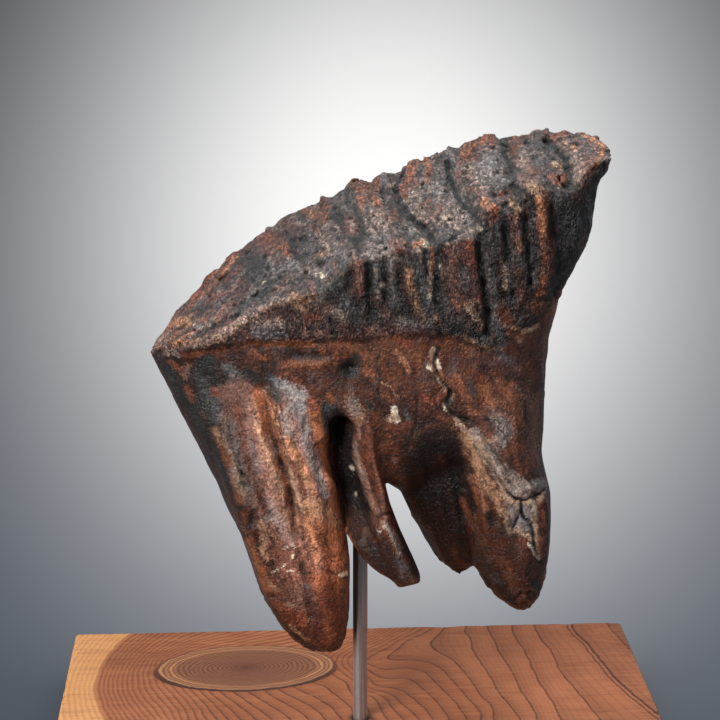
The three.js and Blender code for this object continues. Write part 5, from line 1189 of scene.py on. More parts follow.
    ("rb", 1.52, 0.6, ((26.2, 354.1), (25.2, 350.1))),
    ("gb", 2.54, 0.6, ((26.6, 358.6), (27.6, 354.1))),
    ("lg", 3.05, 0.5, ((35.2, 340.5), (40.1, 341.4))),
    ("gw", 3.55, 0.5, ((23.3, 347.1), (26.3, 341.1), (29.3, 335))),
    ("pk", 2.54, 0.5, ((32.3, 335.5), (37.2, 339))),
    ("gb", 2.54, 0.7, ((37.3, 327.4), (41.3, 324.8))),
    ("gd", 2.64, 0.95, ((17.4, 341.2), (18.9, 337.2), (21.4, 334.6))),
    ("gd", 1.32, 0.92, ((21.4, 333.6), (25.9, 330.5), (29.9, 327.5), (33.4, 324.4), (35.9, 320.8))),
    ("gb", 3.05, 0.7, ((19.5, 327.6), (23.4, 324))),
    ("gl", 2.54, 0.5, ((21.4, 330.1), (25.4, 327))),
    ("wh", 1.22, 0.95, ((29.4, 322.4), (30.9, 320.3))),
    ("ol", 1.62, 0.85, ((27.9, 321.9), (24.5, 320.4))),
    ("pk", 2.03, 0.6, ((21.5, 320), (17.5, 321.5))),
    ("gd", 1.52, 0.85, ((32.9, 323.9), (35.4, 318.8), (36.5, 314.7))),
    ("gd", 1.52, 0.6, ((39.9, 322.8), (38.9, 319.7))),
    ("pk", 6.09, 0.5, ((1.6, 348.4), (5.1, 340.8), (8.5, 333.3))),
    ("ob", 2.54, 0.88, ((-5.3, 351.9), (-2.8, 349.9))),
    ("ob", 2.34, 0.88, ((4.5, 349.8), (5.5, 353.3))),
    ("rb", 2.54, 0.8, ((-1.3, 351.4), (2.1, 350.4))),
    ("ob", 2.03, 0.8, ((-2.3, 344.4), (-1.3, 339.9))),
    ("ob", 2.03, 0.65, ((3.6, 345.9), (6, 341.8))),
    ("gw", 3.55, 0.6, ((1.1, 338.4), (4.6, 333.8))),
    ("gw", 2.54, 0.6, ((10, 336.3), (9, 330.2))),
    ("gw", 2.03, 0.6, ((3.6, 328.3), (6.1, 325.2))),
    ("gb", 1.83, 0.75, ((8.5, 355.3), (10, 350.3))),
    ("gb", 1.73, 0.7, ((8, 346.8), (11.5, 340.8))),
    ("gd", 1.22, 0.8, ((8, 348.3), (9.5, 344.3))),
    ("rd", 1.52, 0.8, ((18.3, 349.2), (19.3, 345.2))),
    ("gd", 1.52, 0.75, ((13.4, 348.2), (13.9, 343.2), (12.5, 337.2))),
    ("rb", 1.52, 0.6, ((14, 337.2), (15, 334.2))),
    ("gd", 2.74, 0.85, ((-15.6, 336.6), (-12.7, 334))),
    ("gd", 1.52, 0.6, ((-11.2, 337.5), (-8.2, 335.5))),
    ("gd", 3.3, 0.75, ((-6.3, 323.3), (-2.8, 321.8), (-0.8, 319.7))),
    ("gd", 2.54, 0.75, ((-3.3, 330.4), (-0.4, 326.3))),
    ("gd", 2.03, 0.7, ((-4.3, 337.4), (-2.3, 333.4))),
    ("gb", 4.06, 0.5, ((-9.7, 348.5), (-8.2, 341.5))),
    ("gb", 3.55, 0.5, ((-15.6, 342.1), (-19.1, 339.6))),
    ("gd", 2.54, 0.5, ((-7.2, 347.5), (-6.3, 342))),
    ("lg", 4.06, 0.8, ((1.6, 318.2), (6.1, 317.1), (10.6, 317))),
    ("gb", 2.54, 0.6, ((5.6, 324.2), (10.6, 323.1))),
    ("pk", 2.03, 0.75, ((13.5, 321.6), (18, 322.5))),
    ("rb", 1.52, 0.7, ((16, 319.5), (17.5, 317))),
    ("wh", 0.96, 0.52, ((16.1, 314.9), (17.1, 313.9))),
    ("pk", 2.54, 0.7, ((-7.3, 332.4), (-5.3, 330.4))),
    ("wh", 0.81, 0.6, ((-6.8, 331.9), (-5.8, 331.4))),
    ("mn", 2.03, 0.6, ((-9.7, 329.4), (-8.3, 326.4))),
    ("ob", 2.03, 0.75, ((-29.9, 338.2), (-26.5, 336.7))),
    ("tn", 1.52, 0.6, ((-26, 336.7), (-23, 337.6))),
    ("rb", 2.23, 0.75, ((-21, 344.1), (-19.1, 340.6), (-23, 335.6))),
    ("ob", 1.52, 0.65, ((-19.1, 336.1), (-20.6, 332.6))),
    ("ob", 2.03, 0.5, ((-26, 330.6), (-23.1, 328.6))),
    ("gd", 2.03, 0.6, ((-32.4, 337.2), (-29.9, 333.7))),
    ("gd", 3.05, 0.65, ((-32.5, 327.2), (-29, 323.6))),
    ("gd", 1.52, 0.7, ((-35.5, 322.2), (-32, 320.6))),
    ("mn", 3.55, 0.75, ((-38.8, 331.8), (-34.4, 328.7))),
    ("gd", 2.54, 0.5, ((-39.8, 327.3), (-37.9, 323.7))),
    ("rb", 3.05, 0.85, ((-46.3, 324.8), (-41.9, 323.8), (-46.8, 320.8))),
    ("ob", 2.54, 0.85, ((-39.9, 319.7), (-37, 316.6))),
    ("gd", 1.02, 0.85, ((-35, 320.7), (-34, 316.6))),
    ("rd", 2.03, 0.5, ((-50.7, 323.9), (-47.7, 325.9))),
    ("gl", 4.06, 0.6, ((-38, 311), (-33.1, 310))),
    ("gl", 3.05, 0.5, ((-43, 307.5), (-46.9, 311.7))),
    ("gw", 3.05, 0.5, ((-22.1, 324.5), (-17.2, 320.9))),
    ("gl", 3.05, 0.5, ((-14.2, 318.4), (-9.8, 315.3))),
    ("gb", 4.06, 0.6, ((-27.1, 318.5), (-24.2, 312.4))),
    ("tn", 1.22, 0.7, ((-24.6, 314.9), (-21.2, 316.4), (-18.2, 317.4))),
    ("gd", 1.52, 0.6, ((-23.2, 314.4), (-20.2, 312.3))),
    ("gd", 5.08, 0.8, ((-57.8, 314.9), (-53.9, 309.7), (-57, 304.7))),
    ("gd", 3.05, 0.75, ((-51, 302.5), (-46.1, 301.4), (-42.1, 302.4))),
    ("gd", 2.54, 0.6, ((-61.8, 312.9), (-58.9, 307.7))),
    ("gb", 2.54, 0.5, ((-54, 305.6), (-48, 307.6))),
    ("gd", 2.54, 0.5, ((-50.9, 314.8), (-48.9, 310.7))),
    ("pk", 2.54, 0.5, ((-44, 313.7), (-45.9, 318.8))),
    ("gw", 2.54, 0.7, ((-23.2, 306.8), (-19.3, 303.6))),
    ("wh", 1.32, 0.85, ((-23.7, 306.3), (-21.2, 305.2))),
    ("wh", 0.81, 0.7, ((-19.8, 303.1), (-18.3, 302.6))),
    ("pk", 2.03, 0.7, ((-26.7, 301.2), (-24.3, 296))),
    ("rb", 1.52, 0.5, ((-27.2, 298.1), (-25.3, 294))),
    ("ob", 1.52, 0.75, ((-15.2, 311.3), (-14.3, 307.7))),
    ("gb", 2.54, 0.6, ((-11.8, 311.2), (-17.2, 307.7))),
    ("gd", 3.05, 0.7, ((-11.3, 304), (-14.3, 300))),
    ("tn", 3.05, 0.6, ((-34.7, 294.6), (-30.3, 293.5), (-31.3, 289.9))),
    ("ob", 1.52, 0.6, ((-32.3, 294.1), (-29.8, 293))),
    ("pk", 4.06, 0.5, ((-23.3, 291.9), (-17.3, 289.2))),
    ("gd", 2.03, 0.8, ((-18.3, 296.4), (-15.8, 290.7))),
    ("gb", 3.05, 0.6, ((-22.3, 300.6), (-21.3, 294.9))),
    ("gb", 2.54, 0.55, ((-9.8, 292.7), (-7.3, 287.5))),
    ("gw", 2.54, 0.5, ((-14.8, 286.6), (-10.3, 284.5))),
    ("gd", 1.52, 0.6, ((7.7, 290.4), (5.7, 286.3), (3.7, 281.1))),
    ("pk", 2.03, 0.4, ((8.7, 286.3), (12.7, 284.1))),
    ("gd", 0.76, 0.8, ((-61.7, 314.9), (-67.8, 307.9), (-74.8, 300.8), (-80.9, 294.2), (-86, 288.1))),
    ("gd", 0.66, 0.7, ((-54.8, 314.8), (-60.9, 307.8), (-66.9, 301.2), (-71, 297.7))),
    ("gd", 0.61, 0.7, ((-67.7, 313), (-73.7, 306.4), (-78.8, 300.4))),
    ("ol", 0.66, 0.6, ((-64.7, 312.9), (-70.8, 306.4), (-76.8, 299.8), (-81.9, 293.7))),
    ("tn", 0.51, 0.6, ((-71.7, 308.9), (-76.8, 303.4))),
    ("gl", 0.76, 0.6, ((-58.9, 308.8), (-63.9, 303.7), (-69, 297.7))),
    ("bk", 0.81, 0.7, ((-71.1, 292.6), (-66, 296.6), (-61, 300.1))),
    ("gl", 0.61, 0.6, ((-84, 290.7), (-78.9, 295.2))),
    ("gd", 0.71, 0.7, ((-93.3, 278.4), (-87.2, 283), (-81.1, 287.5))),
    ("bg", 0.51, 0.6, ((-102.4, 273.4), (-98.3, 276.9), (-93.2, 281))),
    ("gd", 0.71, 0.7, ((-98.4, 271.7), (-92.3, 275.3), (-87.3, 278.3))),
    ("gl", 0.81, 0.5, ((-89.4, 273.7), (-84.3, 276.7))),
    ("pk", 1.12, 0.6, ((-79.2, 285.5), (-75.1, 289.5))),
    ("rd", 1.12, 0.6, ((-75, 293.6), (-70, 297.7))),
    ("gd", 1.12, 0.7, ((-55.9, 307.7), (-50.9, 312.7), (-47.9, 316.8))),
    ("gl", 1.02, 0.6, ((-53, 303.6), (-49, 307.6))),
    ("wh", 0.51, 0.5, ((-50.6, 302), (-49.1, 303))),
    ("gl", 0.81, 0.6, ((-59.1, 293.4), (-54.1, 298.5))),
    ("gd", 1.02, 0.7, ((-51.1, 295.4), (-46.1, 301.4))),
    ("pk", 1.52, 0.5, ((-44.2, 298.3), (-39.1, 303.4))),
    ("bk", 2.54, 0.8, ((34.5, 220.2), (38.6, 223.4), (42.7, 222.2))),
    ("db", 1.02, 0.8, ((24.3, 211.7), (27.4, 219.3), (32.4, 223.5), (38.6, 224.4), (44.8, 222.2), (49, 215.6))),
    ("mb", 0.71, 0.6, ((23.3, 213.9), (26.3, 221.4), (32.4, 225.6), (39.6, 226.6), (46.8, 223.2))),
    ("bk", 4.57, 0.9, ((30.6, 206.2), (34.6, 212.6), (39.7, 214.7), (44.9, 211.3))),
    ("bk", 4.06, 0.7, ((36.8, 201.7), (39.1, 185.2), (42.4, 168.5))),
    ("db", 5.08, 0.6, ((33, 174.2), (39.4, 157.4), (45.9, 143.1))),
    ("md", 2.54, 0.5, ((27.5, 201.9), (30.8, 185.3), (35.1, 168.6))),
    ("rb", 1.02, 0.5, ((51, 184.9), (53.9, 168.2), (57.3, 153.6))),
    ("bk", 0.81, 0.85, ((40.3, 361.4), (41.9, 356.9), (42.9, 352.4), (44.5, 347.9), (46, 343.9), (48.6, 339.8), (52.1, 336.8), (55.1, 334.2), (57.7, 329.7))),
    ("bk", 0.66, 0.8, ((67.1, 375.9), (67.7, 371.5), (67.3, 367.1), (69.8, 363.6), (71.9, 359.6), (73, 354.6), (75.1, 350.6), (78.2, 346.5))),
    ("bk", 0.76, 0.8, ((20.2, 359.1), (17.3, 354.7), (15.4, 349.7), (16.9, 344.7), (19.4, 339.7), (23.4, 334.6), (27.4, 331.5), (31.4, 328.4))),
    ("bk", 0.76, 0.8, ((85.9, 372.3), (89.9, 370.8), (93.9, 368.3), (97, 364.3), (99.6, 359.3), (101.3, 353.3), (100, 347.3))),
    ("bk", 0.66, 0.75, ((60.8, 346.2), (65.2, 347.7), (70.2, 349.1), (74.2, 347.6), (77.2, 344.5))),
    ("bk", 0.71, 0.75, ((3.6, 347.4), (1.6, 342.4), (0.6, 336.9), (3.1, 331.3), (7.1, 326.7))),
    ("bk", 0.66, 0.7, ((-12.2, 340), (-13.7, 334.5), (-11.7, 329), (-7.8, 324.9), (-4.3, 321.8))),
    ("bk", 0.66, 0.7, ((-24, 332.6), (-25.5, 327.1), (-23.1, 321.5), (-19.2, 317.4))),
    ("bk", 0.61, 0.7, ((-35.9, 323.7), (-37, 318.7), (-34.1, 314.6), (-30.1, 312))),
    ("gl", 0.51, 0.6, ((42.4, 357.9), (44.9, 349.9), (48.5, 342.9), (53, 337.8))),
    ("gl", 0.51, 0.5, ((17.4, 347.2), (20.9, 339.7), (26.3, 333.1))),
    ("gl", 0.51, 0.5, ((69.8, 367.5), (72.9, 358.6), (77.1, 349.6))),
    ("gl", 0.51, 0.5, ((3.1, 340.4), (4.6, 334.3), (9.5, 328.2))),
    ("ol", 0.81, 0.38, ((43.8, 292), (46.8, 288.8), (49.8, 290.3))),
    ("ob", 3.05, 0.5, ((-21.7, 224.5), (-17.7, 202.7), (-13.7, 183.5))),
    ("ol", 1.52, 0.45, ((-30.3, 175.6), (-27.2, 164.4), (-24.2, 153.1))),
    ("pk", 3.05, 0.45, ((-47.4, 203.3), (-42.6, 181.3), (-38.6, 164.6))),
    ("ol", 1.12, 0.5, ((-52.2, 225), (-49.3, 214.2), (-45.4, 203.3))),
    ("bg", 0.71, 0.5, ((-38.2, 203.1), (-35.3, 191.1), (-31.8, 180))),
    ("bk", 1.83, 0.9, ((-7.9, 260.4), (-7.4, 257.7), (-7.4, 255.1))),
    ("ob", 2.03, 0.5, ((99.1, 295.3), (96.7, 291.2), (94.9, 285))),
    ("rd", 1.52, 0.5, ((101, 299.5), (98.1, 294.3), (95.8, 288.1))),
    ("mb", 1.52, 0.5, ((102.4, 302.5), (100.1, 297.4))),
    ("ol", 1.12, 0.5, ((15.8, 265.3), (19.9, 261), (23, 254.6))),
    ("ob", 1.78, 0.5, ((32.1, 260.8), (37.2, 254.4), (44.4, 247.9))),
    ("rd", 1.52, 0.5, ((53.5, 254.1), (59.7, 249.8), (69, 243.2))),
    ("ob", 1.52, 0.5, ((61.9, 238), (69.2, 232.5), (77.5, 228.1))),
    ("tn", 0.61, 0.5, ((8.8, 249.6), (13.9, 246.3), (17, 240.9))),
    ("mn", 1.27, 0.5, ((38.1, 264.9), (46.2, 261.6), (55.4, 259.4))),
    ("gd", 1.02, 0.85, ((-20.1, 238.3), (-17.1, 235.1), (-13.5, 232.9))),
    ("gd", 0.76, 0.75, ((-21.1, 234.6), (-20.7, 228.7), (-19.7, 223.3))),
    ("bk", 0.66, 0.85, ((-13, 233.4), (-9.5, 231.8), (-6.4, 226.9))),
    ("db", 0.76, 0.6, ((-5.4, 227.4), (-3.9, 220.9), (-2.3, 213.3))),
    ("gb", 0.51, 0.5, ((-18.6, 238.3), (-15.5, 235.6))),
    ("mb", 1.02, 0.5, ((-23.6, 241.6), (-19.6, 240.5), (-15.5, 238.8))),
]
# </strokes>


# painted light and shade: broad places made lighter or darker where the light falls more or less: gain, half-width,
# width of the soft edge, points in front coordinates
LIGHT_SHADE_GAINS = [
    (2.05, 13, 10, ((-42, 236), (-33, 190), (-26, 156))), (1.35, 12, 12, ((-22, 140), (-14, 112))), (1.75, 3, 5, ((-20, 215), (-12.7, 175), (-9, 140))),
    (1.35, 4, 4, ((-68, 276), (-54, 284), (-40, 290))), (1.22, 12, 12, ((14, 262), (30, 244), (34, 226))), (1.5, 4, 4, ((40, 158), (46, 140))),
    (1.15, 7, 6, ((-56, 279), (-40, 281), (-28, 276))), (0.42, 9, 7, ((36, 205), (38, 180), (45, 150), (52, 128))),
    (0.55, 7, 7, ((22, 195), (30, 165), (42, 138))), (0.45, 9, 9, ((62, 165), (74, 140), (84, 116))),
    (1.5, 6, 4, ((84, 184), (88, 165))), (1.12, 6, 6, ((60, 215), (78, 190))), (1.30, 8, 6, ((-10, 222), (-6, 205), (4, 185))),
    (1.22, 16, 14, ((-2, 322), (27, 341), (57, 353), (86, 362), (100, 366))),
    (0.72, 3.5, 3, ((84, 332), (86, 300), (84, 284))), (0.75, 8, 8, ((-84, 240), (-74, 216), (-66, 190)))]


def linear(c):
    c = np.array(c, float) / 255
    return np.where(c <= 0.04045, c / 12.92, ((c + 0.055) / 1.055) ** 2.4)


def brush(px, pz, strokes, rgb, cover, mask, k=1.0):
    """lay the strokes over rgb in order; cover gathers how much of a point is painted"""
    for i, (name, w, strength, pts) in enumerate(strokes):
        xs, zs = [p[0] for p in pts], [p[1] for p in pts]
        r = 1.7 * w + 1.0
        sel = np.nonzero((px > min(xs) - r) & (px < max(xs) + r) & (pz > min(zs) - r) & (pz < max(zs) + r) & mask)[0]
        if len(sel) == 0:
            continue
        d, _, _ = line2(px[sel], pz[sel], pts)
        a = strength * k * (1 - sstep(w * 0.2, w * 1.6 + 0.3, d))
        c = linear(PALETTE[name])
        old = cover[sel]
        new = a + old * (1 - a)
        ok = new > 1e-5
        mixed = rgb[sel]
        mixed[ok] = (c[None] * a[ok, None] + mixed[ok] * (old * (1 - a))[ok, None]) / new[ok, None]
        rgb[sel] = mixed
        cover[sel] = new


me = tooth.data
v, nrm, e = mesh_arrays(me)
x, y, z = v[:, 0], v[:, 1], v[:, 2]
cav_s = hollowness(v, nrm, e, 6)
cav_l = hollowness(v, nrm, e, 60)
tick("hollowness")
near, far = 1 - sstep(-20, -2, y), sstep(2, 20, y)
zc = look(CERVIX, x)[0]
zo = occ_height(x, y, False)
w1 = x + 1.6 * noise3(x / 8, y / 8, z / 8, 71)
w2 = z + 1.6 * noise3(x / 8, y / 8, z / 8, 72)
crown = sstep(-2.2, 2.2, z - zc + 2.2 * noise3(x / 9, y / 9, z / 9, 73))
occl = sstep(7.0, 2.0, zo - z) * sstep(0.0, 0.45, nrm[:, 2])
put(me, "crown", crown)
put(me, "occl", occl)
put(me, "cav", np.clip(cav_s / 0.9, -1, 1))
put(me, "cavl", np.clip(cav_l / 3.0, -1, 1))
# black patches and painted shade: the dark patches on the front root's left are the tooth's own colour; the slot, its
# back wall, the middle root's recessed flank, the hollow, the rear end face, the front root's left edge and the
# down-facing undersides get painted shade
black_and_shade = np.zeros_like(x)
black_and_shade = np.maximum(black_and_shade, near * blob(w1, w2, -76, 243, 11, 17, 0.35, 1) * 0.75 * (1 - blob(w1, w2, -74.3, 243.1, 3.4, 3.4, 0.2, 2, 3)))
black_and_shade = np.maximum(black_and_shade, near * blob(w1, w2, -66, 251, 6, 4, 0.3, 3) * 0.5)
fx, fz = front(x, y, z)
sl = look(SLOT, fz)
# painted shade in the slot between the front and the middle root
slot_shade = (1 - sstep(-0.6, 1.0, np.abs(fx - sl[0]) - sl[1])) * (1 - sstep(228, 236, fz)) * sstep(-38, -31, y) * sstep(160, 166, fz)
black_and_shade = np.maximum(black_and_shade, slot_shade)
# painted shade on the middle root's recessed flank
recess = look(RIDGE, fz)[0] - fx
black_and_shade = np.maximum(black_and_shade, sstep(-0.4, 1.6, recess + 0.8 * noise3(x / 3, y / 3, z / 5, 78)) * sstep(156, 166, fz) * (1 - sstep(226, 236, fz)) * (x > -24) * (x < 12) * sstep(-37, -33, y))
# painted shade on the back wall of the slot
black_and_shade = np.maximum(black_and_shade, (1 - sstep(-2, 6, tube(x, y, z, [(-6, 6, 205), (-4, 6, 165), (4, 10, 145)], [14, 13, 9]))) * sstep(-10, 0, y))
# painted shade in the hollow between the middle and the rear roots
hollow_shade_tube = tube(x, y, z, [(38, -40, 208), (41, -38, 185), (48, -36, 160), (54, -30, 142)], [9, 11, 8, 5])
black_and_shade = np.maximum(black_and_shade, (1 - sstep(-4, 6, hollow_shade_tube + 2.2 * noise3(x / 5, y / 5, z / 9, 74))) * 0.85)
# painted shade on the rear end face of the crown
black_and_shade = np.maximum(black_and_shade, sstep(99, 106, x + 3 * noise3(x / 6, y / 6, z / 6, 75)) * crown * (1 - occl) * 0.95)
# painted shade along the front root's left edge
edge = look(ROOT_A, z)[0]
black_and_shade = np.maximum(black_and_shade, (1 - sstep(7, 12, x - edge)) * (z < 262) * sstep(150, 190, z) * 0.75 * (x < -30))
black_and_shade = np.maximum(black_and_shade, sstep(183, 150, z) * (np.abs(y) < 40) * sstep(-12, 4, x) * (x < 60) * 0.0)
# painted shade on the undersides that face down
underside_shade = sstep(-0.35, -0.8, nrm[:, 2]) * sstep(170, 185, z)
black_and_shade = np.maximum(black_and_shade, underside_shade)
put(me, "black_and_shade", np.clip(black_and_shade, 0, 1))
# painted marks, painted shade and highlights among them: what the front shows, and the same plates carried through to
# the far face
fx, fz = front(x, y, z)
jx = 0.55 * noise3(x / 4.5, y / 4.5, z / 4.5, 91) + 0.4 * noise3(x / 1.9, y / 1.9, z / 1.9, 92)
jz = 0.55 * noise3(x / 4.5, y / 4.5, z / 4.5, 93) + 0.4 * noise3(x / 1.9, y / 1.9, z / 1.9, 94)
toeye = np.stack([EYE[0] - x, EYE[1] - y, EYE[2] - z], 1)
toeye /= np.linalg.norm(toeye, axis=1)[:, None]
facing = (toeye * nrm).sum(1)
seen = (facing > -0.02) & ((y < 6) | (zo - z < 12))
rgb = np.tile(linear((90, 70, 62)), (len(x), 1))
cover = np.zeros(len(x))
brush(fx + jx, fz + jz, STROKES, rgb, cover, seen)
gx_, gz_ = far_as_near(x, z)
back = (y > 8) & (facing <= -0.02) & (z - zc > 1)
brush(gx_ + 1.6 * jx, gz_ + 2.0 * jz, STROKES, rgb, cover, back, 0.8)
fade = np.where(seen, sstep(-0.02, 0.10, facing), np.where(back, sstep(1, 5, z - zc) * 0.8, 0))
col = me.color_attributes.new("paint", "FLOAT_COLOR", "POINT")
col.data.foreach_set("color", np.concatenate([rgb, np.ones((len(x), 1))], 1).astype(np.float32).ravel())
put(me, "cover", np.clip(cover * fade, 0, 1))
# painted light and shade: a gain on the colour for each broad place
light_shade_gain = np.ones(len(x))
for g, w, soft, pts in LIGHT_SHADE_GAINS:
    d, _, _ = line2(fx + 2 * jx, fz + 2 * jz, pts)
    light_shade_gain *= 1 + (g - 1) * (1 - sstep(w, w + soft, d)) * (seen | (near > 0.5))
put(me, "light_shade_gain", light_shade_gain)
put(me, "body", (1 - sstep(250, 262, z)) * np.maximum(sstep(176, 204, z) * sstep(-20, 0, x), sstep(230, 244, z)))
rust = occl * sstep(-52, -80, x + 6 * noise3(x / 14, y / 7, z / 14, 76)) * 0.6
put(me, "orange", np.clip(rust, 0, 1))
# coordinates that run along each root, for streaks
num, den = np.zeros_like(x), 1e-6 + np.exp(-np.clip(loft(x, y, z, BODY, 3.4, 2.5, False), -8, 60) / 3.0)
for tab, ztop in ((ROOT_A, 240), (ROOT_M1, 222), (ROOT_R1, 215), (ROOT_R2, 230), (ROOT_R3, 215)):
    mid_x = tab[1][:, 0:2].mean(1)
    lean = np.interp(np.minimum(z, ztop), tab[0], mid_x) - np.interp(ztop, tab[0], mid_x)
    w = np.exp(-np.clip(loft(x, y, z, tab, 2.6, 2.3), -8, 60) / 3.0)
    num, den = num + w * lean, den + w
fan = (1 - sstep(6, 13, line2(fx, fz, [(58, 216), (88, 178)])[0])) * near
run = x - num / den - fan * 0.62 * np.clip(216 - fz, 0, 60)
fl = me.attributes.new("flow", "FLOAT_VECTOR", "POINT")
fl.data.foreach_set("vector", (np.stack([run, y, z], 1) * MM).astype(np.float32).ravel())
tick("tooth values")


# =====================================================================================
# node helpers
# =====================================================================================
class Nodes:
    def __init__(self, name):
        self.mat = bpy.data.materials.new(name)
        self.mat.use_nodes = True
        self.t = self.mat.node_tree
        self.t.nodes.clear()
        self.out = self.t.nodes.new("ShaderNodeOutputMaterial")
        self.bsdf = self.t.nodes.new("ShaderNodeBsdfPrincipled")
        self.t.links.new(self.bsdf.outputs[0], self.out.inputs[0])

    def n(self, kind, **props):
        node = self.t.nodes.new(kind)
        for k, val in props.items():
            setattr(node, k, val)
        return node

    def link(self, a, b):
        self.t.links.new(a, b)

    def val(self, sock, value):
        if hasattr(value, "is_linked") or isinstance(value, bpy.types.NodeSocket):
            self.t.links.new(value, sock)
        else:
            sock.default_value = value

    def attr(self, name):
        a = self.n("ShaderNodeAttribute")
        a.attribute_name = name
        return a.outputs["Fac"]

    def coords(self, scale=(1, 1, 1), loc=(0, 0, 0), rot=(0, 0, 0), warp=None, amount=0.0):
        tc = self.n("ShaderNodeTexCoord")
        src = tc.outputs["Object"]
        if warp is not None:
            add = self.n("ShaderNodeVectorMath", operation="MULTIPLY_ADD")
            self.link(warp, add.inputs[0])
            add.inputs[1].default_value = (amount,) * 3
            self.link(src, add.inputs[2])
            src = add.outputs[0]
        mp = self.n("ShaderNodeMapping")
        mp.inputs["Scale"].default_value = scale
        mp.inputs["Location"].default_value = loc
        mp.inputs["Rotation"].default_value = rot
        self.link(src, mp.inputs[0])
        return mp.outputs[0]

    def noise(self, vec, scale, detail=4.0, rough=0.55, dist=0.0, out="Fac", kind="FBM"):
        nz = self.n("ShaderNodeTexNoise", noise_dimensions="3D")
        nz.noise_type = kind
        self.link(vec, nz.inputs["Vector"])
        nz.inputs["Scale"].default_value = scale
        nz.inputs["Detail"].default_value = detail
        nz.inputs["Roughness"].default_value = rough
        nz.inputs["Distortion"].default_value = dist
        return nz.outputs[out]

    def voro(self, vec, scale, feature="F1", out="Distance", rand=1.0):
        vz = self.n("ShaderNodeTexVoronoi", feature=feature)
        self.link(vec, vz.inputs["Vector"])
        vz.inputs["Scale"].default_value = scale
        vz.inputs["Randomness"].default_value = rand
        return vz.outputs[out]

    def math(self, op, a, b=0.0, c=None, clamp=False):
        m = self.n("ShaderNodeMath", operation=op)
        m.use_clamp = clamp
        self.val(m.inputs[0], a)
        if len(m.inputs) > 1:
            self.val(m.inputs[1], b)
        if c is not None:
            self.val(m.inputs[2], c)
        return m.outputs[0]

    def remap(self, v, a, b, c=0.0, d=1.0, smooth=True):
        m = self.n("ShaderNodeMapRange")
        m.interpolation_type = "SMOOTHSTEP" if smooth else "LINEAR"
        self.val(m.inputs[0], v)
        m.inputs[1].default_value, m.inputs[2].default_value = a, b
        m.inputs[3].default_value, m.inputs[4].default_value = c, d
        return m.outputs[0]

    def ramp(self, v, stops, interp="LINEAR"):
        r = self.n("ShaderNodeValToRGB")
        r.color_ramp.interpolation = interp
        els = r.color_ramp.elements
        while len(els) > 1:
            els.remove(els[-1])
        els[0].position, els[0].color = stops[0][0], (*stops[0][1], 1)
        for p, c in stops[1:]:
            el = els.new(p)
            el.color = (*c, 1)
        self.val(r.inputs[0], v)
        return r.outputs[0]

    def mix(self, f, a, b, mode="MIX"):
        m = self.n("ShaderNodeMix", data_type="RGBA", blend_type=mode)
        m.clamp_factor = True
        self.val(m.inputs[0], f)
        for s, value in ((m.inputs[6], a), (m.inputs[7], b)):
            if isinstance(value, tuple):
                s.default_value = (*value, 1)
            else:
                self.link(value, s)
        return m.outputs[2]

    def bump(self, height, strength, distance, normal=None):
        b = self.n("ShaderNodeBump")
        b.inputs["Strength"].default_value = strength
        b.inputs["Distance"].default_value = distance
        self.link(height, b.inputs["Height"])
        if normal is not None:
            self.link(normal, b.inputs["Normal"])
        return b.outputs[0]


def srgb(r, g, b):
    f = lambda c: (c / 255 / 12.92) if c / 255 <= 0.04045 else ((c / 255 + 0.055) / 1.055) ** 2.4
    return (f(r), f(g), f(b))


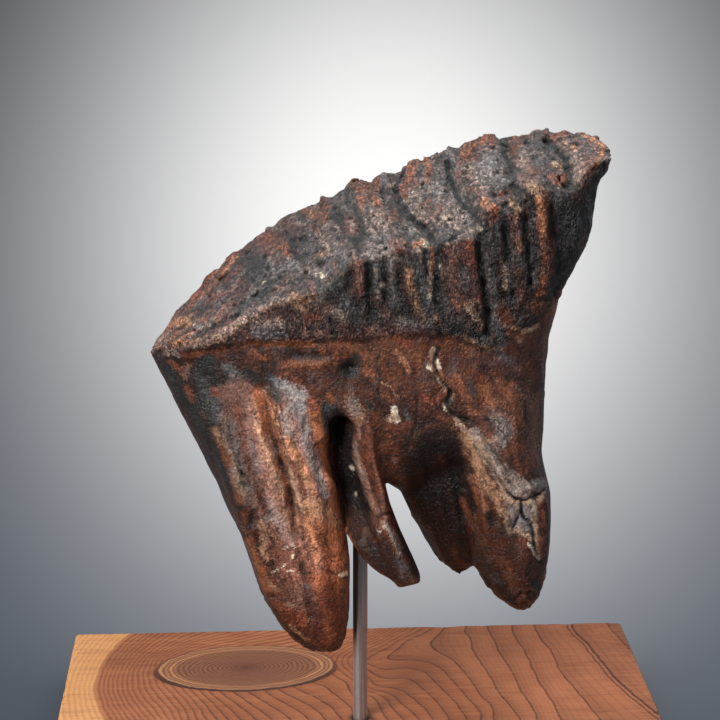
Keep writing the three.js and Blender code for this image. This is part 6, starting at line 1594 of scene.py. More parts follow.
# ---------------------------------------------------------------- tooth material
def tooth_material():
    N = Nodes("fossil_tooth")
    obj = N.coords()
    warp = N.noise(obj, 60, 3, 0.55, out="Color")
    wv = N.coords(warp=warp, amount=0.006)
    fa = N.n("ShaderNodeAttribute")
    fa.attribute_name = "flow"

    def along(sx, sz, amount):
        add = N.n("ShaderNodeVectorMath", operation="MULTIPLY_ADD")
        N.link(warp, add.inputs[0])
        add.inputs[1].default_value = (amount,) * 3
        N.link(fa.outputs["Vector"], add.inputs[2])
        mp = N.n("ShaderNodeMapping")
        mp.inputs["Scale"].default_value = (sx, sx, sz)
        N.link(add.outputs[0], mp.inputs[0])
        return mp.outputs[0]

    crown, occl, cav, cavl = N.attr("crown"), N.attr("occl"), N.attr("cav"), N.attr("cavl")
    black_and_shade, orange, cover = N.attr("black_and_shade"), N.attr("orange"), N.attr("cover")
    pa = N.n("ShaderNodeAttribute")
    pa.attribute_name = "paint"
    paint = pa.outputs["Color"]
    big = N.noise(wv, 45, 5, 0.6)
    mid = N.noise(wv, 160, 5, 0.62)
    fine = N.noise(obj, 700, 4, 0.65)
    grit = N.noise(obj, 1150, 3, 0.7)
    stria = N.noise(along(1, 0.13, 0.003), 300, 4, 0.6)
    stria = N.mix(N.math("MULTIPLY", N.attr("body"), 0.8), stria, N.noise(N.coords(scale=(0.7, 1, 1), warp=warp, amount=0.008), 190, 5, 0.65))
    fibre = N.noise(along(1, 0.10, 0.0015), 820, 3, 0.6)
    hair = N.noise(N.coords(scale=(0.25, 0.25, 1), warp=warp, amount=0.003), 420, 3, 0.6)
    # root: red-brown, streaked along its length
    root = N.ramp(N.math("ADD", N.math("MULTIPLY", big, 0.55), N.math("MULTIPLY", stria, 0.45)),
                  [(0.34, srgb(30, 16, 12)), (0.44, srgb(62, 33, 23)), (0.52, srgb(90, 49, 33)), (0.60, srgb(120, 68, 44)), (0.7, srgb(152, 96, 66))])
    root = N.mix(N.math("MULTIPLY", N.remap(mid, 0.53, 0.66), 0.7), root, srgb(40, 21, 16))
    # painted sheen: grey-lilac streaks along the roots
    lilac_sheen = N.math("MULTIPLY", N.remap(N.noise(along(1, 0.3, 0.004), 90, 4, 0.6), 0.55, 0.68), 0.4)
    root = N.mix(lilac_sheen, root, srgb(116, 94, 88))
    # crown: dark plates, mauve-brown and slate
    side = N.ramp(stria, [(0.3, srgb(20, 17, 17)), (0.45, srgb(46, 36, 34)), (0.56, srgb(80, 55, 48)), (0.7, srgb(112, 78, 66))])
    side = N.mix(N.remap(big, 0.46, 0.60), side, N.ramp(mid, [(0.35, srgb(32, 31, 32)), (0.65, srgb(82, 76, 76))]))
    topc = N.ramp(N.noise(wv, 150, 6, 0.72), [(0.33, srgb(20, 18, 18)), (0.43, srgb(58, 51, 48)), (0.52, srgb(100, 87, 82)), (0.66, srgb(142, 122, 114))])
    rust = N.math("MULTIPLY", N.remap(N.noise(wv, 64, 5, 0.62), 0.56, 0.66), 0.7)
    topc = N.mix(rust, topc, N.ramp(fine, [(0.3, srgb(84, 44, 28)), (0.7, srgb(150, 94, 66))]))
    crownc = N.mix(occl, side, topc)
    col = N.mix(crown, root, crownc)
    oc = N.ramp(mid, [(0.3, srgb(84, 40, 24)), (0.5, srgb(130, 70, 44)), (0.7, srgb(170, 108, 70))])
    col = N.mix(N.math("MULTIPLY", orange, N.remap(big, 0.25, 0.5, 0.3, 1.0)), col, oc)
    # near-black for the black patches and for the painted shade in the deep places
    black_shade_col = N.mix(N.remap(fine, 0.35, 0.7), srgb(10, 8, 8), srgb(32, 27, 26))
    col = N.mix(N.math("MULTIPLY", black_and_shade, N.remap(mid, 0.3, 0.6, 1.0, 0.85)), col, black_shade_col)
    # painted places: their edges break up along noise, their tone is mottled
    pdark = N.mix(1.0, paint, (0.36, 0.32, 0.30), "MULTIPLY")
    plite = N.mix(1.0, N.mix(1.0, paint, (1.45, 1.42, 1.38), "MULTIPLY"), (0.014, 0.011, 0.010), "ADD")
    streak = N.mix(N.math("MULTIPLY_ADD", occl, 0.35, 0.65), fibre, N.noise(wv, 420, 4, 0.65))
    pv = N.mix(N.math("MULTIPLY", N.remap(mid, 0.50, 0.64), 0.70), paint, pdark)
    pv = N.mix(N.math("MULTIPLY", N.remap(mid, 0.47, 0.35), 0.55), pv, plite)
    pv = N.mix(N.math("MULTIPLY", N.remap(streak, 0.52, 0.66), 0.60), pv, pdark)
    pv = N.mix(N.math("MULTIPLY", N.remap(streak, 0.48, 0.36), 0.55), pv, plite)
    edge = N.math("ADD", N.math("MULTIPLY", N.mix(N.math("MULTIPLY_ADD", occl, 0.4, 0.6), fibre, grit), 0.45), N.math("MULTIPLY", fine, 0.40))
    edge = N.math("ADD", edge, N.math("MULTIPLY", mid, 0.15))
    th = N.remap(edge, 0.38, 0.62, 0.10, 0.80, smooth=False)
    hold = N.remap(N.math("SUBTRACT", cover, th), -0.30, 0.30)
    hold = N.math("MULTIPLY", hold, N.remap(cover, 0.0, 0.30))
    col = N.mix(hold, col, pv)
    # fine crazing of the roots and trunk
    craze = N.voro(N.coords(scale=(1, 1, 0.55), warp=warp, amount=0.010), 150, "DISTANCE_TO_EDGE")
    cz = N.math("MULTIPLY", N.remap(craze, 0.045, 0.008), N.remap(N.noise(wv, 34, 3, 0.5), 0.50, 0.62))
    cz = N.math("MULTIPLY", cz, N.math("MULTIPLY_ADD", crown, -0.7, 0.75))
    col = N.mix(cz, col, srgb(24, 14, 12))
    # painted shade in the hollows; raised spots made lighter
    hollow_shade = N.math("MULTIPLY", N.remap(cav, 0.06, 0.7), 0.88)
    col = N.mix(hollow_shade, col, srgb(15, 11, 10))
    broad_hollow_shade = N.math("MULTIPLY", N.remap(cavl, 0.1, 0.8), 0.45)
    col = N.mix(broad_hollow_shade, col, srgb(22, 15, 13))
    high = N.math("MULTIPLY", N.remap(cav, -0.12, -0.7), 0.5)
    col = N.mix(high, col, N.mix(0.5, N.mix(1.0, col, (1.8, 1.75, 1.7), "MULTIPLY"), srgb(158, 126, 106)))
    # grain at the scale of single crumbs
    tn = N.noise(N.coords(scale=(1, 0.42, 0.8), warp=warp, amount=0.002), 620, 3, 0.7)
    gr = N.mix(crown, N.math("ADD", N.math("MULTIPLY", fibre, 0.10), N.math("ADD", N.math("MULTIPLY", fine, 0.58), N.math("MULTIPLY", grit, 0.32))), N.math("ADD", N.math("MULTIPLY", fine, 0.5), N.math("MULTIPLY", grit, 0.5)))
    gr = N.mix(occl, gr, tn)
    # wandering worn lines on the plates, upright ones on the crown's side
    swirl = N.noise(N.coords(scale=(1, 0.55, 1), warp=warp, amount=0.004), 62, 4, 0.6, dist=1.4)
    upr = N.noise(N.coords(scale=(1, 1, 0.22), warp=warp, amount=0.004), 120, 3, 0.6, dist=0.5)
    lines = N.math("FRACT", N.math("MULTIPLY", N.mix(occl, upr, swirl), 13.0))
    lines = N.math("ABSOLUTE", N.math("SUBTRACT", lines, 0.5))
    wavy = N.math("MULTIPLY", N.remap(lines, 0.17, 0.03), N.math("MULTIPLY", crown, N.remap(mid, 0.38, 0.56, 0.35, 0.90)))
    col = N.mix(wavy, col, N.mix(1.0, col, (0.30, 0.27, 0.26), "MULTIPLY"))
    crest = N.math("MULTIPLY", N.remap(lines, 0.36, 0.47), N.math("MULTIPLY", crown, 0.30))
    col = N.mix(crest, col, N.mix(1.0, N.mix(1.0, col, (1.8, 1.75, 1.7), "MULTIPLY"), (0.012, 0.011, 0.010), "ADD"))
    crumb = N.voro(wv, 520, "F1")
    crease = N.math("MULTIPLY", N.remap(crumb, 0.50, 0.80), N.math("MULTIPLY_ADD", crown, 0.35, 0.25))
    col = N.mix(crease, col, N.mix(1.0, col, (0.20, 0.17, 0.16), "MULTIPLY"))
    col = N.mix(N.math("MULTIPLY", N.remap(gr, 0.505, 0.585), N.math("ADD", N.math("MULTIPLY_ADD", crown, 0.30, 0.44), N.math("MULTIPLY", occl, -0.06))), col, N.mix(1.0, col, (0.16, 0.13, 0.12), "MULTIPLY"))
    col = N.mix(N.math("MULTIPLY", N.remap(gr, 0.485, 0.40), N.math("ADD", N.math("MULTIPLY_ADD", crown, 0.22, 0.40), N.math("MULTIPLY", occl, -0.04))), col, N.mix(1.0, N.mix(1.0, col, (2.5, 2.4, 2.3), "MULTIPLY"), (0.014, 0.012, 0.011), "ADD"))
    # painted glints: small pale specks, fewer in the black and shaded places
    glint = N.math("MULTIPLY", N.remap(N.noise(obj, 900, 2, 0.5), 0.70, 0.76), N.remap(N.noise(wv, 70, 3, 0.6), 0.50, 0.60))
    col = N.mix(N.math("MULTIPLY", glint, N.math("MULTIPLY_ADD", black_and_shade, -0.3, 0.6)), col, srgb(196, 176, 156))
    # painted light and shade: the colour scaled by the broad gains
    light_shade_gain = N.n("ShaderNodeVectorMath", operation="SCALE")
    N.link(col, light_shade_gain.inputs[0])
    N.link(N.attr("light_shade_gain"), light_shade_gain.inputs["Scale"])
    N.link(light_shade_gain.outputs[0], N.bsdf.inputs["Base Color"])
    rough = N.remap(mid, 0.3, 0.7, 0.20, 0.44)
    rough = N.math("ADD", rough, N.math("MULTIPLY", N.remap(fine, 0.4, 0.7), 0.12))
    N.link(rough, N.bsdf.inputs["Roughness"])
    N.bsdf.inputs["Specular IOR Level"].default_value = 0.5
    h1 = N.math("ADD", N.math("MULTIPLY", mid, 0.7), N.math("MULTIPLY", stria, 0.6))
    h2 = N.math("ADD", h1, N.math("MULTIPLY", hair, 0.2))
    nb = N.bump(h2, 0.7, 0.0013)
    h3 = N.math("MULTIPLY", N.math("ADD", crumb, N.noise(wv, 520, 5, 0.7)), N.math("ADD", N.math("MULTIPLY", crown, 0.7), 0.3))
    nb = N.bump(h3, 0.8, 0.0012, nb)
    nb = N.bump(N.math("ADD", N.math("MULTIPLY", fine, 0.8), N.math("MULTIPLY", gr, 0.8)), 0.8, 0.0008, nb)
    nb = N.bump(fibre, 0.2, 0.0004, nb)
    nb = N.bump(N.math("MULTIPLY", N.remap(lines, 0.03, 0.25), N.math("MULTIPLY_ADD", crown, 0.9, 0.1)), 0.8, 0.0007, nb)
    N.link(nb, N.bsdf.inputs["Normal"])
    return N.mat


tooth.data.materials.clear()
tooth.data.materials.append(tooth_material())
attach(tooth, "root")
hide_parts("tooth")


# =====================================================================================
# steel rod
# =====================================================================================
def lathe(name, profile, seg):
    a = np.linspace(0, 2 * math.pi, seg, endpoint=False)
    rings = [np.stack([r * np.cos(a), r * np.sin(a), np.full(seg, h)], 1) for r, h in profile[1:-1]]
    verts = [np.array([[0, 0, profile[0][1]]])] + rings + [np.array([[0, 0, profile[-1][1]]])]
    verts = np.concatenate(verts)
    faces = []
    for i in range(seg):
        faces.append((0, 1 + (i + 1) % seg, 1 + i, 1 + i))
    tris, quads = [], []
    for i in range(seg):
        j = (i + 1) % seg
        tris.append((0, 1 + j, 1 + i))
        for r in range(len(rings) - 1):
            b = 1 + r * seg
            quads.append((b + i, b + j, b + seg + j, b + seg + i))
        t = 1 + (len(rings) - 1) * seg
        tris.append((t + i, t + j, len(verts) - 1))
    me = bpy.data.meshes.new(name)
    me.from_pydata([tuple(p * MM) for p in verts], [], tris + quads)
    me.polygons.foreach_set("use_smooth", np.full(len(me.polygons), True))
    me.update()
    ob = bpy.data.objects.new(name, me)
    # colours, sRGB: greys (partly painted sheen), pinkish and mauve browns, rust, deep browns, tans, chalky white
    # (partly painted highlight on raised bits), near-black for painted shade
    bpy.context.scene.collection.objects.link(ob)
    return ob


ROD_R = 4.0
# stains, chips and bands of colour, with painted shade (near-black and deep brown strokes in the slot, the hollow and
# the grooves) and painted sheen and highlights (some grey and white strokes): colour, half-width, strength, points in
# front coordinates
prof = [(0, 15.0), (ROD_R - 0.6, 15.0), (ROD_R - 0.5, 15.05), (ROD_R, 15.6), (ROD_R, 16.0)]
for zz in np.arange(20, 203, 4.0):
    prof.append((ROD_R + 0.012 * math.sin(zz * 1.7) + 0.01 * math.sin(zz * 0.61), float(zz)))
prof += [(ROD_R, 203.3), (ROD_R - 0.5, 203.95), (ROD_R - 0.6, 204.0), (0, 204.0)]
post = lathe("steel_post", prof, 72)


def steel_material():
    N = Nodes("drawn_steel")
    v1 = N.coords(scale=(1, 1, 0.012))
    v2 = N.coords()
    fine = N.noise(v1, 1800, 4, 0.6)
    blot = N.noise(v2, 90, 4, 0.6)
    col = N.ramp(fine, [(0.35, (0.36, 0.37, 0.38)), (0.65, (0.56, 0.57, 0.58))])
    col = N.mix(N.math("MULTIPLY", N.remap(blot, 0.5, 0.7), 0.35), col, (0.25, 0.235, 0.22))
    N.link(col, N.bsdf.inputs["Base Color"])
    N.bsdf.inputs["Metallic"].default_value = 0.80
    N.link(N.math("ADD", N.remap(fine, 0.3, 0.7, 0.26, 0.40), N.math("MULTIPLY", N.remap(blot, 0.5, 0.75), 0.12)), N.bsdf.inputs["Roughness"])
    N.link(N.bump(fine, 0.12, 0.0001), N.bsdf.inputs["Normal"])
    return N.mat


post.data.materials.append(steel_material())
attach(post, "root")
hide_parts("post")

# =====================================================================================
# board
# =====================================================================================
BX, BY, BZ = 338.4, 238.8, 40.0
HOLE_R = 4.3
KNOT_C, KNOT_A, KNOT_B, KNOT_TURN = (-64.0, 66.8), 53.0, 29.6, 0.03
# growth rings on the board's top: ring number, then points (x, y) the ring passes through
RINGS = [
    (1, (138.2, 119.8), (143, 89.1), (148.7, 55.8), (156.7, 23), (164.8, 0.3), (178, -40)),
    (2, (115.1, 121), (116.5, 91.9), (120.1, 56), (127.4, 20.7), (133.5, -10.1), (150, -60), (168, -119)),
    (3, (102.7, 121.7), (103.2, 84.2), (106, 41), (111.7, -5.3)),
    (4, (86.3, 121.1), (87.5, 85), (92.9, 48.2), (98.4, -8.2), (112, -60)),
    (5, (73.7, 120.2), (72.7, 99.9), (75.4, 65.1), (81.4, 27), (89.2, -5.3), (104, -60), (128, -119)),
    (6, (60.5, 119.5), (50.5, 99.7), (47.9, 91.3), (54.5, 77.1), (63.2, 56.4), (70.1, 23.8), (74.1, -4.5)),
    (7, (51.5, 117), (34.5, 99.1), (24.2, 82.8), (34.8, 71.3), (47.9, 63.9), (56, 43.7), (62.8, 20.4), (68, 0)),
    (8, (7.2, 70.1), (29.8, 60.8), (46.3, 40.3), (57.3, 6)), (9, (6.7, 62), (28.8, 47.7), (42.4, 22.8), (49.1, -2)),
    (10, (6.2, 51.5), (24.7, 32.5), (36.6, 9.5), (40.4, -5.1)), (11, (5.4, 38.6), (23.6, 17.5), (33.2, -4.7), (56, -60), (82, -119)),
    (13, (-8, 58), (0, 42), (8, 25), (13, 5)), (15, (-30, 50), (-15, 32), (-6, 15), (-2, 0), (14, -60)),
    (18, (10, 118), (-15, 98), (-24, 90)), (18, (-55, 38), (-42, 20), (-30, 2)), (22, (-15, 120), (-35, 106), (-55, 99)),
    (22, (-85, 36), (-75, 18), (-66, 0), (-50, -60), (-20, -119)), (26, (-50, 120), (-72, 108), (-95, 97), (-110, 83)),
    (27, (-108, 38), (-100, 20), (-95, 0)), (30, (-85, 120), (-103, 106), (-115, 92), (-123, 75), (-124, 55), (-120, 35), (-110, 12)),
    (34, (-112, 120), (-122, 104), (-131, 85), (-136, 62), (-135, 40), (-128, 18), (-121, 2), (-104, -60)),
    (40, (-134, 119.6), (-141, 107), (-145, 94.6), (-149, 78.4), (-151.3, 61), (-151.7, 44.4), (-149.3, 29.2), (-142.3, 4.6), (-126, -60), (-100, -119)),
    (46, (-163, 100), (-169, 60), (-166, 10), (-150, -60), (-128, -119))]


def ring_field():
    """a smooth surface through the numbered rings (thin-plate spline, lightly relaxed)"""
    P, L = [], []
    for row in RINGS:
        for q in row[1:]:
            P.append(q)
            L.append(row[0])
    P, L = np.array(P) / 100.0, np.array(L, float)
    n = len(P)
    r2 = ((P[:, None] - P[None]) ** 2).sum(-1)
    K = 0.5 * r2 * np.log(r2 + 1e-12) + np.eye(n) * 2e-4
    A = np.zeros((n + 3, n + 3))
    A[:n, :n] = K
    A[:n, n:] = np.c_[np.ones(n), P]
    A[n:, :n] = A[:n, n:].T
    w = np.linalg.solve(A, np.r_[L, 0, 0, 0])

    def f(x, y):
        Q = np.stack([x, y], 1) / 100.0
        out = w[n] + Q @ w[n + 1:]
        for i in range(n):
            d2 = ((Q - P[i]) ** 2).sum(1)
            out = out + w[i] * 0.5 * d2 * np.log(d2 + 1e-12)
        return out
    return f


def knot_radius(x, y):
    c, s = math.cos(KNOT_TURN), math.sin(KNOT_TURN)
    dx, dy = x - KNOT_C[0], y - KNOT_C[1]
    return np.sqrt(((c * dx + s * dy) / KNOT_A) ** 2 + ((-s * dx + c * dy) / KNOT_B) ** 2)


def board_mesh():
    """a fine grid on a rounded block, with the drilled hole let into the top"""
    r = 2.6

    def axis(lo, hi, step):
        n = max(2, int(round((hi - lo - 2 * r) / step)))
        edge = [0.0, 0.5, 1.2, 2.0]
        a = [lo + e for e in edge] + list(np.linspace(lo + r, hi - r, n + 1)) + [hi - e for e in reversed(edge)]
        return np.array(sorted(set(np.round(a, 4))))

    verts, index, faces = [], {}, []

    def vid(p):
        k = (round(p[0], 3), round(p[1], 3), round(p[2], 3))
        if k not in index:
            index[k] = len(verts)
            verts.append(k)
        return index[k]

    xs, ys, zs = axis(-BX / 2, BX / 2, 1.7), axis(-BY / 2, BY / 2, 1.7), axis(0, BZ, 2.2)
    for top in (True, False):
        zz = BZ if top else 0.0
        for i in range(len(xs) - 1):
            for j in range(len(ys) - 1):
                if top and ((xs[i] + xs[i + 1]) / 2) ** 2 + ((ys[j] + ys[j + 1]) / 2) ** 2 < 81.0:
                    continue
                if not top and 2 < i < len(xs) - 4 and 2 < j < len(ys) - 4:
                    continue
                q = [vid((xs[i], ys[j], zz)), vid((xs[i + 1], ys[j], zz)), vid((xs[i + 1], ys[j + 1], zz)), vid((xs[i], ys[j + 1], zz))]
                faces.append(tuple(q if top else q[::-1]))
    for s in (-1, 1):
        for i in range(len(xs) - 1):
            for k in range(len(zs) - 1):
                q = [vid((xs[i], s * BY / 2, zs[k])), vid((xs[i + 1], s * BY / 2, zs[k])), vid((xs[i + 1], s * BY / 2, zs[k + 1])), vid((xs[i], s * BY / 2, zs[k + 1]))]
                faces.append(tuple(q if s < 0 else q[::-1]))
        for j in range(len(ys) - 1):
            for k in range(len(zs) - 1):
                q = [vid((s * BX / 2, ys[j], zs[k])), vid((s * BX / 2, ys[j + 1], zs[k])), vid((s * BX / 2, ys[j + 1], zs[k + 1])), vid((s * BX / 2, ys[j], zs[k + 1]))]
                faces.append(tuple(q if s > 0 else q[::-1]))

    def open_loops():
        half = set()
        for f in faces:
            for a, b in zip(f, f[1:] + f[:1]):
                half.add((a, b))
        nxt = {a: b for (a, b) in half if (b, a) not in half}
        loops = []
        while nxt:
            start = next(iter(nxt))
            loop, cur = [start], nxt.pop(start)
            while cur != start:
                loop.append(cur)
                cur = nxt.pop(cur)
            loops.append(loop)
        return loops

    for loop in open_loops():
        if verts[loop[0]][2] < 1:      # underside: coarse fill towards the middle
            prev = loop
            for k in (0.8, 0.55, 0.3, 0.1):
                cur = []
                for i in prev if prev is not loop else loop:
                    pass
                cur = [None] * len(loop)
                for i, v0 in enumerate(loop):
                    verts.append((verts[v0][0] * k, verts[v0][1] * k, 0.0))
                    cur[i] = len(verts) - 1
                for i in range(len(loop)):
                    j = (i + 1) % len(loop)
                    faces.append((prev[j], prev[i], cur[i], cur[j]))
                prev = cur
            verts.append((0.0, 0.0, 0.0))
            c = len(verts) - 1
            for i in range(len(loop)):
                faces.append((prev[(i + 1) % len(loop)], prev[i], c))
            continue
        n = len(loop)
        ang = [math.atan2(verts[i][1], verts[i][0]) for i in loop]
        rings = [(7.0, BZ, 0), (5.8, BZ, 0), (5.15, BZ - 0.03, 1), (4.75, BZ - 0.3, 1), (HOLE_R, BZ - 1.1, 1), (HOLE_R, BZ - 6, 0),
                 (HOLE_R, BZ - 15, 0), (HOLE_R, BZ - 25.3, 0)]
        prev = loop
        for rr, zz, rag in rings:
            cur = []
            for a in ang:
                q = rr + (0.35 * math.sin(a * 3 + 1.0) + 0.22 * math.sin(a * 7 + 2.0)) * rag * (1 if rr > 4.5 else 0)
                verts.append((q * math.cos(a), q * math.sin(a), zz))
                cur.append(len(verts) - 1)
            for i in range(n):
                j = (i + 1) % n
                faces.append((prev[j], prev[i], cur[i], cur[j]))
            prev = cur
        verts.append((0, 0, BZ - 25.3))
        c = len(verts) - 1
        for i in range(n):
            faces.append((prev[(i + 1) % n], prev[i], c))
    V = np.array(verts, float)
    R0 = V.copy()
    lo = np.array([-BX / 2 + r, -BY / 2 + r, r])
    hi = np.array([BX / 2 - r, BY / 2 - r, BZ - r])
    outer = np.hypot(V[:, 0], V[:, 1]) > 8
    core = np.clip(V, lo, hi)
    d = V - core
    ln = np.linalg.norm(d, axis=1)
    push = outer & (ln > 1e-6)
    V[push] = core[push] + d[push] / ln[push, None] * r
    x, y, z = V[:, 0], V[:, 1], V[:, 2]
    edge = np.minimum(BX / 2 - np.abs(x), BY / 2 - np.abs(y))
    up = sstep(BZ - 6, BZ - 1, z) * (1 - sstep(1.0, 5.0, edge))
    nick = np.clip(noise3(x / 5, y / 5, 0.5, 81) - 0.28, 0, 1) * 2.6 + np.clip(noise3(x / 14, y / 14, 0.5, 82) - 0.3, 0, 1) * 1.8
    inward = np.stack([-np.sign(x) * (BX / 2 - np.abs(x) < 5), -np.sign(y) * (BY / 2 - np.abs(y) < 5), -np.ones_like(x)], 1)
    V += inward * (up * nick)[:, None] * 0.55
    # crack round the knot, deeper on the near side, and a faint saw-cut waviness of the top
    top = (z > BZ - 0.3) & (edge > 3.5) & (np.hypot(x, y) > 8)
    kr = knot_radius(x, y)
    lowside = sstep(8, -14, y - KNOT_C[1])
    dip = np.exp(-((kr - 1.0) * 38.0 / 1.1) ** 2) * (0.15 + 0.75 * lowside) + 0.10 * sstep(1.0, 0.86, kr)
    V[:, 2] -= np.where(top, dip + 0.05 + 0.05 * noise3(x / 40, y / 7, 0.1, 83), 0)
    return V, faces


bv, bf = board_mesh()
bm = bpy.data.meshes.new("wooden_board")
bm.from_pydata([tuple(p) for p in (bv * MM)], [], bf)
bm.validate()
bm.polygons.foreach_set("use_smooth", np.full(len(bm.polygons), True))
bm.update()
board = bpy.data.objects.new("wooden_board", bm)
bpy.context.scene.collection.objects.link(board)
rf = ring_field()
bx, by, bz = bv[:, 0], bv[:, 1], bv[:, 2]


def grain(x, y, z):
    return rf(x + 0.10 * (z - BZ), y) + 0.20 * (BZ - z) + 0.0016 * (BZ - z) ** 2


phase = grain(bx, by, bz)
eps = 0.5
gx = (grain(bx + eps, by, bz) - phase) / eps
gy = (grain(bx, by + eps, bz) - phase) / eps
gz = (grain(bx, by, bz + eps) - phase) / eps
side = bz < BZ - 2.5
slope = np.where(side & (np.abs(by) > BY / 2 - 1), np.hypot(gx, gz), np.where(side & (np.abs(bx) > BX / 2 - 1), np.hypot(gy, gz), np.hypot(gx, gy)))
put(bm, "ring", phase)
put(bm, "gap", np.clip(1.0 / np.maximum(slope, 0.02), 1.5, 30))
kx, ky = bx + 0.3 * (BZ - bz), by
put(bm, "knot", knot_radius(kx, ky) + np.where(np.abs(np.abs(bx) - BX / 2) < 1, 3.0, 0.0))
put(bm, "knotlow", sstep(10, -16, by - KNOT_C[1]))
# painted shade round the rod's foot
put(bm, "rod_foot_shade", 1 - sstep(4.6, 8.2, np.hypot(bx, by) + 0.9 * noise3(bx / 2, by / 2, 0.2, 84)))
tick("board %d faces" % len(bm.polygons))


def wood_material():
    N = Nodes("reddish_softwood")
    v = N.coords()
    warp = N.noise(v, 26, 3, 0.5, out="Color")
    fibre = N.noise(N.coords(scale=(0.045, 1, 1), warp=warp, amount=0.004), 900, 4, 0.6)
    streak = N.noise(N.coords(scale=(0.10, 1, 1), warp=warp, amount=0.006), 190, 4, 0.55)
    patch = N.noise(v, 16, 3, 0.5)
    wob = N.noise(v, 120, 3, 0.5)
    gap = N.attr("gap")
    ring = N.math("ADD", N.attr("ring"), N.math("DIVIDE", N.math("MULTIPLY_ADD", wob, 2.0, -1.0), gap))
    # distance to the nearest ring line, mm, and a soft darkening before it
    fr = N.math("FRACT", ring)
    saw = N.math("ABSOLUTE", N.math("SUBTRACT", N.math("FRACT", N.math("ADD", ring, 0.5)), 0.5))
    dmm = N.math("MULTIPLY", saw, gap)
    line = N.remap(dmm, 0.2, 0.95, 1.0, 0.0)
    late = N.math("MULTIPLY", N.remap(fr, 0.35, 0.97, 0.0, 1.0), 0.30)
    sub = N.math("ABSOLUTE", N.math("SUBTRACT", N.math("FRACT", N.math("MULTIPLY", ring, 5.0)), 0.5))
    subl = N.math("MULTIPLY", N.remap(sub, 0.30, 0.5), N.remap(gap, 4, 12, 0.0, 0.22))
    sap = N.remap(ring, 39.2, 40.6)
    heart = N.ramp(patch, [(0.3, srgb(150, 92, 64)), (0.5, srgb(170, 108, 78)), (0.7, srgb(184, 118, 86))])
    warm = N.remap(ring, 22.0, 9.0, 0.0, 1.0)
    warm = N.math("MULTIPLY", warm, N.remap(ring, 4.5, 8.0, 0.0, 1.0))
    heart = N.mix(N.math("MULTIPLY", warm, 0.75), heart, srgb(146, 86, 54))
    sapc = N.ramp(patch, [(0.3, srgb(214, 160, 110)), (0.7, srgb(226, 176, 128))])
    col = N.mix(sap, heart, sapc)
    darkline = N.mix(sap, srgb(84, 40, 27), srgb(176, 112, 66))
    amt = N.math("MULTIPLY", line, N.mix(sap, (0.85, 0.85, 0.85), (0.5, 0.5, 0.5)))
    tight = N.remap(gap, 2.0, 7.0, 0.42, 1.0)
    amt = N.math("MULTIPLY", amt, tight)
    col = N.mix(N.math("ADD", late, subl, clamp=True), col, darkline)
    col = N.mix(amt, col, darkline)
    # the strong double ring near the right-hand end
    s1 = N.math("MULTIPLY", N.math("SUBTRACT", ring, 1.0), gap)
    dbl = N.math("MAXIMUM", N.remap(N.math("ABSOLUTE", s1), 0.5, 1.3, 1.0, 0.0), N.remap(N.math("ABSOLUTE", N.math("SUBTRACT", s1, 3.0)), 0.4, 1.1, 0.9, 0.0))
    col = N.mix(N.math("MULTIPLY", dbl, 0.85), col, srgb(74, 34, 26))
    # fibres and broad streaks
    col = N.mix(N.math("MULTIPLY", N.remap(fibre, 0.45, 0.72), 0.30), col, srgb(206, 150, 112))
    col = N.mix(N.math("MULTIPLY", N.remap(fibre, 0.5, 0.28), 0.34), col, srgb(104, 58, 40))
    col = N.mix(N.math("MULTIPLY", N.remap(streak, 0.52, 0.7), 0.28), col, srgb(132, 76, 50))
    # knot
    kr = N.math("ADD", N.attr("knot"), N.math("MULTIPLY_ADD", wob, 0.05, -0.025))
    inside = N.remap(kr, 1.0, 0.985)
    krr = N.math("MULTIPLY", N.math("POWER", kr, 0.9), 19.0)
    kf = N.math("FRACT", N.math("ADD", krr, N.math("MULTIPLY_ADD", wob, 0.5, -0.25)))
    kring = N.math("MULTIPLY", N.remap(kf, 0.3, 0.85), N.remap(kf, 1.0, 0.86))
    kc = N.ramp(kr, [(0.0, srgb(112, 70, 54)), (0.25, srgb(146, 98, 78)), (0.78, srgb(158, 110, 86)), (0.82, srgb(212, 158, 116)), (0.90, srgb(178, 126, 94)), (0.94, srgb(214, 166, 126)), (1.0, srgb(196, 146, 108))])
    kc = N.mix(N.math("MULTIPLY", kring, 0.8), kc, srgb(96, 56, 42))
    kc = N.mix(N.math("MULTIPLY", N.remap(streak, 0.5, 0.68), 0.35), kc, srgb(126, 80, 62))
    col = N.mix(inside, col, kc)
    # bark-dark crack round it, thicker at the near side
    off = N.math("ABSOLUTE", N.math("SUBTRACT", kr, 1.0))
    low = N.attr("knotlow")
    wid = N.math("MULTIPLY_ADD", low, 0.050, 0.012)
    crack = N.math("SUBTRACT", 1.0, N.math("DIVIDE", off, wid), clamp=True)
    crack = N.remap(crack, 0.0, 0.6)
    col = N.mix(N.math("MULTIPLY", crack, N.math("MULTIPLY_ADD", low, 0.45, 0.5)), col, srgb(34, 20, 18))
    halo = N.remap(off, 0.0, 0.16, 0.5, 0.0)
    col = N.mix(N.math("MULTIPLY", halo, 0.55), col, srgb(120, 66, 44))
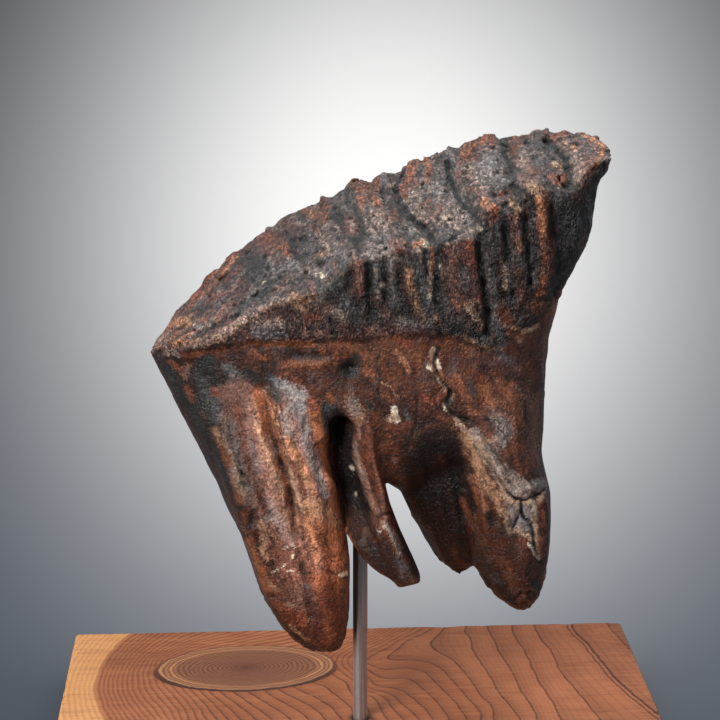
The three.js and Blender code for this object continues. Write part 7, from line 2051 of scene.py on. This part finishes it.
    # painted shade round the foot of the rod, at the rim of its hole
    col = N.mix(N.math("MULTIPLY", N.attr("rod_foot_shade"), 0.8), col, srgb(42, 26, 22))
    col = N.mix(1.0, col, (0.90, 0.79, 0.64), "MULTIPLY")
    col = N.mix(inside, col, N.mix(1.0, col, (0.80, 0.78, 0.78), "MULTIPLY"))
    N.link(col, N.bsdf.inputs["Base Color"])
    N.link(N.remap(fibre, 0.3, 0.7, 0.42, 0.6), N.bsdf.inputs["Roughness"])
    N.bsdf.inputs["Specular IOR Level"].default_value = 0.3
    h = N.math("SUBTRACT", N.math("MULTIPLY", fibre, 0.6), N.math("MULTIPLY", line, 0.35))
    h = N.math("SUBTRACT", h, N.math("MULTIPLY", crack, 1.2))
    N.link(N.bump(h, 0.35, 0.0005), N.bsdf.inputs["Normal"])
    return N.mat


board.data.materials.append(wood_material())
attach(board, "root")
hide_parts("base")

# =====================================================================================
# stage, lights, camera
# =====================================================================================
CAM_AT = (-0.0502308, -0.94394060, 0.53164054)
CAM_F = (0.05080, 0.95667, -0.28669)
CAM_R = (0.99859, -0.05303, 0.0)
CAM_U = (0.01520, 0.28629, 0.95802)


def bowl(flat, wall, height, rings=40, seg=96):
    """a round studio sweep: flat floor, wide cove, upright wall"""
    prof = [(0.3, 0.0), (0.7, 0.0), (flat, 0.0)]
    R = wall - flat
    for i in range(1, rings + 1):
        a = (math.pi / 2) * i / rings
        prof.append((flat + R * math.sin(a), R * (1 - math.cos(a))))
    prof.append((wall, height))
    verts, faces = [(0, 0, 0)], []
    for r, h in prof:
        for i in range(seg):
            a = 2 * math.pi * i / seg
            verts.append((r * math.cos(a), r * math.sin(a), h))
    for i in range(seg):
        j = (i + 1) % seg
        faces.append((0, 1 + i, 1 + j))
        for k in range(len(prof) - 1):
            b = 1 + k * seg
            faces.append((b + i, b + seg + i, b + seg + j, b + j))
    me = bpy.data.meshes.new("studio_sweep")
    me.from_pydata(verts, [], faces)
    me.polygons.foreach_set("use_smooth", np.full(len(me.polygons), True))
    me.update()
    ob = bpy.data.objects.new("studio_sweep", me)
    bpy.context.scene.collection.objects.link(ob)
    return ob


sweep = bowl(1.9, 3.3, 3.6)


def painted_light_paper():
    """paper that glows with a painted pool of light: brightness is a smooth function of place"""
    N = Nodes("studio_paper_painted_light")
    N.t.nodes.remove(N.bsdf)
    N.bsdf = N.n("ShaderNodeEmission")
    N.link(N.bsdf.outputs[0], N.out.inputs[0])
    geo = N.n("ShaderNodeNewGeometry")
    sub = N.n("ShaderNodeVectorMath", operation="SUBTRACT")
    N.link(geo.outputs["Position"], sub.inputs[0])
    sub.inputs[1].default_value = CAM_AT

    def dot(v):
        d = N.n("ShaderNodeVectorMath", operation="DOT_PRODUCT")
        N.link(sub.outputs[0], d.inputs[0])
        d.inputs[1].default_value = v
        return d.outputs["Value"]

    f = N.math("MAXIMUM", dot(CAM_F), 0.05)
    k = 1870.7 / 360.0
    X = N.math("MULTIPLY", N.math("DIVIDE", dot(CAM_R), f), k)
    Y = N.math("MULTIPLY", N.math("DIVIDE", dot(CAM_U), f), -k)
    Xc = N.math("MINIMUM", N.math("MAXIMUM", X, -1.8), 1.8)
    Yc = N.math("MINIMUM", N.math("MAXIMUM", Y, -1.8), 1.5)
    rx = N.math("DIVIDE", N.math("SUBTRACT", Xc, 0.0764), 1.0923)
    ry = N.math("DIVIDE", N.math("SUBTRACT", Yc, -0.4194), 1.2425)
    r2 = N.math("ADD", N.math("MULTIPLY", rx, rx), N.math("MULTIPLY", ry, ry))
    g = N.math("EXPONENT", N.math("MULTIPLY", N.math("POWER", r2, 1.087), -1.0))
    g = N.math("MULTIPLY_ADD", g, 206.8, 60.0)
    g = N.math("ADD", g, N.math("MULTIPLY", Yc, 18.1))
    g = N.math("ADD", g, N.math("MULTIPLY", Xc, 1.7))
    red = N.math("ADD", N.math("MULTIPLY_ADD", g, 1.02867, -6.27), N.math("MULTIPLY", Yc, N.math("MULTIPLY_ADD", g, 0.02644, -5.58)))
    blue = N.math("ADD", N.math("MULTIPLY_ADD", g, 0.95233, 11.25), N.math("MULTIPLY", Yc, N.math("MULTIPLY_ADD", g, -0.01509, 4.3)))
    # away from the main view the paper is an even pale grey, a little lighter up the wall
    away = N.math("SQRT", N.math("ADD", N.math("MULTIPLY", X, X), N.math("MULTIPLY", Y, Y)))
    away = N.remap(away, 1.5, 4.5)
    sep = N.n("ShaderNodeSeparateXYZ")
    N.link(geo.outputs["Position"], sep.inputs[0])
    pale = N.remap(sep.outputs[2], 0.0, 1.6, 158.0, 206.0)
    ch = []
    for c, t in ((red, 0.985), (g, 1.0), (blue, 1.015)):
        m = N.math("ADD", N.math("MULTIPLY", c, N.math("SUBTRACT", 1.0, away)), N.math("MULTIPLY", N.math("MULTIPLY", pale, t), away))
        ch.append(N.math("POWER", N.math("DIVIDE", N.math("MAXIMUM", m, 1.0), 255.0), 2.2))
    comb = N.n("ShaderNodeCombineXYZ")
    for i in range(3):
        N.link(ch[i], comb.inputs[i])
    # painted soft shadow on the floor round the board
    ax = N.math("MAXIMUM", N.math("SUBTRACT", N.math("ABSOLUTE", sep.outputs[0]), BX / 2 * MM - 0.004), 0.0)
    ay = N.math("MAXIMUM", N.math("SUBTRACT", N.math("ABSOLUTE", sep.outputs[1]), BY / 2 * MM - 0.004), 0.0)
    d = N.math("SQRT", N.math("ADD", N.math("MULTIPLY", ax, ax), N.math("MULTIPLY", ay, ay)))
    shadow_close = N.math("EXPONENT", N.math("MULTIPLY", d, -70.0))
    shadow_broad = N.math("EXPONENT", N.math("MULTIPLY", d, -14.0))
    keep = N.math("SUBTRACT", 1.0, N.math("ADD", N.math("MULTIPLY", shadow_close, 0.45), N.math("MULTIPLY", shadow_broad, 0.25)))
    sc = N.n("ShaderNodeVectorMath", operation="SCALE")
    N.link(comb.outputs[0], sc.inputs[0])
    N.link(keep, sc.inputs["Scale"])
    N.link(sc.outputs[0], N.bsdf.inputs["Color"])
    N.bsdf.inputs["Strength"].default_value = 1.0
    return N.mat


sweep.data.materials.append(painted_light_paper())
sweep.visible_diffuse = False
sweep.visible_glossy = False
sweep.visible_shadow = False


def area(name, loc, aim, size, size_y, power, color=(1, 1, 1)):
    li = bpy.data.lights.new(name, "AREA")
    li.shape = "RECTANGLE"
    li.size, li.size_y = size, size_y
    li.energy = power
    li.color = color
    ob = bpy.data.objects.new(name, li)
    bpy.context.scene.collection.objects.link(ob)
    ob.location = loc
    ob.rotation_mode = "QUATERNION"
    ob.rotation_quaternion = (Vector(aim) - Vector(loc)).to_track_quat("-Z", "Y")
    return ob


area("overhead_softbox", (-0.10, 0.55, 1.15), (0, 0, 0.25), 1.2, 0.7, 8, (0.96, 0.98, 1.0))
area("front_left_key", (-1.00, -1.10, 0.95), (0, 0, 0.2), 0.6, 0.7, 30, (1.0, 0.985, 0.96))
area("front_right_fill", (1.05, -0.9, 0.75), (0, 0, 0.2), 0.5, 0.9, 2.5)
area("rear_left_rim", (-1.2, 0.9, 0.7), (0, 0, 0.2), 0.5, 0.9, 5)
area("rear_right_rim", (1.0, 1.0, 0.8), (0, 0, 0.2), 0.5, 0.9, 5)

world = bpy.data.worlds.new("studio_air")
world.use_nodes = True
bgn = world.node_tree.nodes["Background"]
bgn.inputs[0].default_value = (0.80, 0.85, 0.92, 1)
bgn.inputs[1].default_value = 0.16
bpy.context.scene.world = world

cam_data = bpy.data.cameras.new("camera")
cam = bpy.data.objects.new("camera", cam_data)
bpy.context.scene.collection.objects.link(cam)
cam_data.sensor_width = 36.0
cam_data.lens = 1870.7 / 720 * 36.0
cam.location = CAM_AT
cam.rotation_mode = "QUATERNION"
cam.rotation_quaternion = Vector(CAM_F).to_track_quat("-Z", "Y")
cam_data.clip_start, cam_data.clip_end = 0.05, 30
cam_data.dof.use_dof = False
bpy.context.scene.camera = cam
bpy.context.scene.view_settings.view_transform = "Standard"
bpy.context.scene.view_settings.look = "None"

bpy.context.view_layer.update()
tick("done")
